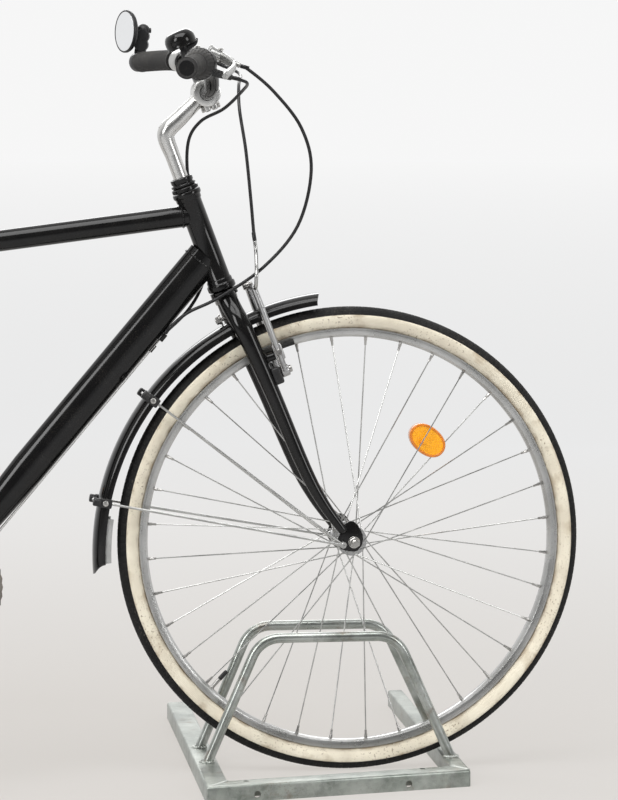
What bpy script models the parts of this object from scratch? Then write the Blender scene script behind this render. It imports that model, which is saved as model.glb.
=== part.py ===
# City bicycle parked with its front wheel in a galvanised floor rack.
# Built from Blender's own meshes and modifiers, in metres, with +Z up.
# Everything is modelled in the bicycle's own frame: X = 0 at the front hub and positive
# forward, Y = 0 on the wheels' middle plane and positive to the rider's left, Z = 0 on the floor.
# One empty then carries that frame to the world, where the origin is under the middle of the whole.

import math

import bmesh
import bpy
from mathutils import Vector

# Running gaps and seats
SEAT = 0.0003          # left between two pieces that touch
RUNNING = 0.0004       # radial play of a pin in its bearing, past the facets
WHEEL_ROOM = 0.0055    # kept free round anything that turns

# Wheels
RIM_R = 0.3165
TYRE_H = 0.0315          # how far the tyre stands beyond the rim
WHEEL_R = RIM_R + TYRE_H
TYRE_W = 0.037
RIM_DEPTH = 0.0135
RIM_W = 0.0245
RIM_WALL = 0.0028
SPOKES = 36
SPOKE_R = 0.0010
SPOKE_CROSS = 3
HUB_FLANGE_R = 0.0225
HUB_HOLE_R = 0.0185
HUB_SHELL_R = 0.0150
HUB_FLANGE_T = 0.0028
AXLE_R = 0.00475
NUT_R = 0.0088
FRONT_FLANGE_Y = 0.0335
REAR_FLANGE_RIGHT_Y = 0.0190
REAR_FLANGE_LEFT_Y = 0.0340
FRONT_HUB_W = 0.100
REAR_HUB_W = 0.130
DROPOUT_T = 0.005
BOSS_OUT = 0.026         # reach of a brake boss from its fork blade or seat stay
VALVE_ANGLE = 227.0
WHEEL_SIDES = 44
HUB_SIDES = 12
REFLECTOR_ANGLE = 50.8
REFLECTOR_R = 0.188

# Steering
GUARD_GAP = 0.024        # tyre to the outside of a mudguard
FENDER_R = WHEEL_R + GUARD_GAP
HEAD_ANGLE = 69.5
FORK_RAKE = 0.046
CROWN_FOOT = 0.020      # underside of the crown, below the lower cup
GUARD_TO_CUP = 0.048    # front mudguard to the lower head cup
FORK_LENGTH = FENDER_R + GUARD_TO_CUP   # hub to the lower head cup, along the steering axis
HEAD_LENGTH = 0.153    # lower cup to upper cup
HEAD_TUBE_R = 0.0178
HEAD_BORE_R = 0.0150
CUP_R = 0.0215
STEERER_R = 0.0127
LOCKNUT_R = 0.0190
LOCKNUT_TOP = 0.175

# Stem and handlebar
QUILL_R = 0.0111
QUILL_FOOT = 0.110     # how low the stem reaches inside the steerer, above the lower cup
STEM_R = 0.0135
STEM_ELBOW = 0.245     # above the lower cup, along the steering axis
CLAMP_BACK = 0.0240    # handlebar clamp, behind and above the lower cup
CLAMP_UP = 0.2894
CLAMP_R = 0.0205
CLAMP_W = 0.044
BAR_R = 0.0111
BAR_HALF = 0.290
GRIP_R = 0.0160
GRIP_INNER = 0.200
SHIFTER_R = 0.0240
SHIFTER_INNER = 0.152

# Frame
WHEELBASE = 1.0697
GUARD_TO_BRACKET = 0.0742
STAY_REACH = FENDER_R + GUARD_TO_BRACKET   # rear hub to the bottom bracket, along the floor
BB_BEHIND = WHEELBASE - STAY_REACH
BB_DROP = 0.058        # bottom bracket below the hubs
BB_SHELL_R = 0.0195
BB_SHELL_W = 0.068
TOP_TUBE_R = 0.0159
TOP_TUBE_BELOW = 0.0373    # top tube below the upper cup, along the steering axis
SEAT_CLUSTER = 0.0358      # top tube below the seat tube's end
DOWN_TUBE_HALF_H = 0.0262
DOWN_TUBE_HALF_W = 0.0185
DOWN_TUBE_UP = 0.0573      # down tube above the lower cup, along the steering axis
SEAT_ANGLE = 72.5
SEAT_TUBE_R = 0.0143
SEAT_TUBE_LENGTH = 0.535
SEATPOST_R = 0.0116
SEATPOST_SHOWS = 0.068
SADDLE_OVER = 0.0899       # top of the saddle above its clamp
STAY_KNEE = 0.51           # where the seat stays bend inwards, as a share of their length
BRAKE_BOSS_R = -0.0389     # rear brake bosses from the rim's edge, away from the hub

# Drive
CRANK_LENGTH = 0.170
CHAIN_LINE = 0.047
CHAIN_PITCH = 0.0127
RING_TEETH = 48
COG_TEETH = 24
COG_LINE = 0.0341
CHAIN_HALF_H = 0.0042
CHAIN_HALF_W = 0.0034
PEDAL_Y = 0.094
PULLEY_R = 0.0165
AXLE_BB_R = 0.0085

# Guards, stand and carrier
FENDER_HALF_W = 0.0250
FENDER_DROP = 0.0160
FENDER_T = 0.0018
STAND_LENGTH = 0.311
STAND_R = 0.0070
STAND_BOSS_HALF = 0.0100
FOOT_DROP = 0.040          # rear mudguard's lower fixing, below the hub

# Rack
RACK_H = 0.0250
RACK_BAR_W = 0.0265
RACK_WALL = 0.0030
RACK_ROUND = 0.0040
RACK_RIGHT_X = 0.1660
RACK_LEFT_X = -0.2450
RACK_NEAR_Y = -0.2900
RACK_FAR_Y = 0.5300
RACK_SLANT = 0.0850
BOLT_HOLE_R = 0.0050
BOLT_HOLES = (-0.1743, 0.0568)   # along the near bar's front wall
HOOP_R = 0.0075
HOOP_TOP = 0.2090
HOOP_NEAR_Y = -0.0680
HOOP_FAR_Y = 0.0700
HOOP_HALF_TOP = 0.0820
HOOP_BEND_R = 0.045

FRONT_HUB = Vector((0.0, 0.0, WHEEL_R))
REAR_HUB = Vector((-WHEELBASE, 0.0, WHEEL_R))
BB = Vector((-BB_BEHIND, 0.0, WHEEL_R - BB_DROP))
Y_AXIS = Vector((0.0, 1.0, 0.0))
AXIS = Vector((-math.cos(math.radians(HEAD_ANGLE)), 0.0, math.sin(math.radians(HEAD_ANGLE))))
AHEAD = Vector((AXIS.z, 0.0, -AXIS.x))
LOWER_CUP = FRONT_HUB - AHEAD * FORK_RAKE + AXIS * FORK_LENGTH
CLAMP_X = LOWER_CUP.x - CLAMP_BACK
CLAMP_Z = LOWER_CUP.z + CLAMP_UP
PITCH_R_RING = CHAIN_PITCH / 2 / math.sin(math.pi / RING_TEETH)
PITCH_R_COG = CHAIN_PITCH / 2 / math.sin(math.pi / COG_TEETH)
FRONT_END = WHEEL_R
REAR_END = -WHEELBASE - FENDER_R - 0.016
RIGHT_END = -0.2928
LEFT_END = RACK_FAR_Y + RACK_SLANT
ORIGIN = Vector((-(FRONT_END + REAR_END) / 2, -(RIGHT_END + LEFT_END) / 2, 0.0))

STAND_FOLDED = Vector((-1.0, 0.0, 0.03)).normalized()
STAND_DOWN = Vector((0.12, 0.30, -0.945)).normalized()
FENDER_FOOT = REAR_HUB + Vector((math.sqrt(FENDER_R ** 2 - FOOT_DROP ** 2), 0.0, -FOOT_DROP))
BRIDGE_R = 0.0060
FRONT_CABLE_END = LOWER_CUP + Vector((0.0442, -0.0360, 0.0717))
FRONT_CABLE_WAY = Vector((0.10, -0.16, -0.98)).normalized()
DOWN_HEAD = LOWER_CUP + AXIS * DOWN_TUBE_UP
DOWN_WAY = (BB - DOWN_HEAD).normalized()
REAR_STOP = (0.134, -0.008)
GEAR_STOP = (0.156, 0.008)

EMPTIES = {}


def clear_scene():
    for thing in list(bpy.data.objects):
        bpy.data.objects.remove(thing, do_unlink=True)


def add_empty(name, place, parent=None):
    """An empty at a place in the bicycle's frame, to carry the pieces that turn about it."""
    empty = bpy.data.objects.new(name, None)
    bpy.context.scene.collection.objects.link(empty)
    base = Vector((0.0, 0.0, 0.0))
    if parent:
        empty.parent, base = EMPTIES[parent]
        empty.location = place - base
    else:
        empty.location = ORIGIN
    EMPTIES[name] = (empty, place.copy())


def material(name, colour, rough, metal=0.0):
    found = bpy.data.materials.get(name)
    if found:
        return found
    made = bpy.data.materials.new(name)
    made.use_nodes = True
    shader = made.node_tree.nodes["Principled BSDF"]
    shader.inputs["Base Color"].default_value = (*colour, 1.0)
    shader.inputs["Roughness"].default_value = rough
    shader.inputs["Metallic"].default_value = metal
    made.diffuse_color = (*colour, 1.0)
    return made


def gloss_black():
    return material("gloss_black_paint", (0.012, 0.012, 0.014), 0.18)


def polished():
    return material("polished_aluminium", (0.78, 0.77, 0.74), 0.22, 1.0)


def satin():
    return material("satin_aluminium", (0.60, 0.60, 0.60), 0.38, 1.0)


def steel():
    return material("bright_steel", (0.55, 0.55, 0.54), 0.30, 1.0)


def zinc():
    return material("galvanised_zinc", (0.50, 0.54, 0.51), 0.48, 0.85)


def rubber():
    return material("charcoal_rubber", (0.035, 0.033, 0.032), 0.75)


def plastic():
    return material("black_plastic", (0.02, 0.02, 0.02), 0.42)


def add(name, shape, skin, carrier="bicycle", sharp=35.0):
    """Make an object from (points, faces) in the bicycle's frame, on the empty that carries it."""
    points, faces = shape
    mesh = bpy.data.meshes.new(name)
    base = EMPTIES[carrier][1]
    mesh.from_pydata([Vector(p) - base for p in points], [], faces)
    mesh.update()
    work = bmesh.new()
    work.from_mesh(mesh)
    bmesh.ops.remove_doubles(work, verts=work.verts, dist=1e-6)
    bmesh.ops.recalc_face_normals(work, faces=work.faces)
    work.to_mesh(mesh)
    work.free()
    mesh.shade_smooth()
    mesh.set_sharp_from_angle(angle=math.radians(sharp))
    mesh.materials.append(skin)
    made = bpy.data.objects.new(name, mesh)
    bpy.context.scene.collection.objects.link(made)
    made.parent = EMPTIES[carrier][0]
    return made


def boolean(target, tools, how):
    """Join or cut a target with hidden tool objects, each (points, faces)."""
    carrier = next(key for key, pair in EMPTIES.items() if pair[0] == target.parent)
    for index, shape in enumerate(tools):
        tool = add(f"{target.name}.{how.lower()}{len(target.modifiers)}", shape,
                   target.data.materials[0], carrier)
        tool.hide_render = True
        tool.display_type = "WIRE"
        change = target.modifiers.new(f"{how.lower()}{index}", "BOOLEAN")
        change.operation = how
        change.solver = "EXACT"
        change.object = tool
    return target


def join(target, *tools):
    return boolean(target, tools, "UNION")


def cut(target, *tools):
    return boolean(target, tools, "DIFFERENCE")


def merged(*shapes):
    """Several shapes that do not touch, as one (points, faces)."""
    points, faces = [], []
    for more_points, more_faces in shapes:
        start = len(points)
        points.extend(more_points)
        faces.extend([[start + i for i in face] for face in more_faces])
    return points, faces


def smooth_path(anchors, steps):
    """Points on a Catmull-Rom curve through the anchors, with its ends kept."""
    pts = [Vector(a) for a in anchors]
    pts = [pts[0] * 2 - pts[1]] + pts + [pts[-1] * 2 - pts[-2]]
    path = []
    for i in range(1, len(pts) - 2):
        a, b, c, d = pts[i - 1:i + 3]
        for k in range(steps):
            t = k / steps
            path.append(((b * 2) + (c - a) * t + (a * 2 - b * 5 + c * 4 - d) * t * t
                         + (b * 3 - a - c * 3 + d) * t * t * t) / 2)
    path.append(pts[-2].copy())
    return path


def frames(path, up=None):
    """At each point of a path, two directions square to it that twist as little as possible."""
    count = len(path)
    result = []
    side = None
    for i, point in enumerate(path):
        ahead = (path[min(i + 1, count - 1)] - path[max(i - 1, 0)]).normalized()
        if side is None:
            guide = Vector(up) if up else (Vector((0, 0, 1)) if abs(ahead.z) < 0.9 else Vector((1, 0, 0)))
            side = ahead.cross(guide).normalized()
        side = (side - ahead * side.dot(ahead)).normalized()
        result.append((side, side.cross(ahead).normalized() * -1))
    return result


def ring(centre, side, over, half_side, half_over, sides, turn=0.0):
    points = []
    for k in range(sides):
        angle = 2 * math.pi * k / sides + turn
        points.append(centre + side * (half_side * math.cos(angle)) + over * (half_over * math.sin(angle)))
    return points


def skin_rings(rings, closed=False):
    """Quads between rings of equal count, with the two ends capped unless the rings close."""
    sides = len(rings[0])
    points = [p for r in rings for p in r]
    faces = []
    spans = len(rings) if closed else len(rings) - 1
    for i in range(spans):
        a, b = i * sides, ((i + 1) % len(rings)) * sides
        for k in range(sides):
            n = (k + 1) % sides
            faces.append([a + k, a + n, b + n, b + k])
    if not closed:
        faces.append(list(range(sides))[::-1])
        last = (len(rings) - 1) * sides
        faces.append([last + k for k in range(sides)])
    return points, faces


def tube(path, sizes, sides=12, up=None):
    """A solid tube on a path. sizes is a radius, or a function of 0..1 giving two half widths."""
    path = [Vector(p) for p in path]
    rings = []
    for i, (point, (side, over)) in enumerate(zip(path, frames(path, up))):
        pair = sizes(i / (len(path) - 1)) if callable(sizes) else (sizes, sizes)
        rings.append(ring(point, side, over, pair[0], pair[1], sides))
    return skin_rings(rings)


def sleeve(path, inner, outer, sides=12):
    """A pipe on a path, open at both ends."""
    path = [Vector(p) for p in path]
    rims = frames(path)
    outside = [ring(p, s, o, outer, outer, sides) for p, (s, o) in zip(path, rims)]
    inside = [ring(p, s, o, inner, inner, sides) for p, (s, o) in zip(path, rims)]
    return skin_rings(outside + inside[::-1], closed=True)


def turned(profile, sides, centre, axis=Y_AXIS, closed=False, turn=0.0):
    """Turn (radius, height) points about an axis. A closed profile makes a ring."""
    axis = Vector(axis).normalized()
    guide = Vector((1, 0, 0)) if abs(axis.x) < 0.9 else Vector((0, 0, 1))
    side = (guide - axis * guide.dot(axis)).normalized()
    over = axis.cross(side)
    rings = [ring(Vector(centre) + axis * h, side, over, r, r, sides, turn) for r, h in profile]
    return skin_rings(rings, closed)


def rod(start, end, radius, sides=12, turn=0.0):
    start, end = Vector(start), Vector(end)
    return turned([(radius, 0.0), (radius, (end - start).length)], sides, start, end - start, turn=turn)


def bearing_bore(radius, sides):
    """Radius of a faceted hole whose flats clear a round pin of this radius."""
    return (radius + RUNNING) / math.cos(math.pi / sides)


def collar_bore(radius, sides):
    """Radius of a faceted hole that fits round a faceted tube of this radius."""
    return (radius + 2 * SEAT) / math.cos(math.pi / sides)


def slab(outline, origin, u, v, low, high):
    """A flat outline of (u, v) points, given thickness from low to high along u x v."""
    u, v = Vector(u).normalized(), Vector(v).normalized()
    w = u.cross(v)
    rings = [[Vector(origin) + u * a + v * b + w * h for a, b in outline] for h in (low, high)]
    return skin_rings(rings)


def block(low, high):
    x0, y0, z0 = low
    x1, y1, z1 = high
    return slab([(x0, y0), (x1, y0), (x1, y1), (x0, y1)], (0, 0, 0), (1, 0, 0), (0, 1, 0), z0, z1)


def on_axis(along, ahead=0.0, left=0.0):
    """A place given by its distance up the steering axis, ahead of it and to its left."""
    return LOWER_CUP + AXIS * along + AHEAD * ahead + Y_AXIS * left


def round_wheel(centre, radius, angle, y=0.0):
    """A place at an angle about a wheel, 0 forward and 90 up."""
    turn = math.radians(angle)
    return Vector((centre.x + radius * math.cos(turn), y, centre.z + radius * math.sin(turn)))


def tyre_profile():
    """Half round crown and straight walls, with the bead narrow enough to sit inside the rim."""
    bead = RIM_W / 2 - RIM_WALL - SEAT
    seat = RIM_R + SEAT
    half = TYRE_W / 2
    points = [(RIM_R - 0.0045, bead), (seat, bead)]
    crown = WHEEL_R - half * 0.86
    for k in range(3):
        angle = math.radians(-6 + 48 * k)
        points.append((crown + half * 0.86 * math.sin(angle), half * math.cos(angle)))
    return points + [(r, -y) for r, y in points[:-1][::-1]]


def rim_profile():
    """A box rim with an open channel for the tyre's beads."""
    half = RIM_W / 2
    inner = RIM_R - RIM_DEPTH
    floor = RIM_R - 0.0050
    points = [(RIM_R, half), (RIM_R, half - RIM_WALL), (floor, half - RIM_WALL)]
    outer = [(floor, -half + RIM_WALL), (RIM_R, -half + RIM_WALL), (RIM_R, -half)]
    waist = [(inner + 0.0035, -half), (inner, 0.0), (inner + 0.0035, half)]
    return points + outer + waist


def spoke_lines(right_flange, left_flange):
    """Start and end of every spoke of a three-cross wheel, about its own hub."""
    lines = []
    gap = 360.0 / SPOKES
    reach = (RIM_R - RIM_DEPTH) * math.cos(math.pi / WHEEL_SIDES) - SEAT
    for n in range(SPOKES):
        flange = -right_flange if n % 2 else left_flange
        leading = (n // 2) % 2 == 0
        rim_angle = math.radians(n * gap + 5.0)
        sweep = SPOKE_CROSS * 2 * gap * (1 if leading else -1)
        hub_angle = rim_angle - math.radians(sweep)
        offset = (HUB_FLANGE_T / 2 + 0.0003) * (1 if leading else -1) * (1 if flange > 0 else -1)
        start = Vector((HUB_HOLE_R * math.cos(hub_angle), flange + offset, HUB_HOLE_R * math.sin(hub_angle)))
        spread = 0.0025 * (1 if flange > 0 else -1)
        end = Vector((reach * math.cos(rim_angle), spread, reach * math.sin(rim_angle)))
        lines.append((start, end))
    return lines


def hub_profile(right_flange, left_flange, right_end, left_end):
    """Outer line of the hub from right to left, then back along its bore."""
    bore = bearing_bore(AXLE_R, HUB_SIDES)
    t = HUB_FLANGE_T / 2
    return [
        (0.0115, -right_end), (0.0130, -right_flange - t), (HUB_FLANGE_R, -right_flange - t),
        (HUB_FLANGE_R, -right_flange + t), (HUB_SHELL_R, -right_flange + t + 0.004),
        (HUB_SHELL_R, left_flange - t - 0.004), (HUB_FLANGE_R, left_flange - t),
        (HUB_FLANGE_R, left_flange + t), (0.0130, left_flange + t), (0.0115, left_end),
        (bore, left_end), (bore, -right_end),
    ]


def build_wheel(prefix, centre, carrier, right_flange, left_flange, right_end, left_end):
    cream = material("cream_sidewall", (0.73, 0.62, 0.42), 0.7)
    add(f"{prefix}_tyre", turned(tyre_profile(), WHEEL_SIDES, centre, closed=True), cream, carrier)
    rim = add(f"{prefix}_rim", turned(rim_profile(), WHEEL_SIDES, centre, closed=True), satin(), carrier)
    valve_start = round_wheel(centre, RIM_R - 0.008, VALVE_ANGLE)
    valve_end = round_wheel(centre, RIM_R - 0.048, VALVE_ANGLE)
    join(rim, rod(valve_start, valve_end, 0.0034, 8))
    hub = turned(hub_profile(right_flange, left_flange, right_end, left_end), HUB_SIDES, centre, closed=True)
    spokes = add(f"{prefix}_hub_and_spokes", hub, steel(), carrier)
    lines = spoke_lines(right_flange, left_flange)
    join(spokes, merged(*[rod(centre + a, centre + b, SPOKE_R, 4) for a, b in lines]))


def build_axle(name, centre, width, carrier, left_cone, right_cone):
    """An axle with a cone and a nut at each side, and the dropouts' thickness left bare between."""
    inner = width / 2 - SEAT
    outer = width / 2 + DROPOUT_T + SEAT
    right = [(AXLE_R, outer + 0.0150), (AXLE_R, outer + 0.0088), (NUT_R, outer + 0.0088), (NUT_R, outer),
             (AXLE_R, outer), (AXLE_R, inner), (NUT_R, inner), (NUT_R, right_cone), (AXLE_R, right_cone)]
    left = [(AXLE_R, left_cone), (NUT_R, left_cone), (NUT_R, inner), (AXLE_R, inner), (AXLE_R, outer),
            (NUT_R, outer), (NUT_R, outer + 0.0088), (AXLE_R, outer + 0.0088), (AXLE_R, outer + 0.0150)]
    add(name, turned([(r, -y) for r, y in right] + left, 10, centre), steel(), carrier)


def dropout(centre, y, outline):
    """A flat plate at a wheel's end, outside the given plane, with its axle hole cut later."""
    low = y if y > 0 else y - DROPOUT_T
    points = [Vector((centre.x + a, low, centre.z + b)) for a, b in outline]
    far = [p + Y_AXIS * DROPOUT_T for p in points]
    return skin_rings([points, far])


def front_boss(side):
    return on_axis(-0.118, 0.008, side * 0.044)


def build_fork():
    """Steerer, two bent blades and the dropouts, one brazed piece."""
    seat = STEERER_R
    profile = [(seat, -CROWN_FOOT), (CUP_R - 0.001, -0.0125), (CUP_R - 0.001, -0.0040), (seat, -0.0030),
               (seat, LOCKNUT_TOP - 0.002), (collar_bore(QUILL_R, 16), LOCKNUT_TOP - 0.002),
               (collar_bore(QUILL_R, 16), QUILL_FOOT)]
    fork = add("fork", turned(profile, 16, LOWER_CUP, AXIS), gloss_black())
    tip = FRONT_HUB_W / 2 + DROPOUT_T / 2
    for side in (-1, 1):
        anchors = [
            on_axis(-0.008, 0.000, side * 0.0130), on_axis(-0.030, 0.001, side * 0.0230),
            on_axis(-0.052, 0.003, side * 0.037), on_axis(-0.085, 0.006, side * 0.0440),
            on_axis(-0.170, 0.011, side * 0.0460), on_axis(0.130 - FORK_LENGTH, 0.016, side * 0.0490),
            on_axis(0.070 - FORK_LENGTH, 0.024, side * 0.0510),
            on_axis(0.018 - FORK_LENGTH, 0.038, side * tip),
        ]

        def sizes(t):
            taper = max(0.0, (t - 0.35) / 0.65)
            return (0.0145 - 0.0075 * taper, 0.0115 - 0.0050 * taper)

        join(fork, tube(smooth_path(anchors, 2), sizes, 8, up=(0, 1, 0)))
        outline = [(-0.025, 0.004), (-0.022, -0.009), (-0.012, -0.012), (0.004, -0.014), (0.013, -0.004),
                   (0.014, 0.010), (0.006, 0.026), (-0.006, 0.032), (-0.016, 0.026)]
        join(fork, dropout(FRONT_HUB, side * FRONT_HUB_W / 2, outline))
        boss = front_boss(side)
        join(fork, rod(boss, boss + AHEAD * BOSS_OUT, 0.0065, 10))
    hole = bearing_bore(AXLE_R, HUB_SIDES) - RUNNING / 2
    cut(fork, rod(FRONT_HUB - Y_AXIS * 0.07, FRONT_HUB + Y_AXIS * 0.07, hole, HUB_SIDES))


def build_headset():
    profile = [(STEERER_R + SEAT * 2, HEAD_LENGTH + 0.0012), (LOCKNUT_R + 0.001, HEAD_LENGTH + 0.0012),
               (LOCKNUT_R + 0.001, HEAD_LENGTH + 0.010), (LOCKNUT_R - 0.002, HEAD_LENGTH + 0.012),
               (LOCKNUT_R - 0.001, LOCKNUT_TOP - 0.002), (LOCKNUT_R - 0.003, LOCKNUT_TOP),
               (STEERER_R + SEAT * 2, LOCKNUT_TOP)]
    add("headset_locknut", turned(profile[::-1], 14, LOWER_CUP, AXIS, closed=True), gloss_black())


def bar_path():
    """The handlebar's centre line from its middle to the left end."""
    return [
        (CLAMP_X, 0.0, CLAMP_Z), (CLAMP_X, 0.026, CLAMP_Z + 0.0005),
        (CLAMP_X + 0.002, 0.055, CLAMP_Z + 0.010),
        (CLAMP_X - 0.004, 0.090, CLAMP_Z + 0.032), (CLAMP_X - 0.016, 0.125, CLAMP_Z + 0.0425),
        (CLAMP_X - 0.034, 0.180, CLAMP_Z + 0.0450), (CLAMP_X - 0.063, BAR_HALF, CLAMP_Z + 0.0410),
    ]


def bar_line(start, end):
    """The part of the handlebar between two distances to the left of its middle."""
    whole = smooth_path(bar_path(), 2)
    line = [p for p in whole if start + SEAT < p.y < end - SEAT]

    def at(y):
        for a, b in zip(whole, whole[1:]):
            if a.y <= y <= b.y and b.y > a.y:
                return a.lerp(b, (y - a.y) / (b.y - a.y))
        return whole[-1].copy()

    return [at(start)] + line + [at(end)]


def mirrored(points):
    return [Vector((p.x, -p.y, p.z)) for p in points]


def build_stem():
    elbow = on_axis(STEM_ELBOW)
    clamp = Vector((CLAMP_X, 0.0, CLAMP_Z))
    stem = add("stem", rod(on_axis(QUILL_FOOT + SEAT), elbow, QUILL_R, 14), polished())
    reach = clamp - elbow

    def sizes(t):
        return (0.0165 - 0.003 * t, 0.0145)

    join(stem, tube([elbow - AXIS * 0.012, elbow + AXIS * 0.004 + reach * 0.03, elbow + reach * 0.3, clamp],
                    sizes, 12, up=(0, 1, 0)))
    half = CLAMP_W / 2
    join(stem, rod(clamp - Y_AXIS * half, clamp + Y_AXIS * half, CLAMP_R, 16))
    bore = tube(mirrored(bar_line(0.0, half + 0.012))[::-1] + bar_line(0.0, half + 0.012)[1:],
                collar_bore(BAR_R, 12), 12)
    cut(stem, bore)


def build_handlebar():
    left = bar_line(0.0, BAR_HALF)
    path = mirrored(left)[::-1] + left[1:]
    add("handlebar", tube(path, BAR_R, 10), gloss_black())
    gap = collar_bore(BAR_R, 12)
    left_grip = bar_line(GRIP_INNER - 0.045, BAR_HALF - 0.002)
    add("grip_left", sleeve(left_grip, gap, GRIP_R, 12), rubber())
    add("grip_right", sleeve(mirrored(bar_line(GRIP_INNER, BAR_HALF - 0.002)), gap, GRIP_R, 12), rubber())


def shifter_outlet():
    """The end of the shifter's cable guide, and the way it points."""
    start = mirrored(bar_line(SHIFTER_INNER, GRIP_INNER))[0] + Vector((0.012, -0.007, -0.011))
    way = Vector((0.034, 0.006, -0.009)).normalized()
    return start + way * 0.034, way


def build_shifter():
    """Twist shifter on the right, its barrel widest at the inner end."""
    line = mirrored(bar_line(SHIFTER_INNER, GRIP_INNER - 0.001))
    bore = collar_bore(BAR_R, 16)
    rims = frames(line)
    sizes = [SHIFTER_R - (SHIFTER_R - 0.0170) * (i / (len(line) - 1)) ** 1.5 for i in range(len(line))]
    outside = [ring(p, s, o, r, r, 16) for p, r, (s, o) in zip(line, sizes, rims)]
    inside = [ring(p, s, o, bore, bore, 16) for p, (s, o) in zip(line, rims)]
    shifter = add("gear_shifter", skin_rings(outside + inside[::-1], closed=True), rubber())
    outlet, way = shifter_outlet()
    join(shifter, rod(outlet - way * 0.034, outlet, 0.0048, 8))


def lever_outlet(side):
    """The end of a lever's cable adjuster, and the way it points."""
    line = bar_line(0.128, 0.148)
    middle = (line[0] + line[-1]) / 2
    way = Vector((0.033, -0.004, -0.0155)).normalized()
    place = middle + Vector((0.044, -0.004, 0.003)) + way * 0.012
    if side < 0:
        place.y, way.y = -place.y, -way.y
    return place, way


def build_lever(side):
    """Brake lever: a clamp round the bar, a perch ahead of it and a curved blade."""
    name = "brake_lever_left" if side > 0 else "brake_lever_right"
    line = bar_line(0.128, 0.148)
    if side < 0:
        line = mirrored(line)
    lever = add(name, sleeve(line, collar_bore(BAR_R, 12), 0.0165, 12), polished())
    middle = (line[0] + line[-1]) / 2
    perch = middle + Vector((0.011, 0.0, 0.0185))
    nose = middle + Vector((0.044, side * -0.004, 0.003))
    snout = tube([perch, perch.lerp(nose, 0.5), nose], lambda t: (0.0085 - 0.003 * t, 0.010 - 0.0045 * t), 10)
    join(lever, snout)
    outlet, way = lever_outlet(side)
    join(lever, rod(outlet - way * 0.016, outlet, 0.0040, 8))
    pivot = perch.lerp(nose, 0.45)
    tip = Vector((CLAMP_X - 0.006, side * 0.268, CLAMP_Z + 0.030))
    bend = pivot.lerp(tip, 0.45) + Vector((0.016, 0.0, -0.004))
    blade = smooth_path([pivot, pivot.lerp(bend, 0.5) + Vector((0.004, 0, 0)), bend, tip], 2)
    join(lever, tube(blade, lambda t: (0.0045, 0.0078 - 0.0015 * t), 8))


def build_bell():
    """Round bell on a small clamp, on the left of the stem."""
    line = bar_line(0.098, 0.112)
    bell = add("bell", sleeve(line, collar_bore(BAR_R, 12), 0.0150, 12), plastic())
    middle = (line[0] + line[-1]) / 2
    axis = Vector((0.18, 0.0, 0.98)).normalized()
    base = middle + axis * 0.0145
    profile = [(0.0060, 0.0), (0.0060, 0.010), (0.0175, 0.0105), (0.0185, 0.0220), (0.0160, 0.0310),
               (0.0100, 0.0350)]
    join(bell, turned(profile, 16, base, axis))


def build_mirror():
    """Bar-end mirror: plug, upright arm and a round head that faces the rider."""
    line = bar_line(0.0, BAR_HALF)
    end = line[-1]
    way = (line[-1] - line[-2]).normalized()
    top = end + Vector((0.004, 0.010, 0.048))
    mirror = add("mirror", rod(end + way * SEAT, end + way * 0.018, 0.0150, 12), plastic())
    join(mirror, rod(end + way * 0.0098, top, 0.0085, 12))
    face = Vector((-0.93, -0.36, 0.05)).normalized()
    head = top + Vector((-0.014, 0.0, -0.002)) + Vector((0, 0.004, 0))
    profile = [(0.018, -0.010), (0.030, -0.004), (0.0345, 0.003), (0.0345, 0.007), (0.0325, 0.0085)]
    join(mirror, turned(profile, 18, head + face * 0.008, face),
         rod(top - Vector((0, 0, 0.006)), head + face * 0.001, 0.0060, 8))


def build_front_brake():
    """Linear-pull brake: two upright arms on the fork's bosses with their shoes."""
    for side in (-1, 1):
        name = "front_brake_arm_left" if side > 0 else "front_brake_arm_right"
        pivot = front_boss(side) + AHEAD * BOSS_OUT
        arm = build_brake_arm(name, pivot, AXIS, AHEAD, side, "bicycle", FRONT_HUB)
        if side < 0:
            join(arm, tube(noodle_path(), 0.0027, 8), *bridge_wire(pivot, AXIS, AHEAD))


def noodle_path():
    """The bent guide pipe from the end of the front cable down and across to the right arm."""
    head = arm_head(front_boss(-1) + AHEAD * BOSS_OUT, AXIS, AHEAD, -1)
    top = Vector(FRONT_CABLE_END)
    return smooth_path([top + FRONT_CABLE_WAY * 2 * SEAT, top + FRONT_CABLE_WAY * 0.014,
                        top + Vector((0.001, -0.012, -0.032)),
                        head + Vector((0.0, -0.024, 0.020)), head + Vector((0.0, -0.016, 0.003)),
                        head + Vector((0.0, -0.002, 0.0))], 2)


def arm_head(pivot, up, out, side):
    return pivot + out * 0.0066 + up * 0.104 - Y_AXIS * side * 0.0035


def bridge_wire(pivot, up, out):
    """The inner wire and its rubber boot, from the right arm's head to just short of the left one."""
    head = arm_head(pivot, up, out, -1)
    reach = 2 * abs(head.y) - 0.0075
    return [rod(head, head + Y_AXIS * reach, 0.0011, 6), rod(head, head + Y_AXIS * reach * 0.55, 0.0036, 8)]


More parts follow.
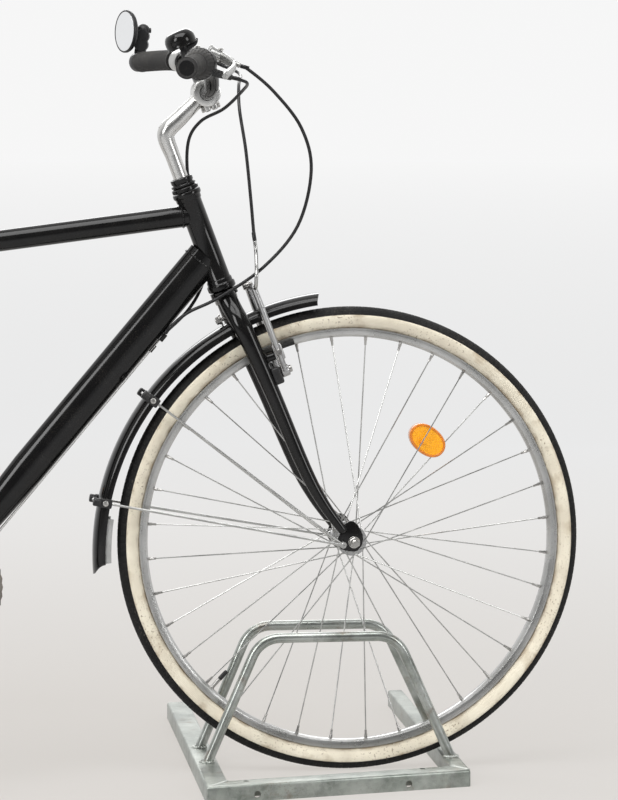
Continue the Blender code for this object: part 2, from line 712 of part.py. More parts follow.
def build_brake_arm(name, pivot, up, out, side, carrier, hub):
    """One arm about its pivot, standing along up, with a shoe that faces the rim."""
    y = Y_AXIS * side
    base = pivot + out * SEAT
    arm = add(name, rod(base, base + out * 0.012, 0.0090, 12), polished(), carrier)
    path = [base + out * 0.006 + Vector(), base + out * 0.006 + up * 0.030 + y * 0.004,
            base + out * 0.006 + up * 0.070 + y * 0.002, base + out * 0.006 + up * 0.110 - y * 0.004]
    join(arm, tube(path, lambda t: (0.0095 - 0.0028 * t, 0.0055), 10, up=tuple(out)))
    slot = base + out * 0.006 + up * 0.030
    aim = (slot - hub)
    aim.y = 0
    height = aim.length
    target = hub + aim * ((RIM_R - RIM_DEPTH / 2) / height)
    shoe_y = RIM_W / 2 + WHEEL_ROOM
    centre = Vector((target.x, side * (shoe_y + 0.005), target.z))
    along = Vector((-aim.z, 0, aim.x)).normalized()
    outward = aim.normalized()
    outline = [(-0.030, -0.0048), (0.030, -0.0048), (0.030, 0.0048), (-0.030, 0.0048)]
    pad = slab(outline, centre, along, outward, -0.0048, 0.0048)
    join(arm, rod(Vector((target.x, side * (shoe_y + 0.004), target.z)),
                  Vector((slot.x, slot.y + side * 0.010, slot.z)), 0.0034, 8), pad)
    return arm


def arch_section(radius, half_width, drop, thickness, count):
    """Outer and inner line of a guard's arched section, as (radius, y)."""
    outer, inner = [], []
    for k in range(count + 1):
        s = -1 + 2 * k / count
        r = radius - drop * s * s
        y = half_width * math.sin(s * math.pi / 2)
        outer.append((r, y))
        inner.append((r - thickness * math.cos(s * 0.9), y * (1 - thickness / half_width)))
    return outer + inner[::-1]


def guard(centre, start, end, steps, radius=FENDER_R, growth=0.0):
    """A mudguard: the arched section carried round the wheel from start to end in degrees."""
    rings = []
    for i in range(steps + 1):
        t = i / steps
        angle = start + (end - start) * t
        section = arch_section(radius + growth * t * t, FENDER_HALF_W, FENDER_DROP, FENDER_T, 4)
        rings.append([round_wheel(centre, r, angle, y) for r, y in section])
    return skin_rings(rings)


def guard_stay(name, eyelet, centre, angle, carrier, radius, inward=0.0029):
    """A wire from one eyelet up round the guard and down to the other."""
    half = FENDER_HALF_W + 0.0024
    side_r = radius - FENDER_DROP + 0.002
    over_r = radius + 0.0030
    anchors = [eyelet, round_wheel(centre, side_r - 0.010, angle, half + 0.0015),
               round_wheel(centre, side_r + 0.004, angle, half),
               round_wheel(centre, over_r, angle, half - 0.010),
               round_wheel(centre, over_r, angle, 0.0)]
    left = [Vector(a) for a in anchors]
    path = left + mirrored(left)[::-1][1:]
    stay = add(name, tube(path, 0.0019, 8), steel(), carrier)
    for side in (-1, 1):
        place = Vector((eyelet.x, side * eyelet.y, eyelet.z))
        join(stay, rod(place - Y_AXIS * side * inward, place + Y_AXIS * side * 0.0020, 0.0050, 10))
    return stay


def build_front_fender():
    fender = add("front_fender", guard(FRONT_HUB, 97.0, 187.0, 14, FENDER_R, 0.0150), gloss_black())
    join(fender, rod(on_axis(-CROWN_FOOT - SEAT), on_axis(-GUARD_TO_CUP - 0.0033), 0.0050, 8))
    outside = FRONT_HUB_W / 2 + DROPOUT_T + 0.0032
    for name, angle, growth, out in (("upper", 144.4, 0.0042, 0.0), ("lower", 170.6, 0.0122, 0.0053)):
        eyelet = Vector((-0.0175, outside + out, WHEEL_R - 0.0030))
        guard_stay(f"front_fender_stay_{name}", eyelet, FRONT_HUB, angle, "bicycle", FENDER_R + growth)


def stop_place(stop):
    """The mouth of a cable stop under the down tube, from its distance down the tube and to the left."""
    along, left = stop
    under = Vector((-DOWN_WAY.z, 0.0, DOWN_WAY.x))
    return DOWN_HEAD + DOWN_WAY * along + under * (DOWN_TUBE_HALF_H + 0.0010) + Y_AXIS * left


def build_frame():
    head = [(HEAD_BORE_R, -0.0022), (CUP_R, -0.0022), (CUP_R, 0.0080), (HEAD_TUBE_R, 0.0120),
            (HEAD_TUBE_R, HEAD_LENGTH - 0.012), (CUP_R, HEAD_LENGTH - 0.008), (CUP_R, HEAD_LENGTH),
            (HEAD_BORE_R, HEAD_LENGTH)]
    add("head_tube", turned(head[::-1], 18, LOWER_CUP, AXIS, closed=True), gloss_black(), "steered_frame")
    head_seat = turned([(HEAD_TUBE_R + SEAT, -0.08), (HEAD_TUBE_R + SEAT, 0.25)], 18, LOWER_CUP, AXIS)

    seat_up = seat_way()
    top_head = LOWER_CUP + AXIS * (HEAD_LENGTH - TOP_TUBE_BELOW)
    top_seat = BB + seat_up * (SEAT_TUBE_LENGTH - SEAT_CLUSTER)
    top_way = (top_seat - top_head).normalized()

    seat_shell = turned([(SEAT_TUBE_R + SEAT, -0.02), (SEAT_TUBE_R + SEAT, SEAT_TUBE_LENGTH + 0.10)],
                        16, BB, seat_up)
    bb_shell = rod(BB - Y_AXIS * 0.06, BB + Y_AXIS * 0.06, BB_SHELL_R + SEAT, 20)

    top_bar = rod(top_head - top_way * 0.004, top_seat + top_way * 0.004, TOP_TUBE_R, 16, turn=math.pi / 16)
    top = add("top_tube", top_bar, gloss_black(), "steered_frame")
    cut(top, head_seat, seat_shell)

    def down_size(t):
        narrow = (DOWN_TUBE_HALF_H - BB_SHELL_R + 0.0015) * max(0.0, 3 * t - 2)
        return (DOWN_TUBE_HALF_H - narrow, DOWN_TUBE_HALF_W)

    down_path = [DOWN_HEAD.lerp(BB, k / 3) for k in range(4)]
    down = add("down_tube", tube(down_path, down_size, 18, up=(0, 1, 0)), gloss_black(), "steered_frame")
    for stop in (REAR_STOP, GEAR_STOP):
        mouth = stop_place(stop)
        join(down, rod(mouth + DOWN_WAY * 3 * SEAT, mouth + DOWN_WAY * 0.013, 0.0055, 8))
    cut(down, head_seat, rod(top_head, top_seat, TOP_TUBE_R + SEAT, 16), seat_shell, bb_shell)

    upright = turned([(SEAT_TUBE_R, 0.0), (SEAT_TUBE_R, SEAT_TUBE_LENGTH)], 16, BB, seat_up)
    seat_tube = add("seat_tube", upright, gloss_black(), "steered_frame")
    half = BB_SHELL_W / 2
    join(seat_tube, rod(BB - Y_AXIS * half, BB + Y_AXIS * half, BB_SHELL_R, 20))
    cut(seat_tube, rod(BB - Y_AXIS * 0.06, BB + Y_AXIS * 0.06, bearing_bore(AXLE_BB_R, 14), 14),
        turned([(SEATPOST_R, SEAT_TUBE_LENGTH - 0.09), (SEATPOST_R, SEAT_TUBE_LENGTH + 0.10)],
               16, BB, seat_up))
    pillar = turned([(SEATPOST_R - SEAT, SEAT_TUBE_LENGTH - 0.085),
                     (SEATPOST_R - SEAT, SEAT_TUBE_LENGTH + SEATPOST_SHOWS)], 16, BB, seat_up)
    post = add("seatpost", pillar, polished(), "steered_frame")
    collar_at = SEAT_TUBE_LENGTH + SEAT
    join(post, turned([(SEAT_TUBE_R + 0.001, collar_at), (SEAT_TUBE_R + 0.001, collar_at + 0.008)],
                      16, BB, seat_up))
    head_top = BB + seat_up * (SEAT_TUBE_LENGTH + SEATPOST_SHOWS)
    join(post, block(head_top + Vector((-0.022, -0.027, -0.010)), head_top + Vector((0.022, 0.027, 0.012))))
    build_saddle(head_top)
    build_rear_triangle(seat_shell, bb_shell)


def build_saddle(clamp):
    """Soft saddle with a domed top on its two rails."""
    stations = [(0.150, 0.014, 0.012), (0.140, 0.022, 0.022), (0.095, 0.026, 0.030), (0.040, 0.033, 0.034),
                (-0.020, 0.055, 0.038), (-0.070, 0.076, 0.044), (-0.105, 0.082, 0.046),
                (-0.122, 0.070, 0.036), (-0.128, 0.045, 0.018)]
    saddle_z = clamp.z + SADDLE_OVER
    rings = []
    for x, half, depth in stations:
        points = []
        crown = saddle_z + 0.006 * (x / 0.14) ** 2 + (0.012 if x < -0.06 else 0.0)
        for k in range(14):
            angle = 2 * math.pi * k / 14
            c, s = math.cos(angle), math.sin(angle)
            y = half * math.copysign(abs(c) ** 0.75, c)
            z = crown - depth / 2 + depth / 2 * math.copysign(abs(s) ** 0.85, s)
            points.append(Vector((clamp.x + 0.010 + x, y, z)))
        rings.append(points)
    black = material("black_vinyl", (0.02, 0.02, 0.02), 0.5)
    add("saddle", skin_rings(rings), black, "steered_frame")

    def underside(x):
        for (xa, _, da), (xb, _, db) in zip(stations, stations[1:]):
            if xa >= x >= xb:
                depth = da + (db - da) * (xa - x) / (xa - xb)
                return saddle_z + 0.006 * (x / 0.14) ** 2 + (0.012 if x < -0.06 else 0.0) - depth
        return saddle_z

    nose = underside(0.098) - 0.0009
    tail = underside(-0.092) - 0.0009
    rail_z = clamp.z + 0.012 + 0.0040 + SEAT
    half = 0.022
    left = smooth_path([(clamp.x + 0.114, 0.010, nose - 0.004), (clamp.x + 0.080, 0.013, rail_z + 0.007),
                        (clamp.x + 0.040, half, rail_z + 0.001), (clamp.x - 0.028, half, rail_z + 0.001),
                        (clamp.x - 0.054, 0.026, rail_z + 0.010),
                        (clamp.x - 0.082, 0.032, tail - 0.004)], 2)
    rails = add("saddle_rails", tube(left, 0.0036, 6), steel(), "steered_frame")
    join(rails, tube(mirrored(left), 0.0036, 6),
         block((clamp.x + 0.102, -0.014, nose - 0.008), (clamp.x + 0.116, 0.014, nose)),
         block((clamp.x - 0.090, -0.040, tail - 0.008), (clamp.x - 0.074, 0.040, tail)),
         block((clamp.x - 0.016, -0.026, rail_z - 0.0038), (clamp.x + 0.016, 0.026, rail_z + 0.007)))


def build_rear_triangle(seat_shell, bb_shell):
    half = REAR_HUB_W / 2
    middle = half + DROPOUT_T / 2
    outline = [(0.050, -0.020), (0.050, -0.004), (0.022, 0.020), (0.006, 0.046), (-0.006, 0.046),
               (-0.025, 0.014), (-0.020, -0.008), (0.004, -0.016)]
    hole = rod(REAR_HUB - Y_AXIS * 0.09, REAR_HUB + Y_AXIS * 0.09,
               bearing_bore(AXLE_R, HUB_SIDES) - RUNNING / 2, HUB_SIDES)
    for side in (-1, 1):
        word = "left" if side > 0 else "right"
        anchors = [BB + Vector((-0.006, side * 0.0250, 0.0)), BB + Vector((-0.040, side * 0.0310, 0.005)),
                   BB + Vector((-0.098, side * 0.0315, 0.013)), BB + Vector((-0.150, side * 0.0420, 0.019)),
                   REAR_HUB + Vector((0.120, side * 0.0600, -0.016)),
                   REAR_HUB + Vector((0.030, side * middle, -0.010))]

        def sizes(t):
            near = max(0.0, 1 - abs(t - 0.35) / 0.25)
            return (0.0105 - 0.0020 * t, 0.0085 - 0.0025 * near)

        chain_stay = add(f"chain_stay_{word}", tube(smooth_path(anchors, 2), sizes, 10, up=(0, 1, 0)),
                         gloss_black(), "steered_frame")
        join(chain_stay, dropout(REAR_HUB, side * half, outline))
        if side > 0:
            bridge = rod(FENDER_FOOT + Y_AXIS * 0.030, FENDER_FOOT - Y_AXIS * 0.0245, BRIDGE_R, 10)
            join(chain_stay, *stand_bracket(), bridge)
        else:
            top = Vector((REAR_HUB.x, -half - DROPOUT_T, REAR_HUB.z - 0.010))
            join(chain_stay, rod_plate(top, hanger_place(), 0.0075, DROPOUT_T))
        cut(chain_stay, bb_shell, hole)
        path = [seat_stay_point(t, side) for t in (1.0, STAY_KNEE + 0.09, STAY_KNEE, STAY_KNEE - 0.09, 0.0)]
        seat_stay = add(f"seat_stay_{word}", tube(path, lambda t: (0.0072, 0.0072 - 0.0012 * t), 10,
                                                  up=(0, 1, 0)), gloss_black(), "steered_frame")
        boss = seat_stay_point(boss_share(), side)
        join(seat_stay, rod(boss, boss + stay_out() * BOSS_OUT, 0.0065, 10))
        if side > 0:
            place = seat_stay_point(bridge_share(), 0)
            spread = seat_stay_point(bridge_share(), 1).y
            join(seat_stay, rod(place + Y_AXIS * (spread - 0.0005), place - Y_AXIS * (spread - 0.0080),
                                BRIDGE_R, 10))
        cut(seat_stay, seat_shell)


def seat_stay_point(t, side):
    """A place on a seat stay, from 0 at the dropout to 1 at the seat tube."""
    low = REAR_HUB + Vector((0.006, 0.0, 0.046 + SEAT))
    high = BB + seat_way() * (SEAT_TUBE_LENGTH - 0.045) + Vector((-0.004, 0.0, 0.0))
    spread = (REAR_HUB_W + DROPOUT_T) / 2
    upper = max(t - STAY_KNEE, 0.0) / (1.0 - STAY_KNEE)
    y = spread + (0.0490 - spread) * min(t / STAY_KNEE, 1.0) + (0.0210 - 0.0490) * upper
    return low.lerp(high, t) + Y_AXIS * side * y


def seat_way():
    angle = math.radians(SEAT_ANGLE)
    return Vector((-math.cos(angle), 0.0, math.sin(angle)))


def stay_way():
    return (seat_stay_point(0.7, 0) - seat_stay_point(0.3, 0)).normalized()


def stay_out():
    """Square to the seat stays, away from the seat tube."""
    way = stay_way()
    return Vector((-way.z, 0.0, way.x))


def share_at(radius):
    """How far up the seat stays a place lies that is this far from the rear hub."""
    low, high = 0.0, 1.0
    for _ in range(30):
        middle = (low + high) / 2
        if (seat_stay_point(middle, 0) - REAR_HUB).length > radius:
            high = middle
        else:
            low = middle
    return low


def bridge_share():
    """The seat stays' bridge lies just outside the rear guard."""
    return share_at(FENDER_R + SEAT * 2 + BRIDGE_R)


def boss_share():
    return share_at(RIM_R + BRAKE_BOSS_R)


def hanger_place():
    """Where the derailleur is bolted under the right dropout, on the plate's outer face."""
    return Vector((REAR_HUB.x + 0.002, -REAR_HUB_W / 2 - DROPOUT_T, REAR_HUB.z - 0.032))


def stand_bracket():
    """A plate under the left chain stay, square to the stand's pivot, with its pin."""
    pivot, axis = stand_pivot(), stand_axis()
    over = Vector((1, 0, 0))
    up = axis.cross(over).normalized()
    face = pivot + axis * (STAND_BOSS_HALF + SEAT)
    outline = [(-0.012, -0.010), (0.012, -0.010), (0.012, 0.040), (-0.012, 0.040)]
    if up.z < 0:
        up = -up
    points = [face + over * a + up * b for a, b in outline]
    return [skin_rings([points, [p + axis * 0.004 for p in points]])]


def arc_points(centre, radius, start, end, steps, y):
    return [round_wheel(Vector((centre[0], 0, centre[1])), radius, start + (end - start) * k / steps, y)
            for k in range(steps + 1)]


def build_chain():
    """One fixed loop: over the cog and the ring, and back by the two pulleys."""
    ring_c = (BB.x, BB.z)
    cog_c = (REAR_HUB.x, REAR_HUB.z)
    upper, lower = pulley_places()
    path = []
    slack = 6.0
    path += arc_points(cog_c, PITCH_R_COG, 262.0, 97.0 - slack, 10, -COG_LINE)
    path += arc_points(ring_c, PITCH_R_RING, 97.0 - slack + 1.0, -88.0, 18, -CHAIN_LINE)
    path += arc_points(lower, 0.0215, -80.0, -245.0, 7, -COG_LINE)
    path += arc_points(upper, 0.0215, -60.0, 75.0, 6, -COG_LINE)
    add("chain", chain_band(path), steel(), "steered_frame")


def chain_band(path):
    """A closed band of the chain's height and width on the path, square to the wheels."""
    count = len(path)
    rings = []
    for i, point in enumerate(path):
        ahead = path[(i + 1) % count] - path[i - 1]
        ahead.y = 0
        ahead.normalize()
        out = Vector((-ahead.z, 0, ahead.x))
        corners = [(-1, -1), (1, -1), (1, 1), (-1, 1)]
        rings.append([point + out * (CHAIN_HALF_H * a) + Y_AXIS * (CHAIN_HALF_W * b) for a, b in corners])
    return skin_rings(rings, closed=True)


def pulley_places():
    upper = (REAR_HUB.x + 0.004, REAR_HUB.z - 0.0840)
    lower = (REAR_HUB.x + 0.030, REAR_HUB.z - 0.1420)
    return upper, lower


def build_drive():
    """Crank arms, chainring, the cluster of cogs and the pedals."""
    spindle = turned([(AXLE_BB_R, -0.066), (AXLE_BB_R, 0.060)], 14, BB)
    right = add("crank_right", spindle, polished(), "crank_centre")
    ring_disc = turned([(0.006, -CHAIN_LINE - 0.0015), (PITCH_R_RING - 0.0050, -CHAIN_LINE - 0.0015),
                        (PITCH_R_RING - 0.0050, -CHAIN_LINE + 0.0015), (0.006, -CHAIN_LINE + 0.0015)], 36, BB)
    windows = []
    for k in range(5):
        angle = 72.0 * k + 36.0
        centre = round_wheel(BB, 0.060, angle)
        windows.append(rod(centre - Y_AXIS * 0.055, centre - Y_AXIS * 0.040, 0.0170, 8))
    join(right, ring_disc)
    join(right, *crank_arm(-1, -90.0))
    cut(right, merged(*windows))
    hub, bar, eye = crank_arm(1, 90.0)
    left = add("crank_left", hub, polished(), "crank_centre")
    join(left, bar, eye)
    cut(left, rod(BB + Y_AXIS * 0.050, BB + Y_AXIS * 0.0605, AXLE_BB_R + SEAT, 14))
    for side, angle in ((-1, -90.0), (1, 90.0)):
        word = "left" if side > 0 else "right"
        target = left if side > 0 else right
        pin = round_wheel(BB, CRANK_LENGTH, angle)
        join(target, rod(pin + Y_AXIS * side * 0.080, pin + Y_AXIS * side * (PEDAL_Y + 0.080), 0.0045, 10))
        build_pedal(f"pedal_{word}", pin, side, f"pedal_{word}_pin")


def crank_arm(side, angle):
    """A tapered arm with a round boss at each end, on one side of the bracket."""
    turn = math.radians(angle)
    along = Vector((math.cos(turn), 0, math.sin(turn)))
    start = BB + Y_AXIS * side * 0.066
    end = BB + along * CRANK_LENGTH + Y_AXIS * side * 0.080
    hub = rod(BB + Y_AXIS * side * 0.0545, BB + Y_AXIS * side * 0.076, 0.0170, 14)
    eye = rod(end - Y_AXIS * side * 0.007, end + Y_AXIS * side * 0.006, 0.0140, 12)
    bar = tube([start, start.lerp(end, 0.5), end], lambda t: (0.0150 - 0.0035 * t, 0.0060), 10, up=(0, 1, 0))
    return [hub, bar, eye]


def build_pedal(name, pin, side, carrier):
    """A flat pedal on its pin, with two openings."""
    y0, y1 = sorted((side * (PEDAL_Y + 0.001), side * (PEDAL_Y + 0.086)))
    pedal = add(name, block((pin.x - 0.046, y0, pin.z - 0.0125), (pin.x + 0.046, y1, pin.z + 0.0125)),
                plastic(), carrier)
    cut(pedal, rod(pin + Y_AXIS * side * (PEDAL_Y - 0.01), pin + Y_AXIS * side * (PEDAL_Y + 0.0815),
                   bearing_bore(0.0045, 10), 10))
    for way in (-1, 1):
        x0, x1 = sorted((pin.x + way * 0.013, pin.x + way * 0.037))
        ya, yb = sorted((side * (PEDAL_Y + 0.012), side * (PEDAL_Y + 0.075)))
        cut(pedal, block((x0, ya, pin.z - 0.02), (x1, yb, pin.z + 0.02)))


def build_freewheel():
    """Seven cogs on one body, screwed to the right end of the rear hub."""
    profile = [(0.0120, -0.0625), (0.0215, -0.0625)]
    teeth = [14, 16, 18, 20, 22, 24, 28]
    y = -0.0600
    for count in teeth:
        r = CHAIN_PITCH / 2 / math.sin(math.pi / count) - 0.0052
        profile += [(0.0215, y), (r, y), (r, y + 0.0018), (0.0215, y + 0.0018)]
        y += 0.0050
    profile += [(0.0215, -0.0245), (0.0120, -0.0245)]
    add("freewheel_cogs", turned(profile[::-1], 14, REAR_HUB, closed=True), steel(), "rear_wheel_centre")


def build_derailleur():
    """Hanger, body and the cage with its two pulleys, all fixed."""
    upper, lower = pulley_places()
    y = -COG_LINE
    hanger = hanger_place() - Y_AXIS * SEAT
    pulley = rod((upper[0], y - 0.0120, upper[1]), (upper[0], y + 0.0090, upper[1]), PULLEY_R, 14)
    gear = add("rear_derailleur", pulley, polished(), "steered_frame")
    plates = []
    along = Vector((lower[0] - upper[0], 0, lower[1] - upper[1]))
    for low in (y - 0.0085, y + 0.0068):
        a = Vector((upper[0], low, upper[1]))
        plates.append(rod_plate(a, a + along, 0.0085, 0.0016))
    join(gear, rod((lower[0], y - 0.0085, lower[1]), (lower[0], y + 0.0084, lower[1]), PULLEY_R, 14), *plates)
    arm = [(upper[0], y - 0.0100, upper[1]), (upper[0] + 0.004, y - 0.028, REAR_HUB.z - 0.072),
           hanger + Vector((0.0, -0.0095, -0.004))]
    join(gear, tube(arm, 0.0060, 10), rod(hanger, hanger - Y_AXIS * 0.016, 0.0090, 12))


def rod_plate(a, b, half, thickness):
    """A flat strip with round ends between two places, thick along Y."""
    way = (b - a).normalized()
    over = Vector((-way.z, 0, way.x))
    outline = []
    for k in range(7):
        angle = math.pi / 2 + math.pi * k / 6
        outline.append(a + way * (half * math.cos(angle)) + over * (half * math.sin(angle)))
    for k in range(7):
        angle = -math.pi / 2 + math.pi * k / 6
        outline.append(b + way * (half * math.cos(angle)) + over * (half * math.sin(angle)))
    return skin_rings([outline, [p + Y_AXIS * thickness for p in outline]])


def build_rear_guard():
    add("rear_fender", guard(REAR_HUB, -5.2, 203.0, 28), gloss_black(), "steered_frame")
    outside = REAR_HUB_W / 2 + DROPOUT_T + 0.0032
    eyelet = Vector((REAR_HUB.x - 0.0175, outside, REAR_HUB.z + 0.008))
    guard_stay("rear_fender_stay", eyelet, REAR_HUB, 160.0, "steered_frame", FENDER_R)
    red = material("red_reflector", (0.55, 0.01, 0.01), 0.2)
    place = round_wheel(REAR_HUB, FENDER_R + 0.0009, 180.0)
    add("rear_reflector", rod(place, place - Vector((0.0135, 0, 0)), 0.0240, 16), red, "steered_frame")


def build_carrier():
    """Flat luggage carrier: a bent loop with three cross rods on two legs."""
    deck = REAR_HUB.z + FENDER_R + 0.040
    front, back, half, rod_r = REAR_HUB.x + 0.195, REAR_HUB.x - 0.155, 0.055, 0.0050
    foot_y = REAR_HUB_W / 2 + DROPOUT_T + 0.0095
    left = [Vector((front, 0.0, deck)), Vector((front, half * 0.8, deck)), Vector((front - 0.02, half, deck)),
            Vector((back + 0.02, half, deck)), Vector((back, half * 0.8, deck)), Vector((back, 0.0, deck))]
    loop = left + mirrored(left)[::-1][1:-1]
    carrier = add("rear_carrier", closed_tube(loop, rod_r, 6), plastic(), "steered_frame")
    cross = [rod((front - 0.075 * k, -half, deck), (front - 0.075 * k, half, deck), rod_r - 0.0006, 6)
             for k in (1, 2.2, 3.4)]
    join(carrier, merged(*cross))
    for side in (-1, 1):
        foot = Vector((REAR_HUB.x - 0.004, side * foot_y, REAR_HUB.z + 0.028))
        for shift, reach in ((0.0015, 0.060), (-0.0015, -0.080)):
            start = foot + Vector((shift, 0.0, 0.0))
            join(carrier, rod(start, (REAR_HUB.x + reach, side * half, deck + 0.0010), rod_r - 0.0004, 6))
        join(carrier, rod(foot - Y_AXIS * side * (0.0095 - SEAT), foot + Y_AXIS * side * 0.0050, 0.0070, 10))


def closed_tube(loop, radius, sides):
    """A tube on a closed flat loop."""
    count = len(loop)
    rings = []
    for i, point in enumerate(loop):
        ahead = (loop[(i + 1) % count] - loop[i - 1]).normalized()
        over = Vector((0, 0, 1))
        side = ahead.cross(over).normalized()
        rings.append(ring(point, side, over, radius, radius, sides))
    return skin_rings(rings, closed=True)


def build_rear_brake():
    for side in (-1, 1):
        name = "rear_brake_arm_left" if side > 0 else "rear_brake_arm_right"
        pivot = seat_stay_point(boss_share(), side) + stay_out() * BOSS_OUT
        arm = build_brake_arm(name, pivot, stay_way(), stay_out(), side, "steered_frame", REAR_HUB)
        if side < 0:
            join(arm, *bridge_wire(pivot, stay_way(), stay_out()))


def build_kickstand():
    """Side stand under the left chain stay, folded back along the wheel."""
    pivot, axis = stand_pivot(), stand_axis()
    stand = add("kickstand", rod(pivot - axis * STAND_BOSS_HALF, pivot + axis * STAND_BOSS_HALF, 0.0110, 12),
                satin(), "stand_pivot")
    join(stand, tube([pivot, pivot + STAND_FOLDED * 0.1, pivot + STAND_FOLDED * STAND_LENGTH], STAND_R, 10))


def stand_pivot():
    return Vector((REAR_HUB.x + 0.080, 0.0820, REAR_HUB.z - 0.050))


def stand_axis():
    """Square to the stand's folded and its lowered direction, pointing to the right."""
    return STAND_FOLDED.cross(STAND_DOWN).normalized()


def build_rack():
    """Welded base of three open-bottomed bars with rounded edges, and two bent hoops."""
    left, right, near, far = RACK_LEFT_X, RACK_RIGHT_X, RACK_NEAR_Y, RACK_FAR_Y

    def outline(inset):
        w = RACK_BAR_W - inset
        slope = RACK_SLANT / (right - left)
        nearest = near + inset

        def line(x, base):
            return base + (x - left) * slope

        return [
            (left + inset, line(left + inset, nearest)), (right - inset, line(right - inset, nearest)),
            (right - inset, line(right - inset, far - inset)), (right - w, line(right - w, far - inset)),
            (right - w, line(right - w, near + w)), (left + w, line(left + w, near + w)),
            (left + w, line(left + w, far - inset)), (left + inset, line(left + inset, far - inset)),
        ]

    steps = [(0.0, 0.0), (0.0, RACK_H - RACK_ROUND), (RACK_ROUND * 0.3, RACK_H - RACK_ROUND * 0.3),
             (RACK_ROUND, RACK_H)]
    levels = [[(x, y, z) for x, y in outline(inset)] for inset, z in steps]
    base = add("rack_base", skin_rings(levels), zinc())
    cut(base, slab(outline(RACK_WALL), (0, 0, 0), (1, 0, 0), (0, 1, 0), -0.01, RACK_H - RACK_WALL))
    holes = []
    for x in BOLT_HOLES:
        wall = Vector((x, near + (x - left) * RACK_SLANT / (right - left), RACK_H * 0.4))
        holes.append(rod(wall - Y_AXIS * 0.010, wall + Y_AXIS * 0.010, BOLT_HOLE_R, 12))
    cut(base, merged(*holes))
    centre = (left + right) / 2
    foot = (right - left) / 2 - RACK_BAR_W / 2
    top = HOOP_TOP - HOOP_R
    for name, y in (("rack_hoop_right", HOOP_NEAR_Y), ("rack_hoop_left", HOOP_FAR_Y)):
        corner = Vector((HOOP_HALF_TOP, 0, top))
        bottom = Vector((foot, 0, RACK_H + SEAT))
        leg = (bottom - corner).normalized()
        turn = math.acos(leg.dot(Vector((1, 0, 0))))
        cut_back = HOOP_BEND_R * math.tan(turn / 2)
        half = [bottom + leg * 0.006]
        mid = Vector((corner.x - cut_back, 0, top - HOOP_BEND_R))
        for k in range(6):
            angle = math.pi / 2 - turn * (1 - k / 5)
            half.append(mid + Vector((HOOP_BEND_R * math.cos(angle), 0, HOOP_BEND_R * math.sin(angle))))
        path = half + [Vector((-p.x, 0, p.z)) for p in half[::-1]]
        path = [p + Vector((centre, y, 0)) for p in path]
        hoop = add(name, tube(path, HOOP_R, 10, up=(0, 1, 0)), zinc())
        cut(hoop, block((left - 0.05, y - 0.02, -0.05), (right + 0.05, y + 0.02, RACK_H + SEAT)))


def build_reflector():
    """Amber reflector clipped between the front wheel's spokes."""
    amber = material("amber_reflector", (0.80, 0.28, 0.02), 0.25)
    centre = round_wheel(FRONT_HUB, REFLECTOR_R, REFLECTOR_ANGLE)
    out = (centre - FRONT_HUB).normalized()
    along = Vector((-out.z, 0, out.x))
    turns = [2 * math.pi * k / 18 for k in range(18)]
    outline = [(0.030 * math.cos(turn), 0.021 * math.sin(turn)) for turn in turns]
    lens = add("front_wheel_reflector", slab(outline, centre, along, out, -0.0080, 0.0080), amber,
               "front_wheel_centre")
    for start, end in spoke_lines(FRONT_FLANGE_Y, FRONT_FLANGE_Y):
        place = FRONT_HUB + start.lerp(end, (REFLECTOR_R - 0.004) / RIM_R)
        offset = place - centre
        if abs(offset.dot(along)) < 0.024 and abs(offset.dot(out)) < 0.012:
            side = 1 if place.y > 0 else -1
            foot = Vector((place.x, side * 0.004, place.z))
            join(lens, rod(foot, place - Y_AXIS * side * (SPOKE_R + SEAT), 0.0024, 8))


def cable_curve(name, anchors, steps=2):
    """A round outer cable on a smooth line through its points."""
    curve = bpy.data.curves.new(name, "CURVE")
    curve.dimensions = "3D"
    curve.bevel_depth = 0.0025
    curve.bevel_resolution = 2
    curve.render_resolution_u = 0
    curve.use_fill_caps = True
    path = smooth_path(anchors, steps)
    spline = curve.splines.new("POLY")
    spline.points.add(len(path) - 1)
    for point, place in zip(spline.points, path):
        point.co = (*place, 1.0)
    made = bpy.data.objects.new(name, curve)
    curve.materials.append(plastic())
    bpy.context.scene.collection.objects.link(made)
    made.parent = EMPTIES["bicycle"][0]


def build_cables():
    """Front brake, rear brake and gear cables; their free points are given from the lower cup."""
    rear_stop, gear_stop = stop_place(REAR_STOP), stop_place(GEAR_STOP)

    def from_cup(*points):
        return [LOWER_CUP + Vector(point) for point in points]

    start, way = lever_outlet(1)
    end = FRONT_CABLE_END
    cable_curve("front_brake_cable", [
        start + way * 2.5 * SEAT, start + way * 0.014,
        *from_cup((0.0402, 0.100, 0.3147), (0.0302, 0.036, 0.2987), (0.0262, -0.002, 0.2647),
                  (0.0332, -0.020, 0.2047), (0.0392, -0.029, 0.1347)),
        end - FRONT_CABLE_WAY * 0.012, end])
    start, way = lever_outlet(-1)
    cable_curve("rear_brake_cable", [
        start + way * 2.5 * SEAT, start + way * 0.014,
        *from_cup((0.0622, -0.115, 0.2927), (0.1052, -0.095, 0.2397), (0.1222, -0.080, 0.1767),
                  (0.1042, -0.066, 0.0947), (0.0542, -0.048, 0.0317), (-0.0098, -0.030, -0.0133),
                  (-0.0528, -0.016, -0.0353)),
        rear_stop - DOWN_WAY * 0.012, rear_stop])
    start, way = shifter_outlet()
    cable_curve("gear_cable", [
        start + way * 2 * SEAT, start + way * 0.010,
        *from_cup((0.0202, -0.134, 0.3057), (0.0182, -0.095, 0.2937), (-0.0018, -0.040, 0.2667),
                  (-0.0318, 0.000, 0.2467), (-0.0478, 0.020, 0.2147), (-0.0458, 0.031, 0.1547),
                  (-0.0278, 0.034, 0.0847), (-0.0218, 0.032, 0.0197), (-0.0458, 0.018, -0.0303)),
        gear_stop - DOWN_WAY * 0.012, gear_stop])


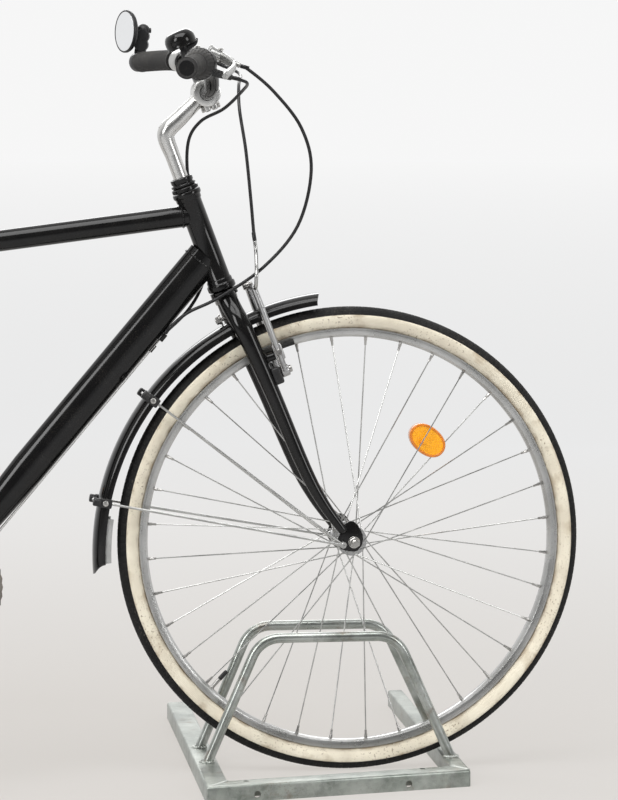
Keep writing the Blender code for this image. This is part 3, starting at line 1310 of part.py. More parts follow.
def main():
    clear_scene()
    add_empty("bicycle", Vector((0, 0, 0)))
    add_empty("front_wheel_centre", FRONT_HUB, "bicycle")
    add_empty("steered_frame", LOWER_CUP, "bicycle")
    add_empty("rear_wheel_centre", REAR_HUB, "steered_frame")
    add_empty("crank_centre", BB, "steered_frame")
    add_empty("stand_pivot", stand_pivot(), "steered_frame")
    add_empty("pedal_right_pin", round_wheel(BB, CRANK_LENGTH, -90.0), "crank_centre")
    add_empty("pedal_left_pin", round_wheel(BB, CRANK_LENGTH, 90.0), "crank_centre")
    build_rack()
    build_fork()
    build_headset()
    build_stem()
    build_handlebar()
    build_shifter()
    build_lever(1)
    build_lever(-1)
    build_bell()
    build_mirror()
    build_front_brake()
    build_front_fender()
    build_axle("front_axle", FRONT_HUB, FRONT_HUB_W, "bicycle", 0.0400, 0.0400)
    build_wheel("front", FRONT_HUB, "front_wheel_centre", FRONT_FLANGE_Y, FRONT_FLANGE_Y, 0.0390, 0.0390)
    build_reflector()
    build_frame()
    build_axle("rear_axle", REAR_HUB, REAR_HUB_W, "steered_frame", 0.0420, 0.0640)
    build_wheel("rear", REAR_HUB, "rear_wheel_centre", REAR_FLANGE_RIGHT_Y, REAR_FLANGE_LEFT_Y,
                0.0240, 0.0410)
    build_freewheel()
    build_drive()
    build_chain()
    build_derailleur()
    build_rear_guard()
    build_carrier()
    build_rear_brake()
    build_kickstand()
    build_cables()


main()
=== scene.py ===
import math

import bmesh
import bpy
from mathutils import Matrix, Vector


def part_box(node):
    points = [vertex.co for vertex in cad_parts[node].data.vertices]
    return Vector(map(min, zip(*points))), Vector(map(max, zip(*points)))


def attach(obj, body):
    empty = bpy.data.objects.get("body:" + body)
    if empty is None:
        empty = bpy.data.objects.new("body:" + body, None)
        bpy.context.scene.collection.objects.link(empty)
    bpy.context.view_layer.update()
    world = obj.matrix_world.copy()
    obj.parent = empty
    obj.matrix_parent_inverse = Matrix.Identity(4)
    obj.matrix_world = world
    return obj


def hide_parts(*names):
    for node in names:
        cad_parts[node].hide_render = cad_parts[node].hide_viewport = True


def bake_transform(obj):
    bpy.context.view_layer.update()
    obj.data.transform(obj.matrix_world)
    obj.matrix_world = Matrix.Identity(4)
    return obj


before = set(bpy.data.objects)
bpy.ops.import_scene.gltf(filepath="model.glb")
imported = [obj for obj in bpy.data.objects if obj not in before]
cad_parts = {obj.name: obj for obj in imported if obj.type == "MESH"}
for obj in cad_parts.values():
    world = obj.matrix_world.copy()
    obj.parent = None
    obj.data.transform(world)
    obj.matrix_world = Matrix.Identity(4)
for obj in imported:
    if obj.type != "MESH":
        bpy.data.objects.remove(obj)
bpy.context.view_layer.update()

# Every piece is built in the bicycle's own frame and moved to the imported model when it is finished:
# x is forward from the front hub, y is to the rider's left, z is up from the floor.
tyreLow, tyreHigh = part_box("front_tyre")
origin = Vector(((tyreLow.x + tyreHigh.x) / 2, (tyreLow.y + tyreHigh.y) / 2, 0.0))
yAxis = Vector((0.0, 1.0, 0.0))

bike = {
    "wheelRadius": 0.348, "wheelbase": 1.0697, "bracketBehind": 0.6235, "bracketHeight": 0.290,
    "headAngle": 69.5, "rake": 0.046, "forkLength": 0.420,
    "clampX": -0.2142, "clampZ": 1.0147, "barRadius": 0.0111, "barHalf": 0.290,
    "guardRadius": 0.372,
}
sideWord = {-1: "right", 1: "left"}
frontHub = Vector((0.0, 0.0, bike["wheelRadius"]))
rearHub = Vector((-bike["wheelbase"], 0.0, bike["wheelRadius"]))
bracket = Vector((-bike["bracketBehind"], 0.0, bike["bracketHeight"]))
headTurn = math.radians(bike["headAngle"])
steerAxis = Vector((-math.cos(headTurn), 0.0, math.sin(headTurn)))
steerAhead = Vector((steerAxis.z, 0.0, -steerAxis.x))
lowerCup = frontHub - steerAhead * bike["rake"] + steerAxis * bike["forkLength"]


def onAxis(along, ahead=0.0, left=0.0):
    return lowerCup + steerAxis * along + steerAhead * ahead + yAxis * left


def roundWheel(centre, radius, angle, y=0.0):
    turn = math.radians(angle)
    return Vector((centre.x + radius * math.cos(turn), y, centre.z + radius * math.sin(turn)))


def smoothPath(anchors, steps):
    pts = [Vector(a) for a in anchors]
    pts = [pts[0] * 2 - pts[1]] + pts + [pts[-1] * 2 - pts[-2]]
    path = []
    for i in range(1, len(pts) - 2):
        a, b, c, d = pts[i - 1:i + 3]
        for k in range(steps):
            t = k / steps
            path.append(((b * 2) + (c - a) * t + (a * 2 - b * 5 + c * 4 - d) * t * t
                         + (b * 3 - a - c * 3 + d) * t * t * t) / 2)
    path.append(pts[-2].copy())
    return path


def mirrored(points):
    return [Vector((p[0], -p[1], p[2])) for p in points]


def frameOn(path, i, side, closed):
    count = len(path)
    if closed:
        ahead = path[(i + 1) % count] - path[i - 1]
    else:
        ahead = path[min(i + 1, count - 1)] - path[max(i - 1, 0)]
    ahead.normalize()
    return ahead, (side - ahead * side.dot(ahead)).normalized()


def carried(path, guide=None, closed=False):
    # place, direction and side at each point of a path, with as little twist as possible
    first = path[1] - path[0]
    if not guide:
        guide = (0, 0, 1) if abs(first.normalized().z) < 0.9 else (1, 0, 0)
    side = first.cross(Vector(guide)).normalized()
    frames = []
    for i, point in enumerate(path):
        ahead, side = frameOn(path, i, side, closed)
        frames.append((point, ahead, side))
    return frames


def placed(x, y, z, at):
    turn = Matrix((x, y, z)).transposed().to_4x4()
    turn.translation = at
    return turn


def carryRing(bm, stations, sides):
    # a ring is extruded through all the stations; gives the edges it starts and ends on
    matrices = []
    for point, ahead, across, w, h in stations:
        matrices.append(placed(across * w, ahead.cross(across) * h, ahead * w, point))
    ring = bmesh.ops.create_circle(bm, cap_ends=False, radius=1.0, segments=sides,
                                   matrix=matrices[0])["verts"]
    start = edges = list({e for v in ring for e in v.link_edges})
    for before, now in zip(matrices, matrices[1:]):
        grown = bmesh.ops.extrude_edge_only(bm, edges=edges)["geom"]
        ring = vertsOf(grown)
        fresh = set(ring)
        edges = [g for g in grown if isinstance(g, bmesh.types.BMEdge) and fresh.issuperset(g.verts)]
        bmesh.ops.transform(bm, matrix=now @ before.inverted(), verts=ring)
    return start, edges


def vertsOf(geom):
    return [g for g in geom if isinstance(g, bmesh.types.BMVert)]


def sweep(bm, path, size, sides=16, guide=None, closed=False, rounded=0.0):
    # size is a radius, or gives two half widths for 0..1
    frames = carried([Vector(p) for p in path], guide, closed)
    stations = []
    for i, frameHere in enumerate(frames):
        pair = size(i / (len(frames) - 1)) if callable(size) else (size, size)
        stations.append((*frameHere, *pair))
    if rounded and not closed:
        stations = roundEnds(stations, rounded)
    start, end = carryRing(bm, stations, sides)
    if closed:
        bmesh.ops.bridge_loops(bm, edges=start + end)
    else:
        bmesh.ops.contextual_create(bm, geom=start)
        bmesh.ops.contextual_create(bm, geom=end)


def roundEnds(stations, radius):
    # a quarter round at both ends, inside the length of the path
    def dome(station, way):
        point, ahead, across, w, h = station
        steps = []
        for k in range(4):
            angle = math.pi / 2 * k / 4
            less = radius * (1 - math.sin(angle))
            steps.append((point + ahead * way * radius * (1 - math.cos(angle)), ahead, across,
                          max(w - less, w * 0.05), max(h - less, h * 0.05)))
        return steps

    head, tail = dome(stations[0], 1.0), dome(stations[-1], -1.0)
    first, last = stations[0], stations[-1]
    start = (first[0] + first[1] * radius, *first[1:])
    stop = (last[0] - last[1] * radius, *last[1:])
    return head + [start] + stations[1:-1] + [stop] + tail[::-1]


def rod(bm, start, end, radius, sides=16, rounded=0.0, taper=1.0):
    start, end = Vector(start), Vector(end)
    path = [start, start.lerp(end, 0.5), end]
    sweep(bm, path, lambda t: (radius * (1 + (taper - 1) * t),) * 2, sides, rounded=rounded)


def revolve(bm, profile, centre, axis=yAxis, steps=64, closed=False, angle=360.0, guide=None):
    # profile is (radius, height along the axis); an open one starts and ends on the axis
    axis = Vector(axis).normalized()
    side = Vector(guide) if guide else axis.orthogonal()
    side = (side - axis * side.dot(axis)).normalized()
    verts = [bm.verts.new(Vector(centre) + side * r + axis * h) for r, h in profile]
    edges = [bm.edges.new(pair) for pair in zip(verts, verts[1:])]
    if closed:
        edges.append(bm.edges.new((verts[-1], verts[0])))
    full = abs(angle - 360.0) < 1e-6
    bmesh.ops.spin(bm, geom=verts + edges, cent=centre, axis=axis, dvec=(0, 0, 0),
                   angle=math.radians(angle), steps=steps, use_merge=full, use_duplicate=False)
    return side


def inset(bm, faces, thickness, depth):
    bmesh.ops.inset_region(bm, faces=faces, thickness=thickness, depth=depth, use_even_offset=True)


def bevelled(bm, edges, width, segments):
    return bmesh.ops.bevel(bm, geom=edges, offset=width, offset_type="OFFSET", affect="EDGES",
                           segments=segments, profile=0.5, material=-1, clamp_overlap=True)["verts"]


def plate(bm, outline, place, u, v, low, high, bevel=0.0006, segments=2):
    # a flat outline of (u, v) points, extruded from low to high along u x v and bevelled
    u, v = Vector(u).normalized(), Vector(v).normalized()
    w = u.cross(v)
    verts = [bm.verts.new(Vector(place) + u * a + v * b + w * low) for a, b in outline]
    face = bm.faces.new(verts)
    grown = bmesh.ops.extrude_face_region(bm, geom=[face])["geom"]
    top = vertsOf(grown)
    bmesh.ops.translate(bm, vec=w * (high - low), verts=top)
    made = set(verts) | set(top)
    if bevel:
        edges = [e for e in bm.edges if e.verts[0] in made and e.verts[1] in made
                 and len(e.link_faces) == 2 and e.calc_face_angle(0.0) > 0.5]
        bevelled(bm, edges, bevel, segments)


def roundedBox(bm, low, high, bevel=0.002, segments=3, matrix=None):
    low, high = Vector(low), Vector(high)
    size = high - low
    place = Matrix.Translation((low + high) / 2) @ Matrix.Diagonal((*size, 1.0))
    made = bmesh.ops.create_cube(bm, size=1.0, matrix=place)["verts"]
    if bevel:
        edges = list({e for v in made for e in v.link_edges})
        made = bevelled(bm, edges, bevel, segments)
    if matrix:
        bmesh.ops.transform(bm, matrix=matrix, verts=made)


def hexBolt(bm, place, axis, across=0.010, height=0.006, socket=0.0):
    # a hexagonal head or nut with a domed edge, and a sunk hexagon where it takes a key
    axis = Vector(axis).normalized()
    turn = axis.to_track_quat("Z", "Y").to_matrix().to_4x4()
    turn.translation = Vector(place)
    sides = 16 if socket else 6
    radius = across / 2 if socket else across / math.sqrt(3)
    ring = bmesh.ops.create_circle(bm, cap_ends=True, radius=radius, segments=sides, matrix=turn)["verts"]
    face = next(f for f in ring[0].link_faces if len(f.verts) == sides)
    bmesh.ops.reverse_faces(bm, faces=[face])
    if face.normal.dot(axis) < 0:
        bmesh.ops.reverse_faces(bm, faces=[face])
    grown = bmesh.ops.extrude_discrete_faces(bm, faces=[face])["faces"][0]
    bmesh.ops.translate(bm, vec=axis * (height * 0.85), verts=grown.verts)
    bridge = [e for v in ring for e in v.link_edges if e.is_boundary]
    bmesh.ops.bridge_loops(bm, edges=list(set(bridge)) + list(grown.edges))
    inset(bm, [grown], across * 0.06, height * 0.15)
    if socket:
        inset(bm, [grown], (across - socket) / 2, 0.0)
        inset(bm, [grown], 0.0001, -height * 0.6)


def bead(bm, centre, axis, radius, thick, lumps=18, wide=1.0, guide=None):
    # a weld seam: a lumpy ring round a joint
    axis = Vector(axis).normalized()
    side = Vector(guide) if guide else axis.orthogonal()
    side = (side - axis * side.dot(axis)).normalized()
    over = axis.cross(side)
    path = []
    for k in range(lumps * 3):
        angle = 2 * math.pi * k / (lumps * 3)
        grow = radius + thick * 0.12 * math.sin(angle * lumps)
        path.append(Vector(centre) + side * grow * wide * math.cos(angle) + over * grow * math.sin(angle))
    sweep(bm, path, lambda t: (thick * (1 + 0.16 * math.sin(t * 2 * math.pi * lumps)),) * 2, 8, closed=True)


def faceOut(bm):
    bmesh.ops.recalc_face_normals(bm, faces=bm.faces)
    if bm.calc_volume(signed=True) < 0:
        bmesh.ops.reverse_faces(bm, faces=bm.faces)


def merge(bm):
    bmesh.ops.remove_doubles(bm, verts=bm.verts, dist=1e-6)


def meshOf(name, bm):
    mesh = bpy.data.meshes.new(name)
    bm.to_mesh(mesh)
    bm.free()
    return mesh


def addObject(name, data):
    made = bpy.data.objects.new(name, data)
    bpy.context.scene.collection.objects.link(made)
    return made


def finishPiece(name, bm, skin, body, covers=(), sharp=38.0, across=None):
    merge(bm)
    faceOut(bm)
    bmesh.ops.translate(bm, vec=origin, verts=bm.verts)
    mesh = meshOf(name, bm)
    for one in skin if isinstance(skin, (list, tuple)) else [skin]:
        mesh.materials.append(skins[one])
    mesh.shade_smooth()
    mesh.set_sharp_from_angle(angle=math.radians(sharp))
    made = addObject(name, mesh)
    if across:
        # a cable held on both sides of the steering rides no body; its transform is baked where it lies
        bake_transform(made)
    else:
        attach(made, body)
    if covers:
        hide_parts(*([covers] if isinstance(covers, str) else covers))
    return made


view = {"place": (-0.53055, -7.1611, 1.1694), "yaw": 8.337, "pitch": 4.953, "lens": 277.2}

yaw, pitch = math.radians(view["yaw"]), math.radians(view["pitch"])
ahead = Vector((math.sin(yaw) * math.cos(pitch), math.cos(yaw) * math.cos(pitch), -math.sin(pitch)))
cameraData = bpy.data.cameras.new("photo_view")
cameraData.sensor_fit = "HORIZONTAL"
cameraData.sensor_width = 36.0
cameraData.lens = view["lens"]
cameraData.clip_end = 60.0
camera = addObject("photo_view", cameraData)
camera.location = view["place"]
camera.rotation_euler = ahead.to_track_quat("-Z", "Y").to_euler()
bpy.context.scene.camera = camera
bpy.context.scene.view_settings.view_transform = "Standard"
print("camera placed")


def feed(tree, node, values):
    # values are constants, or sockets to link
    for key, value in values.items():
        if isinstance(value, bpy.types.NodeSocket):
            tree.links.new(value, node.inputs[key])
        else:
            node.inputs[key].default_value = value


def addNode(tree, kind, values, **settings):
    made = tree.nodes.new(kind)
    for key, value in settings.items():
        setattr(made, key, value)
    feed(tree, made, values)
    return made


def doMath(tree, operation, a, b=0.0, clamp=False):
    return addNode(tree, "ShaderNodeMath", {0: a, 1: b}, operation=operation, use_clamp=clamp).outputs[0]


def times(tree, a, b, clamp=False):
    return doMath(tree, "MULTIPLY", a, b, clamp)


def noise(tree, place, scale, detail, rough=0.5):
    return addNode(tree, "ShaderNodeTexNoise", {"Vector": place, "Scale": scale, "Detail": detail,
                                                "Roughness": rough}).outputs["Fac"]


def ramp(tree, value, low, high, out0=0.0, out1=1.0):
    return addNode(tree, "ShaderNodeMapRange", {"Value": value, "From Min": low, "From Max": high,
                                                "To Min": out0, "To Max": out1}).outputs[0]


def mixColour(tree, mask, a, b):
    def four(c):
        return c if isinstance(c, bpy.types.NodeSocket) else (*c, 1.0)
    return addNode(tree, "ShaderNodeMix", {0: mask, 6: four(a), 7: four(b)}, data_type="RGBA").outputs[2]


# near is the painted shade of the floor round the bicycle; it fades out between paleFrom and paleTo
room = {"backdrop": 0.925, "ambient": 0.47, "floor": 0.62, "lift": 0.80, "mirrorDim": 0.20, "floorHalf": 60.0,
        "near": (0.690, 0.655, 0.615), "sky": (0.96, 0.98, 1.0, 1.0), "paleFrom": 0.6, "paleTo": 5.0,
        "liftTo": 25.0}


def buildRoom():
    # a wide pale floor; what the camera sees is lifted towards white
    bm = bmesh.new()
    bmesh.ops.create_grid(bm, x_segments=8, y_segments=8, size=room["floorHalf"])
    mesh = meshOf("floor", bm)
    skin = bpy.data.materials.new("paleFloor")
    skin.use_nodes = True
    tree = skin.node_tree
    shader = tree.nodes["Principled BSDF"]
    shader.inputs["Base Color"].default_value = (room["floor"],) * 3 + (1.0,)
    shader.inputs["Roughness"].default_value = 0.9
    # painted shade: the floor is painted a darker, warmer grey near the bicycle and pales towards the backdrop
    place = tree.nodes.new("ShaderNodeTexCoord").outputs["Object"]
    depth = addNode(tree, "ShaderNodeSeparateXYZ", {0: place})
    away = addNode(tree, "ShaderNodeVectorMath", {0: place}, operation="LENGTH").outputs["Value"]
    shade = mixColour(tree, ramp(tree, away, room["paleFrom"], room["paleTo"]), room["near"],
                      (room["backdrop"],) * 3)
    glow = addNode(tree, "ShaderNodeEmission", {"Color": shade, "Strength": 1.0})
    rays = tree.nodes.new("ShaderNodeLightPath")
    seen = doMath(tree, "MAXIMUM", rays.outputs["Is Camera Ray"], rays.outputs["Is Transmission Ray"])
    seen = doMath(tree, "MAXIMUM", seen, times(tree, rays.outputs["Is Glossy Ray"],
                                                ramp(tree, depth.outputs["Y"], -2.0, 2.0, 0.25, 1.0)))
    lift = ramp(tree, away, room["paleTo"], room["liftTo"], room["lift"], 1.0)
    mix = addNode(tree, "ShaderNodeMixShader", {0: times(tree, seen, lift),
                                                1: shader.outputs[0], 2: glow.outputs[0]})
    tree.links.new(mix.outputs[0], tree.nodes["Material Output"].inputs["Surface"])
    mesh.materials.append(skin)
    addObject("floor", mesh)

    world = bpy.data.worlds.new("paleRoom")
    world.use_nodes = True
    bpy.context.scene.world = world
    tree = world.node_tree
    soft = tree.nodes["Background"]
    soft.inputs["Color"].default_value = room["sky"]
    soft.inputs["Strength"].default_value = room["ambient"]
    # what metal mirrors is bright behind and above the bicycle, and dim in the room in front
    rays = tree.nodes.new("ShaderNodeLightPath")
    facing = addNode(tree, "ShaderNodeSeparateXYZ",
                     {0: tree.nodes.new("ShaderNodeTexCoord").outputs["Generated"]})
    behind = ramp(tree, facing.outputs["Y"], -0.45, 0.30, room["mirrorDim"], 1.0)
    above = ramp(tree, facing.outputs["Z"], 0.55, 0.95, 0.0, 0.55)
    level = doMath(tree, "MAXIMUM", doMath(tree, "MAXIMUM", behind, above), rays.outputs["Is Camera Ray"])
    bright = addNode(tree, "ShaderNodeBackground", {"Color": (room["backdrop"],) * 3 + (1.0,),
                                                    "Strength": level})
    seen = doMath(tree, "MAXIMUM", rays.outputs["Is Camera Ray"], rays.outputs["Is Glossy Ray"])
    seen = doMath(tree, "MAXIMUM", seen, rays.outputs["Is Transmission Ray"])
    mix = addNode(tree, "ShaderNodeMixShader", {0: seen, 1: soft.outputs[0], 2: bright.outputs[0]})
    tree.links.new(mix.outputs[0], tree.nodes["World Output"].inputs["Surface"])


# place, aim, size and power
lamps = {
    "overhead": ((-0.4, -1.2, 3.6), (0.0, 0.0, 0.4), (3.4, 2.2), 105.0),
    "frontLeft": ((-3.6, -3.6, 2.6), (0.1, 0.0, 0.5), (1.6, 2.6), 95.0),
    "frontRight": ((3.4, -3.2, 2.0), (0.2, 0.0, 0.5), (1.2, 2.4), 45.0),
    "behind": ((0.6, 3.6, 2.6), (0.0, 0.0, 0.5), (3.0, 1.4), 55.0),
}


def buildLamps():
    for name, (place, aim, size, power) in lamps.items():
        data = bpy.data.lights.new(name, "AREA")
        data.shape = "RECTANGLE"
        data.size, data.size_y = size
        data.energy = power
        lamp = addObject(name, data)
        lamp.location = place
        lamp.rotation_euler = (Vector(aim) - Vector(place)).to_track_quat("-Z", "Y").to_euler()


buildRoom()
buildLamps()
print("floor and lamps done")


def newGroup(name, inputs, outputs):
    tree = bpy.data.node_groups.new(name, "ShaderNodeTree")
    for label, kind, value in inputs:
        made = tree.interface.new_socket(name=label, in_out="INPUT", socket_type=kind)
        if value is not None:
            made.default_value = value
    for label in outputs:
        tree.interface.new_socket(name=label, in_out="OUTPUT", socket_type="NodeSocketFloat")
    return tree, tree.nodes.new("NodeGroupInput").outputs, tree.nodes.new("NodeGroupOutput").inputs


def maskGroup(name, scale, amount):
    return newGroup(name, [("Vector", "NodeSocketVector", None), ("Scale", "NodeSocketFloat", scale),
                           ("Amount", "NodeSocketFloat", amount)], ["Mask"])


def buildGroups():
    # fine relief and broad change of tone
    tree, enter, leave = newGroup("fineGrain", [("Vector", "NodeSocketVector", None),
                                                ("Scale", "NodeSocketFloat", 300.0)], ["Height", "Tone"])
    fine = noise(tree, enter["Vector"], enter["Scale"], 3.0, 0.6)
    wide = noise(tree, enter["Vector"], times(tree, enter["Scale"], 0.05), 4.0)
    tree.links.new(fine, leave["Height"])
    tree.links.new(wide, leave["Tone"])
    # dust that settles on what faces up
    tree, enter, leave = maskGroup("dustFilm", 30.0, 0.3)
    cloud = noise(tree, enter["Vector"], enter["Scale"], 6.0, 0.7)
    facing = addNode(tree, "ShaderNodeSeparateXYZ",
                     {0: tree.nodes.new("ShaderNodeNewGeometry").outputs["Normal"]})
    lying = ramp(tree, facing.outputs["Z"], -0.2, 1.0, 0.25, 1.0)
    patch = ramp(tree, cloud, 0.42, 0.72)
    tree.links.new(times(tree, times(tree, patch, lying), enter["Amount"], True), leave["Mask"])
    # worn edges
    tree, enter, leave = maskGroup("edgeWear", 60.0, 0.5)
    edge = tree.nodes.new("ShaderNodeNewGeometry").outputs["Pointiness"]
    cloud = noise(tree, enter["Vector"], enter["Scale"], 5.0)
    worn = times(tree, ramp(tree, edge, 0.52, 0.60), ramp(tree, cloud, 0.38, 0.62))
    tree.links.new(times(tree, worn, enter["Amount"], True), leave["Mask"])
    # specks of dirt
    tree, enter, leave = maskGroup("dirtSpecks", 500.0, 0.5)
    speck = noise(tree, enter["Vector"], enter["Scale"], 2.0)
    spread = noise(tree, enter["Vector"], times(tree, enter["Scale"], 0.04), 4.0)
    dots = times(tree, ramp(tree, speck, 0.60, 0.68), ramp(tree, spread, 0.40, 0.60))
    tree.links.new(times(tree, dots, enter["Amount"], True), leave["Mask"])


def useGroup(tree, name, values):
    made = tree.nodes.new("ShaderNodeGroup")
    made.node_tree = bpy.data.node_groups[name]
    feed(tree, made, values)
    return made.outputs


skins, slots = {}, {}


def makeSkin(name, slot, colour, dark, rough, metal=0.0, grain=400.0, bump=0.02, dust=0.15, specks=0.0,
             wear=0.0, worn=(0.5, 0.5, 0.5), coat=0.0, relief=None, tint=None, speckScale=500.0,
             dirt=(0.20, 0.17, 0.13), gloss=0.5):
    # relief and tint may add a height, and a mask with its colour, of this finish's own
    skin = bpy.data.materials.new(name)
    skin.use_nodes = True
    tree = skin.node_tree
    shader = tree.nodes["Principled BSDF"]
    place = tree.nodes.new("ShaderNodeTexCoord").outputs["Object"]
    grains = useGroup(tree, "fineGrain", {"Vector": place, "Scale": grain})
    tone = mixColour(tree, ramp(tree, grains["Tone"], 0.35, 0.65), dark, colour)
    roughness = ramp(tree, grains["Tone"], 0.3, 0.7, rough * 0.85, min(rough * 1.2, 1.0))
    if tint:
        for mask, other in tint(tree, place):
            tone = mixColour(tree, mask, tone, other)
    if wear:
        rubbed = useGroup(tree, "edgeWear", {"Vector": place, "Scale": 70.0, "Amount": wear})["Mask"]
        tone = mixColour(tree, rubbed, tone, worn)
    if specks:
        dots = useGroup(tree, "dirtSpecks", {"Vector": place, "Scale": speckScale, "Amount": specks})["Mask"]
        tone = mixColour(tree, dots, tone, dirt)
        roughness = doMath(tree, "MAXIMUM", roughness, times(tree, dots, 0.8))
    if dust:
        film = useGroup(tree, "dustFilm", {"Vector": place, "Scale": 26.0, "Amount": dust})["Mask"]
        tone = mixColour(tree, film, tone, (0.36, 0.34, 0.30))
        roughness = doMath(tree, "ADD", roughness, times(tree, film, 0.5), True)
    height = grains["Height"]
    if relief:
        height = doMath(tree, "ADD", times(tree, height, 0.3), relief(tree, place))
    rise = addNode(tree, "ShaderNodeBump", {"Height": height, "Strength": bump, "Distance": 0.001})
    tree.links.new(tone, shader.inputs["Base Color"])
    tree.links.new(roughness, shader.inputs["Roughness"])
    tree.links.new(rise.outputs["Normal"], shader.inputs["Normal"])
    shader.inputs["Metallic"].default_value = metal
    shader.inputs["Coat Weight"].default_value = coat
    shader.inputs["Specular IOR Level"].default_value = gloss
    shader.inputs["Coat Roughness"].default_value = 0.06
    skins[name], slots[name] = skin, slot


def aboutHub(tree, place, hub):
    # distance from a wheel's axis and the angle round it
    centred = addNode(tree, "ShaderNodeMapping", {"Vector": place, "Location": -(hub + origin)})
    parts = addNode(tree, "ShaderNodeSeparateXYZ", {0: centred.outputs[0]}).outputs
    flat = addNode(tree, "ShaderNodeCombineXYZ", {"X": parts["X"], "Z": parts["Z"]}).outputs[0]
    reach = addNode(tree, "ShaderNodeVectorMath", {0: flat}, operation="LENGTH").outputs["Value"]
    return reach, doMath(tree, "ARCTAN2", parts["Z"], parts["X"])


def machinedRings(hub, pitchOf):
    def relief(tree, place):
        reach, _ = aboutHub(tree, place, hub)
        return doMath(tree, "SINE", times(tree, reach, 2 * math.pi / pitchOf))
    return relief


def sidewallDirt(hub):
    # brown at the bead and along the tread's edge
    def tint(tree, place):
        reach, turn = aboutHub(tree, place, hub)
        cloud = noise(tree, place, 42.0, 6.0)
        low = times(tree, ramp(tree, reach, 0.3225, 0.3170), ramp(tree, cloud, 0.35, 0.6))
        high = times(tree, ramp(tree, reach, 0.3320, 0.3362), ramp(tree, cloud, 0.45, 0.7))
        stain = ramp(tree, cloud, 0.55, 0.72, 0.0, 0.45)
        return [(times(tree, low, 0.75), (0.20, 0.14, 0.085)),
                (times(tree, high, 0.7), (0.24, 0.17, 0.10)), (stain, (0.40, 0.30, 0.18))]
    return tint


def rackStains(tree, place):
    # spangle of the zinc, darker drips and a rusty tint
    cells = addNode(tree, "ShaderNodeTexVoronoi", {"Vector": place, "Scale": 170.0}).outputs["Color"]
    grey = addNode(tree, "ShaderNodeSeparateColor", {0: cells}).outputs[0]
    cloud = noise(tree, place, 14.0, 8.0, 0.7)
    rust = noise(tree, place, 23.0, 8.0, 0.75)
    return [(times(tree, grey, 0.35), (0.46, 0.49, 0.45)),
            (ramp(tree, cloud, 0.48, 0.68, 0.0, 0.75), (0.13, 0.145, 0.125)),
            (ramp(tree, rust, 0.56, 0.70, 0.0, 0.65), (0.17, 0.10, 0.055))]


def leatherCells(tree, place):
    cells = addNode(tree, "ShaderNodeTexVoronoi", {"Vector": place, "Scale": 620.0},
                    feature="DISTANCE_TO_EDGE")
    return ramp(tree, cells.outputs["Distance"], 0.0, 0.16)


def prisms(tree, place):
    waves = [addNode(tree, "ShaderNodeTexWave", {"Vector": place, "Scale": 62.0},
                     bands_direction=d).outputs["Fac"]
             for d in ("X", "Z")]
    return times(tree, waves[0], waves[1])


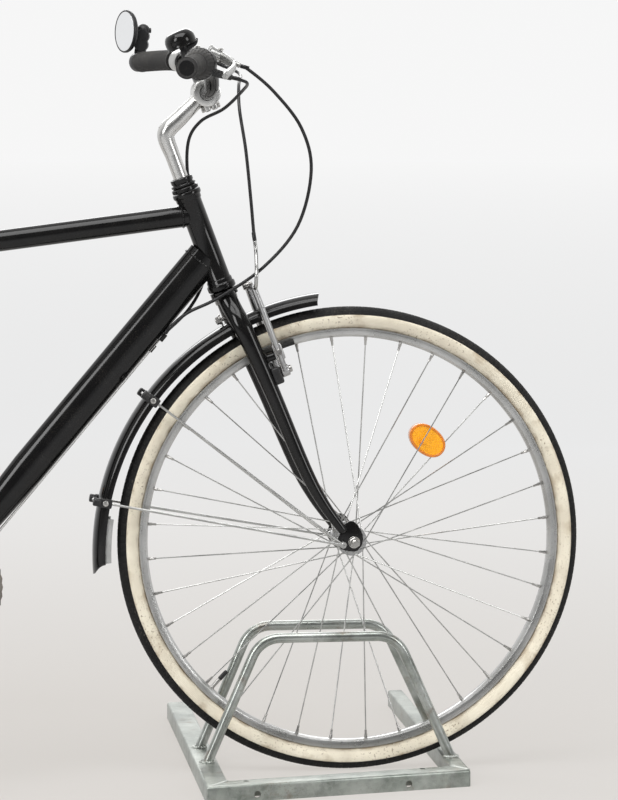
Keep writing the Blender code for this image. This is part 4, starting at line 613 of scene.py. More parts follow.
def buildSkins():
    makeSkin("glossBlack", "gloss_black_paint", (0.0040, 0.0038, 0.0040), (0.0026, 0.0025, 0.0026), 0.13,
             grain=260.0, bump=0.010, dust=0.02, specks=0.10, speckScale=900.0, coat=0.16, gloss=0.28)
    makeSkin("polishedAlloy", "polished_aluminium", (0.70, 0.695, 0.68), (0.56, 0.555, 0.54), 0.24, 1.0,
             grain=520.0, bump=0.03, dust=0.08, specks=0.15, wear=0.3, worn=(0.78, 0.78, 0.76))
    makeSkin("satinAlloy", "satin_aluminium", (0.52, 0.52, 0.52), (0.40, 0.40, 0.40), 0.34, 1.0,
             grain=600.0, bump=0.05, dust=0.08, specks=0.2)
    makeSkin("leverAlloy", "polished_aluminium", (0.55, 0.55, 0.54), (0.42, 0.42, 0.41), 0.30, 1.0,
             grain=520.0, bump=0.03, dust=0.08, specks=0.15)
    makeSkin("noodleSteel", "polished_aluminium", (0.56, 0.56, 0.55), (0.42, 0.42, 0.41), 0.22, 1.0,
             grain=500.0, bump=0.02, dust=0.05, specks=0.2)
    makeSkin("nutChrome", "bright_steel", (0.62, 0.61, 0.59), (0.40, 0.39, 0.37), 0.16, 1.0,
             grain=420.0, bump=0.02, dust=0.05, specks=0.4, speckScale=600.0)
    makeSkin("brightSteel", "bright_steel", (0.50, 0.49, 0.47), (0.36, 0.35, 0.34), 0.28, 1.0,
             grain=500.0, bump=0.03, dust=0.08, specks=0.35, speckScale=700.0)
    makeSkin("zincSpoke", "bright_steel", (0.60, 0.60, 0.585), (0.44, 0.44, 0.43), 0.34, 1.0,
             grain=700.0, bump=0.04, dust=0.0, specks=0.3, speckScale=260.0)
    makeSkin("galvanised", "galvanised_zinc", (0.39, 0.41, 0.38), (0.20, 0.225, 0.20), 0.34, 0.88,
             grain=330.0, bump=0.12, dust=0.10, specks=0.5, speckScale=380.0, wear=0.4,
             worn=(0.60, 0.62, 0.59), tint=rackStains)
    makeSkin("hoopZinc", "galvanised_zinc", (0.50, 0.52, 0.50), (0.30, 0.32, 0.30), 0.30, 0.95,
             grain=300.0, bump=0.10, dust=0.10, specks=0.45, speckScale=300.0, tint=rackStains)
    makeSkin("weldZinc", "galvanised_zinc", (0.56, 0.58, 0.55), (0.38, 0.40, 0.37), 0.40, 0.85,
             grain=700.0, bump=0.3, dust=0.15, specks=0.5)
    makeSkin("cogSteel", "bright_steel", (0.34, 0.32, 0.29), (0.20, 0.18, 0.16), 0.36, 0.95,
             grain=420.0, bump=0.05, dust=0.08, specks=0.4, speckScale=300.0)
    makeSkin("chainringSteel", "polished_aluminium", (0.46, 0.46, 0.45), (0.32, 0.32, 0.31), 0.30, 1.0,
             grain=420.0, bump=0.05, dust=0.08, specks=0.4, speckScale=300.0)
    makeSkin("carrierPaint", "black_plastic", (0.012, 0.012, 0.013), (0.008, 0.008, 0.009), 0.34,
             grain=900.0, bump=0.05, dust=0.16, specks=0.2, wear=0.3, worn=(0.10, 0.10, 0.10), gloss=0.4)
    makeSkin("gripRubber", "charcoal_rubber", (0.034, 0.033, 0.032), (0.022, 0.021, 0.021), 0.70,
             grain=1500.0, bump=0.10, dust=0.15, specks=0.2, gloss=0.35)
    makeSkin("padRubber", "black_plastic", (0.016, 0.016, 0.016), (0.010, 0.010, 0.010), 0.66,
             grain=1300.0, bump=0.10, dust=0.15, specks=0.3, gloss=0.35)
    makeSkin("treadRubber", "tyre_rubber", (0.010, 0.0095, 0.009), (0.005, 0.005, 0.005), 0.74,
             grain=900.0, bump=0.18, dust=0.05, specks=0.22, speckScale=330.0, gloss=0.3)
    makeSkin("blackPlastic", "black_plastic", (0.013, 0.013, 0.014), (0.008, 0.008, 0.009), 0.38,
             grain=1300.0, bump=0.05, dust=0.10, specks=0.15, gloss=0.4)
    makeSkin("cableSleeve", "black_plastic", (0.008, 0.008, 0.009), (0.005, 0.005, 0.006), 0.30,
             grain=900.0, bump=0.03, dust=0.06, specks=0.1, gloss=0.4)
    makeSkin("seatVinyl", "black_vinyl", (0.020, 0.020, 0.021), (0.013, 0.013, 0.014), 0.48,
             grain=800.0, bump=0.16, dust=0.12, relief=leatherCells)
    makeSkin("flapRubber", "black_plastic", (0.40, 0.40, 0.39), (0.28, 0.28, 0.27), 0.62,
             grain=700.0, bump=0.08, dust=0.3, specks=0.4)
    makeSkin("clearGrey", "black_plastic", (0.20, 0.21, 0.22), (0.15, 0.16, 0.17), 0.12,
             grain=500.0, bump=0.01, dust=0.08, coat=0.5)
    makeSkin("amberLens", "amber_reflector", (0.97, 0.41, 0.003), (0.92, 0.36, 0.003), 0.24,
             grain=500.0, bump=0.05, dust=0.0, coat=0.4, relief=prisms)
    makeSkin("amberRim", "amber_reflector", (0.74, 0.22, 0.012), (0.60, 0.17, 0.010), 0.22,
             grain=500.0, bump=0.05, dust=0.06, coat=0.5)
    makeSkin("redLens", "red_reflector", (0.60, 0.012, 0.012), (0.45, 0.008, 0.008), 0.16,
             grain=500.0, bump=0.5, dust=0.06, coat=0.8, relief=prisms)
    makeSkin("mirrorGlass", "black_plastic", (0.86, 0.87, 0.88), (0.82, 0.83, 0.84), 0.03, 1.0,
             grain=40.0, bump=0.004, dust=0.12, specks=0.1)
    makeSkin("chainSteel", "bright_steel", (0.30, 0.28, 0.25), (0.16, 0.14, 0.12), 0.40, 0.9,
             grain=420.0, bump=0.08, dust=0.1, specks=0.5, speckScale=300.0)
    for word, hub in (("front", frontHub), ("rear", rearHub)):
        makeSkin(f"{word}RimAlloy", "satin_aluminium", (0.56, 0.56, 0.55), (0.42, 0.42, 0.41), 0.27, 1.0,
                 grain=420.0, bump=0.10, dust=0.08, specks=0.35, speckScale=420.0,
                 relief=machinedRings(hub, 0.0009))
        makeSkin(f"{word}CreamWall", "tyre_rubber", (0.81, 0.745, 0.60), (0.69, 0.62, 0.49), 0.66,
                 grain=500.0, bump=0.16, dust=0.0, specks=0.8, speckScale=330.0, dirt=(0.26, 0.19, 0.12),
                 tint=sidewallDirt(hub), relief=machinedRings(hub, 0.0021))


buildGroups()
buildSkins()
print("finishes done:", len(skins))

tyre = {"steps": 216, "treadFrom": 0.3361, "blockGap": 0.0008, "blockRise": 0.0006}
tyreHalf = [
    (0.3120, 0.0091), (0.3164, 0.0092), (0.3180, 0.0108), (0.3206, 0.0132), (0.3238, 0.0154),
    (0.3275, 0.0172),
    (0.3312, 0.0182), (0.3345, 0.0184), (0.3359, 0.0181), (0.3363, 0.0177), (0.3384, 0.0168),
    (0.3408, 0.0150),
    (0.3432, 0.0124), (0.3452, 0.0090), (0.3466, 0.0050), (0.3473, 0.0016),
]


def reachOf(place, hub):
    return math.hypot(place.x - hub.x, place.z - hub.z)


def buildTyre(word, hub, body):
    bm = bmesh.new()
    revolve(bm, tyreHalf + [(r, -y) for r, y in tyreHalf[::-1]], hub, steps=tyre["steps"], closed=True)
    merge(bm)
    bmesh.ops.recalc_face_normals(bm, faces=bm.faces)
    tread = [f for f in bm.faces if reachOf(f.calc_center_median(), hub) > tyre["treadFrom"] + 0.0006]
    bmesh.ops.inset_individual(bm, faces=tread, thickness=tyre["blockGap"], depth=tyre["blockRise"],
                               use_even_offset=True)
    for face in bm.faces:
        face.material_index = 0 if reachOf(face.calc_center_median(), hub) > tyre["treadFrom"] else 1
    finishPiece(f"{word}_tyre_dressed", bm, ["treadRubber", f"{word}CreamWall"], body, f"{word}_tyre")


rim = {"outer": 0.3165, "inner": 0.3030, "half": 0.01225, "steps": 180, "valveAngle": 227.0}


def buildRim(word, hub, body):
    bm = bmesh.new()
    r, i, h = rim["outer"], rim["inner"], rim["half"]
    side = [(r - 0.0046, h - 0.0031), (r - 0.0008, h - 0.0030), (r, h - 0.0022), (r, h - 0.0008),
            (r - 0.0006, h),
            (r - 0.0032, h), (r - 0.0034, h - 0.0003), (r - 0.0038, h - 0.0003), (r - 0.0040, h),
            (r - 0.0090, h - 0.0002), (r - 0.0104, h - 0.0010), (i + 0.0006, 0.0062), (i, 0.0048)]
    outline = side + [(a, -b) for a, b in side[::-1]]
    revolve(bm, outline, hub, steps=rim["steps"], closed=True)
    finishPiece(f"{word}_rim_dressed", bm, f"{word}RimAlloy", body, f"{word}_rim", sharp=30.0)

    bm = bmesh.new()
    way = (roundWheel(hub, 1.0, rim["valveAngle"]) - hub).normalized()
    foot = hub + way * (rim["inner"] + 0.001)
    profile = [(0, 0.0), (0.0048, 0.0), (0.0048, -0.0012), (0.0042, -0.0020), (0.0030, -0.0022),
               (0.0030, -0.0180),
               (0.0024, -0.0186), (0.0024, -0.0215), (0, -0.0215)]
    revolve(bm, profile, foot, way, 24)
    finishPiece(f"{word}_valve", bm, "brightSteel", body)
    bm = bmesh.new()
    profile = [(0, -0.0185), (0.0034, -0.0185), (0.0035, -0.0195), (0.0033, -0.0320), (0.0026, -0.0345),
               (0, -0.0350)]
    revolve(bm, profile, foot, way, 16)
    finishPiece(f"{word}_valve_cap", bm, "blackPlastic", body)


spoke = {"count": 36, "cross": 3, "radius": 0.0010, "hole": 0.0185, "flangeHalf": 0.0014, "turn": 5.0,
         "splay": 0.0025}


def spokeLines(right, left):
    lines = []
    gap = 360.0 / spoke["count"]
    for n in range(spoke["count"]):
        flange = -right if n % 2 else left
        leading = (n // 2) % 2 == 0
        outward = 1 if flange > 0 else -1
        rimAngle = math.radians(n * gap + spoke["turn"])
        hubAngle = rimAngle - math.radians(spoke["cross"] * 2 * gap * (1 if leading else -1))
        face = outward * (1 if leading else -1)
        hole = Vector((spoke["hole"] * math.cos(hubAngle), flange, spoke["hole"] * math.sin(hubAngle)))
        end = Vector((rim["inner"] * math.cos(rimAngle), spoke["splay"] * outward,
                      rim["inner"] * math.sin(rimAngle)))
        lines.append((hole, face, end))
    return lines


def buildSpokes(word, hub, body, right, left):
    bm, nips = bmesh.new(), bmesh.new()
    thick = spoke["flangeHalf"]
    for hole, face, end in spokeLines(right, left):
        head = hub + hole - yAxis * face * (thick + 0.0008)
        out = hub + hole + yAxis * face * (thick + 0.0006)
        tip = hub + end
        way = (tip - out).normalized()
        sweep(bm, [head, hub + hole, out, out + way * 0.0016 + yAxis * face * 0.0006, out + way * 0.008, tip],
              spoke["radius"], 8)
        rod(bm, head + yAxis * face * 0.0006, head - yAxis * face * 0.0006, 0.0021, 10)
        # nipple, with its square shoulder at the rim
        path = [tip - way * 0.0125, tip - way * 0.0122, tip - way * 0.0060, tip - way * 0.0050,
                tip + way * 0.0008]
        radii = [0.0013, 0.0018, 0.0019, 0.0024, 0.0025]
        sweep(nips, path, lambda t: (radii[round(t * 4)],) * 2, 8)
    finishPiece(f"{word}_spokes", bm, "zincSpoke", body)
    finishPiece(f"{word}_nipples", nips, "brightSteel", body)


hub = {"flange": 0.0225, "shell": 0.0150, "thick": 0.0028, "waist": 0.0138, "bore": 0.0053}


def buildHub(word, centre, body, right, left, rightEnd, leftEnd):
    bm = bmesh.new()
    t, f, s = hub["thick"] / 2, hub["flange"], hub["shell"]
    profile = [(hub["bore"], -rightEnd), (0.0108, -rightEnd), (0.0115, -rightEnd + 0.001),
               (0.0130, -right - t - 0.001),
               (0.0150, -right - t), (f - 0.0006, -right - t), (f, -right - t + 0.0006),
               (f, -right + t - 0.0006),
               (f - 0.0006, -right + t), (0.0175, -right + t + 0.0010), (s, -right + t + 0.0050),
               (hub["waist"], -right + t + 0.012), (hub["waist"], left - t - 0.012), (s, left - t - 0.0050),
               (0.0175, left - t - 0.0010), (f - 0.0006, left - t), (f, left - t + 0.0006),
               (f, left + t - 0.0006),
               (f - 0.0006, left + t), (0.0150, left + t), (0.0130, left + t + 0.001),
               (0.0115, leftEnd - 0.001),
               (0.0108, leftEnd), (hub["bore"], leftEnd)]
    revolve(bm, profile, centre, steps=64, closed=True)
    finishPiece(f"{word}_hub", bm, "satinAlloy", body, f"{word}_hub_and_spokes")


# right and left flange, right and left end, from the wheel's middle
hubs = {"front": (frontHub, (0.0335, 0.0335), (0.040, 0.040)),
        "rear": (rearHub, (0.0190, 0.0340), (0.0235, 0.0400))}

for word, (centre, flanges, ends) in hubs.items():
    buildTyre(word, centre, f"{word}_wheel")
    buildRim(word, centre, f"{word}_wheel")
    buildSpokes(word, centre, f"{word}_wheel", *flanges)
    buildHub(word, centre, f"{word}_wheel", *flanges, *ends)
print("wheels done")

fork = {
    "bladeSides": 24, "crownFoot": 0.020, "cup": 0.0205, "steerer": 0.0127, "hubWide": 0.100,
    "dropout": 0.005,
    "bossLong": 0.026, "springDrop": 0.026,
}


def bladePath(side):
    tip = fork["hubWide"] / 2 + fork["dropout"] / 2
    return smoothPath([
        onAxis(-0.008, 0.000, side * 0.0130), onAxis(-0.030, 0.001, side * 0.0230),
        onAxis(-0.052, 0.003, side * 0.037), onAxis(-0.085, 0.006, side * 0.0440),
        onAxis(-0.170, 0.011, side * 0.0460), onAxis(-0.290, 0.016, side * 0.0490),
        onAxis(-0.350, 0.024, side * 0.0510), onAxis(-0.402, 0.038, side * tip)], 5)


def bladeSize(t):
    taper = max(0.0, (t - 0.35) / 0.65)
    return 0.0145 - 0.0075 * taper, 0.0115 - 0.0050 * taper


def frontBoss(side):
    return onAxis(-0.118, 0.008, side * 0.044)


def buildFork():
    bm = bmesh.new()
    for side in (-1, 1):
        sweep(bm, bladePath(side), bladeSize, fork["bladeSides"], guide=yAxis, rounded=0.004)
        low = side * fork["hubWide"] / 2 + (0 if side > 0 else -fork["dropout"])
        outline = [(-0.024, 0.006), (-0.0235, -0.004), (-0.020, -0.0100), (-0.012, -0.0125), (0.000, -0.0145),
                   (0.006, -0.0125), (0.012, -0.005), (0.0140, 0.004), (0.013, 0.012), (0.006, 0.026),
                   (0.000, 0.031), (-0.006, 0.032), (-0.013, 0.028), (-0.019, 0.018)]
        plate(bm, outline, frontHub, (1, 0, 0), (0, 0, 1), -low - fork["dropout"], -low, 0.0009, 3)
        boss = frontBoss(side)
        for drop in (0.0, fork["springDrop"]):
            foot = boss - steerAxis * drop
            rod(bm, foot, foot + steerAhead * fork["bossLong"], 0.0065, 20, rounded=0.001)
            bead(bm, foot + steerAhead * 0.0130, steerAhead, 0.0070, 0.0013, 12)
    c = fork["cup"]
    profile = [(0, -fork["crownFoot"]), (fork["steerer"], -fork["crownFoot"]), (0.0140, -0.0170),
               (0.0172, -0.0145),
               (c, -0.0128), (c, -0.0040), (fork["steerer"], -0.0030), (fork["steerer"], 0.1730),
               (0.0118, 0.1730), (0.0118, 0.110), (0, 0.110)]
    revolve(bm, profile, lowerCup, steerAxis, 48)
    finishPiece("fork_dressed", bm, "glossBlack", "rack_and_fork", "fork")

    # crown bolt ahead, and its nut and washer behind
    bm = bmesh.new()
    hexBolt(bm, onAxis(-0.0165, 0.0125), steerAhead, 0.010, 0.0045, 0.005)
    hexBolt(bm, onAxis(-0.0165, -0.0125), -steerAhead, 0.010, 0.0050)
    rod(bm, onAxis(-0.0440, 0.0), onAxis(-0.0440, -0.0270), 0.0030, 16)
    for ahead, r, thick in ((-0.0180, 0.0088, 0.0016), (-0.0200, 0.0070, 0.0014)):
        revolve(bm, [(0.0031, 0), (r, 0), (r, thick), (0.0031, thick)], onAxis(-0.0440, ahead), -steerAhead,
                28,
                closed=True)
    hexBolt(bm, onAxis(-0.0440, -0.0212), -steerAhead, 0.0100, 0.0048)
    finishPiece("crown_bolt", bm, "brightSteel", "rack_and_fork")


def buildHeadset():
    # the knurled rings above the head tube
    bm = bmesh.new()
    s = 0.0133
    profile = [(s, 0.1542), (0.0196, 0.1542), (0.0201, 0.1548), (0.0201, 0.1592), (0.0192, 0.1602),
               (0.0176, 0.1608),
               (0.0166, 0.1618), (0.0184, 0.1624), (0.0188, 0.1632), (0.0188, 0.1648), (0.0180, 0.1656),
               (0.0156, 0.1662), (0.0156, 0.1672), (0.0166, 0.1678), (0.0170, 0.1686), (0.0170, 0.1738),
               (0.0162, 0.1746), (0.0150, 0.1750), (s, 0.1750)]
    revolve(bm, profile, lowerCup, steerAxis, 96, closed=True)
    merge(bm)
    bmesh.ops.recalc_face_normals(bm, faces=bm.faces)
    band = []
    for f in bm.faces:
        middle = f.calc_center_median()
        along = (middle - lowerCup).dot(steerAxis)
        away = (middle - onAxis(along)).length
        if 0.1550 < along < 0.1590 and away > 0.019 and f.normal.dot(steerAxis) < 0.1:
            band.append(f)
    bmesh.ops.inset_individual(bm, faces=band[::2], thickness=0.00015, depth=-0.0004)
    finishPiece("headset_rings", bm, "glossBlack", "rack_and_fork", "headset_locknut", sharp=30.0)


headTube = {"radius": 0.0178, "cup": 0.0215, "bore": 0.0150, "length": 0.153}
downHead = onAxis(0.0573)
downWay = (bracket - downHead).normalized()
downUnder = Vector((-downWay.z, 0.0, downWay.x))
# the two cable stops under the down tube: distance along it and to the left
stops = {"rear_brake_cable": (0.134, -0.008), "gear_cable": (0.156, 0.008)}


def stopPlace(name):
    along, left = stops[name]
    return downHead + downWay * along + downUnder * 0.0272 + yAxis * left


def buildFrameTubes():
    bm = bmesh.new()
    h, c, r = headTube["length"], headTube["cup"], headTube["radius"]
    profile = [(headTube["bore"], -0.0022), (c - 0.0016, -0.0022), (c - 0.0003, -0.0014), (c, 0.0000),
               (c, 0.0052),
               (c - 0.0006, 0.0068), (0.0200, 0.0078), (0.0194, 0.0086), (0.0192, 0.0130), (0.0184, 0.0142),
               (r, 0.0150),
               (r, h - 0.0150), (0.0184, h - 0.0142), (0.0192, h - 0.0130), (0.0194, h - 0.0086),
               (0.0200, h - 0.0078),
               (c - 0.0006, h - 0.0068), (c, h - 0.0052), (c, h - 0.0012), (c - 0.0008, h),
               (headTube["bore"], h)]
    revolve(bm, profile, lowerCup, steerAxis, 72, closed=True)
    finishPiece("head_tube_dressed", bm, "glossBlack", "frame", "head_tube")

    topHead, topSeat = onAxis(0.1157), Vector((-0.77361, 0.0, 0.76608))
    way = (topSeat - topHead).normalized()
    bm = bmesh.new()
    rod(bm, topHead + way * 0.010, topSeat - way * 0.006, 0.0159, 40)
    for seam in (topHead + way * 0.0190, topSeat - way * 0.0150):
        bead(bm, seam, way, 0.0158, 0.0016, 20)
    finishPiece("top_tube_dressed", bm, "glossBlack", "frame", "top_tube")

    bm = bmesh.new()

    def downSize(t):
        narrow = 0.0082 * max(0.0, 3 * t - 2)
        return 0.0262 - narrow, 0.0185

    length = (bracket - downHead).length
    path = [downHead + downWay * (0.008 + (length - 0.026) * k / 12) for k in range(13)]
    sweep(bm, path, downSize, 48, guide=yAxis)
    bead(bm, downHead + downWay * 0.0200, downWay, 0.0178, 0.0018, 22, wide=1.46, guide=downWay.cross(yAxis))
    # bare inner wires run on from the stops
    wires = bmesh.new()
    turn = downWay.to_track_quat("X", "Z").to_matrix().to_4x4()
    for name, (_, left) in stops.items():
        mouth = stopPlace(name)
        rod(bm, mouth + downWay * 0.0009, mouth + downWay * 0.0135, 0.0050, 20, rounded=0.0008)
        roundedBox(bm, (-0.0050, -0.0022, -0.0055), (0.0050, 0.0022, 0.0020), 0.0008, 2,
                   Matrix.Translation(mouth + downWay * 0.0070 - downUnder * 0.0022) @ turn)
        foot = bracket - downWay * 0.060 + downUnder * 0.0262 + yAxis * left
        sweep(wires, [mouth + downWay * 0.010, mouth.lerp(foot, 0.5), foot], 0.0008, 8)
    finishPiece("down_tube_dressed", bm, "glossBlack", "frame", "down_tube")
    finishPiece("bare_wires", wires, "brightSteel", "frame")


guardForm = {"thick": 0.0018, "halfWidth": 0.025, "drop": 0.016, "tipShare": 0.08}


def guardSection(radius, halfWidth, drop):
    # outer line, a rolled lip at each edge, then the inner line
    outer, inner = [], []
    for k in range(15):
        s = -1 + 2 * k / 14
        r = radius - drop * s * s
        y = (halfWidth - 0.0004) * math.sin(s * math.pi / 2)
        outer.append((r, y))
        inner.append((r - guardForm["thick"] * math.cos(s * 0.9), y * 0.945))
    low = outer[0]
    lipA = [(low[0] - 0.0009, low[1] + 0.0001), (low[0] - 0.0014, low[1] + 0.0009)]
    lipB = [(r, -y) for r, y in lipA[::-1]]
    return outer + lipB + inner[::-1] + lipA[::-1]


def buildGuard(name, hubPlace, start, end, steps, body, node, growth=0.0, skin="glossBlack", inside=0.0,
               growFrom=None, tips=(1.2, 2.4)):
    # the arched section is spun round the wheel; its tips are rounded and it may stand off towards the end
    bm = bmesh.new()
    form = guardForm
    section = guardSection(bike["guardRadius"] - inside, form["halfWidth"] - inside,
                           form["drop"] + inside * 3)
    way = roundWheel(hubPlace, 1.0, start) - hubPlace
    verts = [bm.verts.new(hubPlace + way * r + yAxis * y) for r, y in section]
    face = bm.faces.new(verts)
    bmesh.ops.spin(bm, geom=[face], cent=hubPlace, axis=yAxis, dvec=(0, 0, 0),
                   angle=-math.radians(end - start), steps=steps, use_merge=False, use_duplicate=False)
    first, last = growFrom or (start, end)
    for v in bm.verts:
        turn = math.degrees(math.atan2(v.co.z - hubPlace.z, v.co.x - hubPlace.x)) % 360
        turn = turn - 360 if turn > end + 20 else turn
        edge = min(abs(v.co.y) / form["halfWidth"], 1.0) ** 2
        t = (turn - start) / (end - start)
        early, late = (max(0.0, 1 - share / form["tipShare"]) for share in (t, 1 - t))
        turn += edge * (tips[0] * early - tips[1] * late)
        t = max(0.0, min(1.0, (turn - first) / (last - first)))
        reach = math.hypot(v.co.x - hubPlace.x, v.co.z - hubPlace.z) + growth * t * t
        v.co = roundWheel(hubPlace, reach, turn, v.co.y)
    return finishPiece(name, bm, skin, body, node, sharp=50.0)


def buildGuards():
    buildGuard("front_guard", frontHub, 97.0, 187.0, 60, "rack_and_fork", "front_fender", growth=0.0150)
    buildGuard("rear_guard", rearHub, -5.2, 203.0, 120, "frame", "rear_fender")
    # grey flap inside the guard's lower end
    buildGuard("guard_flap", frontHub, 173.5, 185.6, 16, "rack_and_fork", (), growth=0.0150,
               skin="flapRubber",
               inside=0.0022, growFrom=(97.0, 187.0), tips=(1.0, 1.4))
    # post up to the crown
    bm = bmesh.new()
    rod(bm, onAxis(-0.0203), onAxis(-0.0500), 0.0050, 20)
    hexBolt(bm, onAxis(-0.0500), -steerAxis, 0.010, 0.004)
    finishPiece("guard_post", bm, "brightSteel", "rack_and_fork")


def buildStay(name, eyelet, centre, angle, body, node, radius):
    half = guardForm["halfWidth"] + 0.0024
    sideR, overR = radius - guardForm["drop"] + 0.002, radius + 0.0030
    anchors = [eyelet, roundWheel(centre, sideR - 0.010, angle, half + 0.0015),
               roundWheel(centre, sideR + 0.004, angle, half),
               roundWheel(centre, sideR + 0.0135, angle, half - 0.0035),
               roundWheel(centre, overR, angle, half - 0.012), roundWheel(centre, overR, angle, 0.0)]
    left = [Vector(anchors[0]), Vector(anchors[0]).lerp(Vector(anchors[1]), 0.5)] \
        + smoothPath(anchors[1:], 5)
    path = left + mirrored(left)[::-1][1:]
    bm = bmesh.new()
    sweep(bm, path, 0.0019, 12)
    for side in (-1, 1):
        place = Vector((eyelet.x, side * eyelet.y, eyelet.z))
        profile = [(0.0024, -0.0019), (0.0048, -0.0019), (0.0052, -0.0012), (0.0052, 0.0012),
                   (0.0048, 0.0019),
                   (0.0024, 0.0019)]
        revolve(bm, profile, place, yAxis, 20, closed=True)
        rod(bm, place - yAxis * side * 0.0029, place + yAxis * side * 0.0022, 0.0024, 12)
        hexBolt(bm, place + yAxis * side * 0.0016, yAxis * side, 0.0075, 0.0030, 0.004)
    finishPiece(name, bm, "zincSpoke", body, node)
    # black end clamps on the guard's edges, with their screws
    bm, screws = bmesh.new(), bmesh.new()
    for side in (-1, 1):
        place = roundWheel(centre, sideR + 0.0030, angle, side * (half + 0.0004))
        out = place - centre
        out.y = 0
        out.normalize()
        turn = placed(Vector((-out.z, 0, out.x)), yAxis, out, place)
        roundedBox(bm, (-0.0070, -0.0046, -0.0100), (0.0070, 0.0046, 0.0110), 0.0024, 3, turn)
        rod(bm, place + out * 0.0060, place + out * 0.0185, 0.0062, 24, rounded=0.0022)
        hexBolt(screws, place + yAxis * side * 0.0044, yAxis * side, 0.0085, 0.0026, 0.0036)
    finishPiece(f"{name}_clamps", bm, "blackPlastic", body)
    finishPiece(f"{name}_screws", screws, "brightSteel", body)


def buildStays():
    outside = fork["hubWide"] / 2 + fork["dropout"] + 0.0032
    for word, angle, growth, out in (("upper", 144.4, 0.0042, 0.0), ("lower", 170.6, 0.0122, 0.0053)):
        eyelet = Vector((-0.0175, outside + out, frontHub.z - 0.0030))
        buildStay(f"front_stay_{word}", eyelet, frontHub, angle, "rack_and_fork", f"front_fender_stay_{word}",
                  bike["guardRadius"] + growth)
    eyelet = Vector((rearHub.x - 0.0175, 0.065 + 0.005 + 0.0032, rearHub.z + 0.008))
    buildStay("rear_stay", eyelet, rearHub, 160.0, "frame", "rear_fender_stay", bike["guardRadius"])


def barPath():
    x, z = bike["clampX"], bike["clampZ"]
    return [(x, 0.0, z), (x, 0.026, z + 0.0005), (x + 0.002, 0.055, z + 0.010), (x - 0.004, 0.090, z + 0.032),
            (x - 0.016, 0.125, z + 0.0425), (x - 0.034, 0.180, z + 0.0450),
            (x - 0.063, bike["barHalf"], z + 0.0410)]


def barLine(start, end, steps=6):
    whole = smoothPath(barPath(), steps)

    def at(y):
        for a, b in zip(whole, whole[1:]):
            if a.y <= y <= b.y and b.y > a.y:
                return a.lerp(b, (y - a.y) / (b.y - a.y))
        return whole[-1].copy()

    return [at(start)] + [p for p in whole if start + 0.0008 < p.y < end - 0.0008] + [at(end)]


def barSleeve(bm, line, inner, size, sides=32):
    # a collar that follows the bar; size gives its outside for 0..1
    frames = carried([Vector(p) for p in line], (0, 0, 1))
    stations = []
    for i, frameHere in enumerate(frames):
        r = size(i / (len(frames) - 1))
        stations.append((*frameHere, r, r))
    stations += [(*frameHere, inner, inner) for frameHere in frames[::-1]]
    start, end = carryRing(bm, stations, sides)
    bmesh.ops.bridge_loops(bm, edges=start + end)


def evenly(path, shares):
    # points at the given shares of the path's length, in rising order
    reach = [0.0]
    for a, b in zip(path, path[1:]):
        reach.append(reach[-1] + (b - a).length)
    out, i = [], 0
    for share in shares:
        want = reach[-1] * share
        while i < len(path) - 2 and reach[i + 1] < want:
            i += 1
        out.append(path[i].lerp(path[i + 1], (want - reach[i]) / max(reach[i + 1] - reach[i], 1e-9)))
    return out


def evenLine(start, end, count):
    # stations along the bar between two distances from its middle
    return evenly(barLine(start, end, 12), [k / (count - 1) for k in range(count)])


grip = {"radius": 0.0160, "inner": 0.200, "longer": 0.045}


def buildBar():
    left = barLine(0.0, bike["barHalf"])
    bm = bmesh.new()
    sweep(bm, mirrored(left)[::-1] + left[1:], bike["barRadius"], 32)
    finishPiece("handlebar_dressed", bm, "glossBlack", "rack_and_fork", "handlebar")

    for word, side, inner, count in (("left", 1, grip["inner"] - grip["longer"], 121),
                                     ("right", -1, grip["inner"], 85)):
        line = evenLine(inner, bike["barHalf"] - 0.0020, count)
        line = line if side > 0 else mirrored(line)

        def ribbed(t, span=count - 1):
            k = round(t * span)
            collar = 0.0004 if k < 3 or k > span - 4 else 0.0
            groove = -0.0008 if 4 < k < span - 5 and k % 4 in (2, 3) else 0.0
            return grip["radius"] - 0.0005 + collar + groove

        bm = bmesh.new()
        barSleeve(bm, line, 0.0121, ribbed, 40)
        if side < 0:
            # end disc with its small hole
            end, before = Vector(line[-1]), Vector(line[-3])
            way = (end - before).normalized()
            profile = [(0.0040, -0.004), (0.0040, 0.0014), (0.0050, 0.0018), (0.0125, 0.0018),
                       (0.0142, 0.0012),
                       (0.0142, -0.004)]
            revolve(bm, profile, end, way, 40, closed=True)
        finishPiece(f"grip_{word}_dressed", bm, "gripRubber", "rack_and_fork", f"grip_{word}")


stem = {"quill": 0.0111, "elbow": 0.245, "clampRadius": 0.0205, "clampHalf": 0.022}


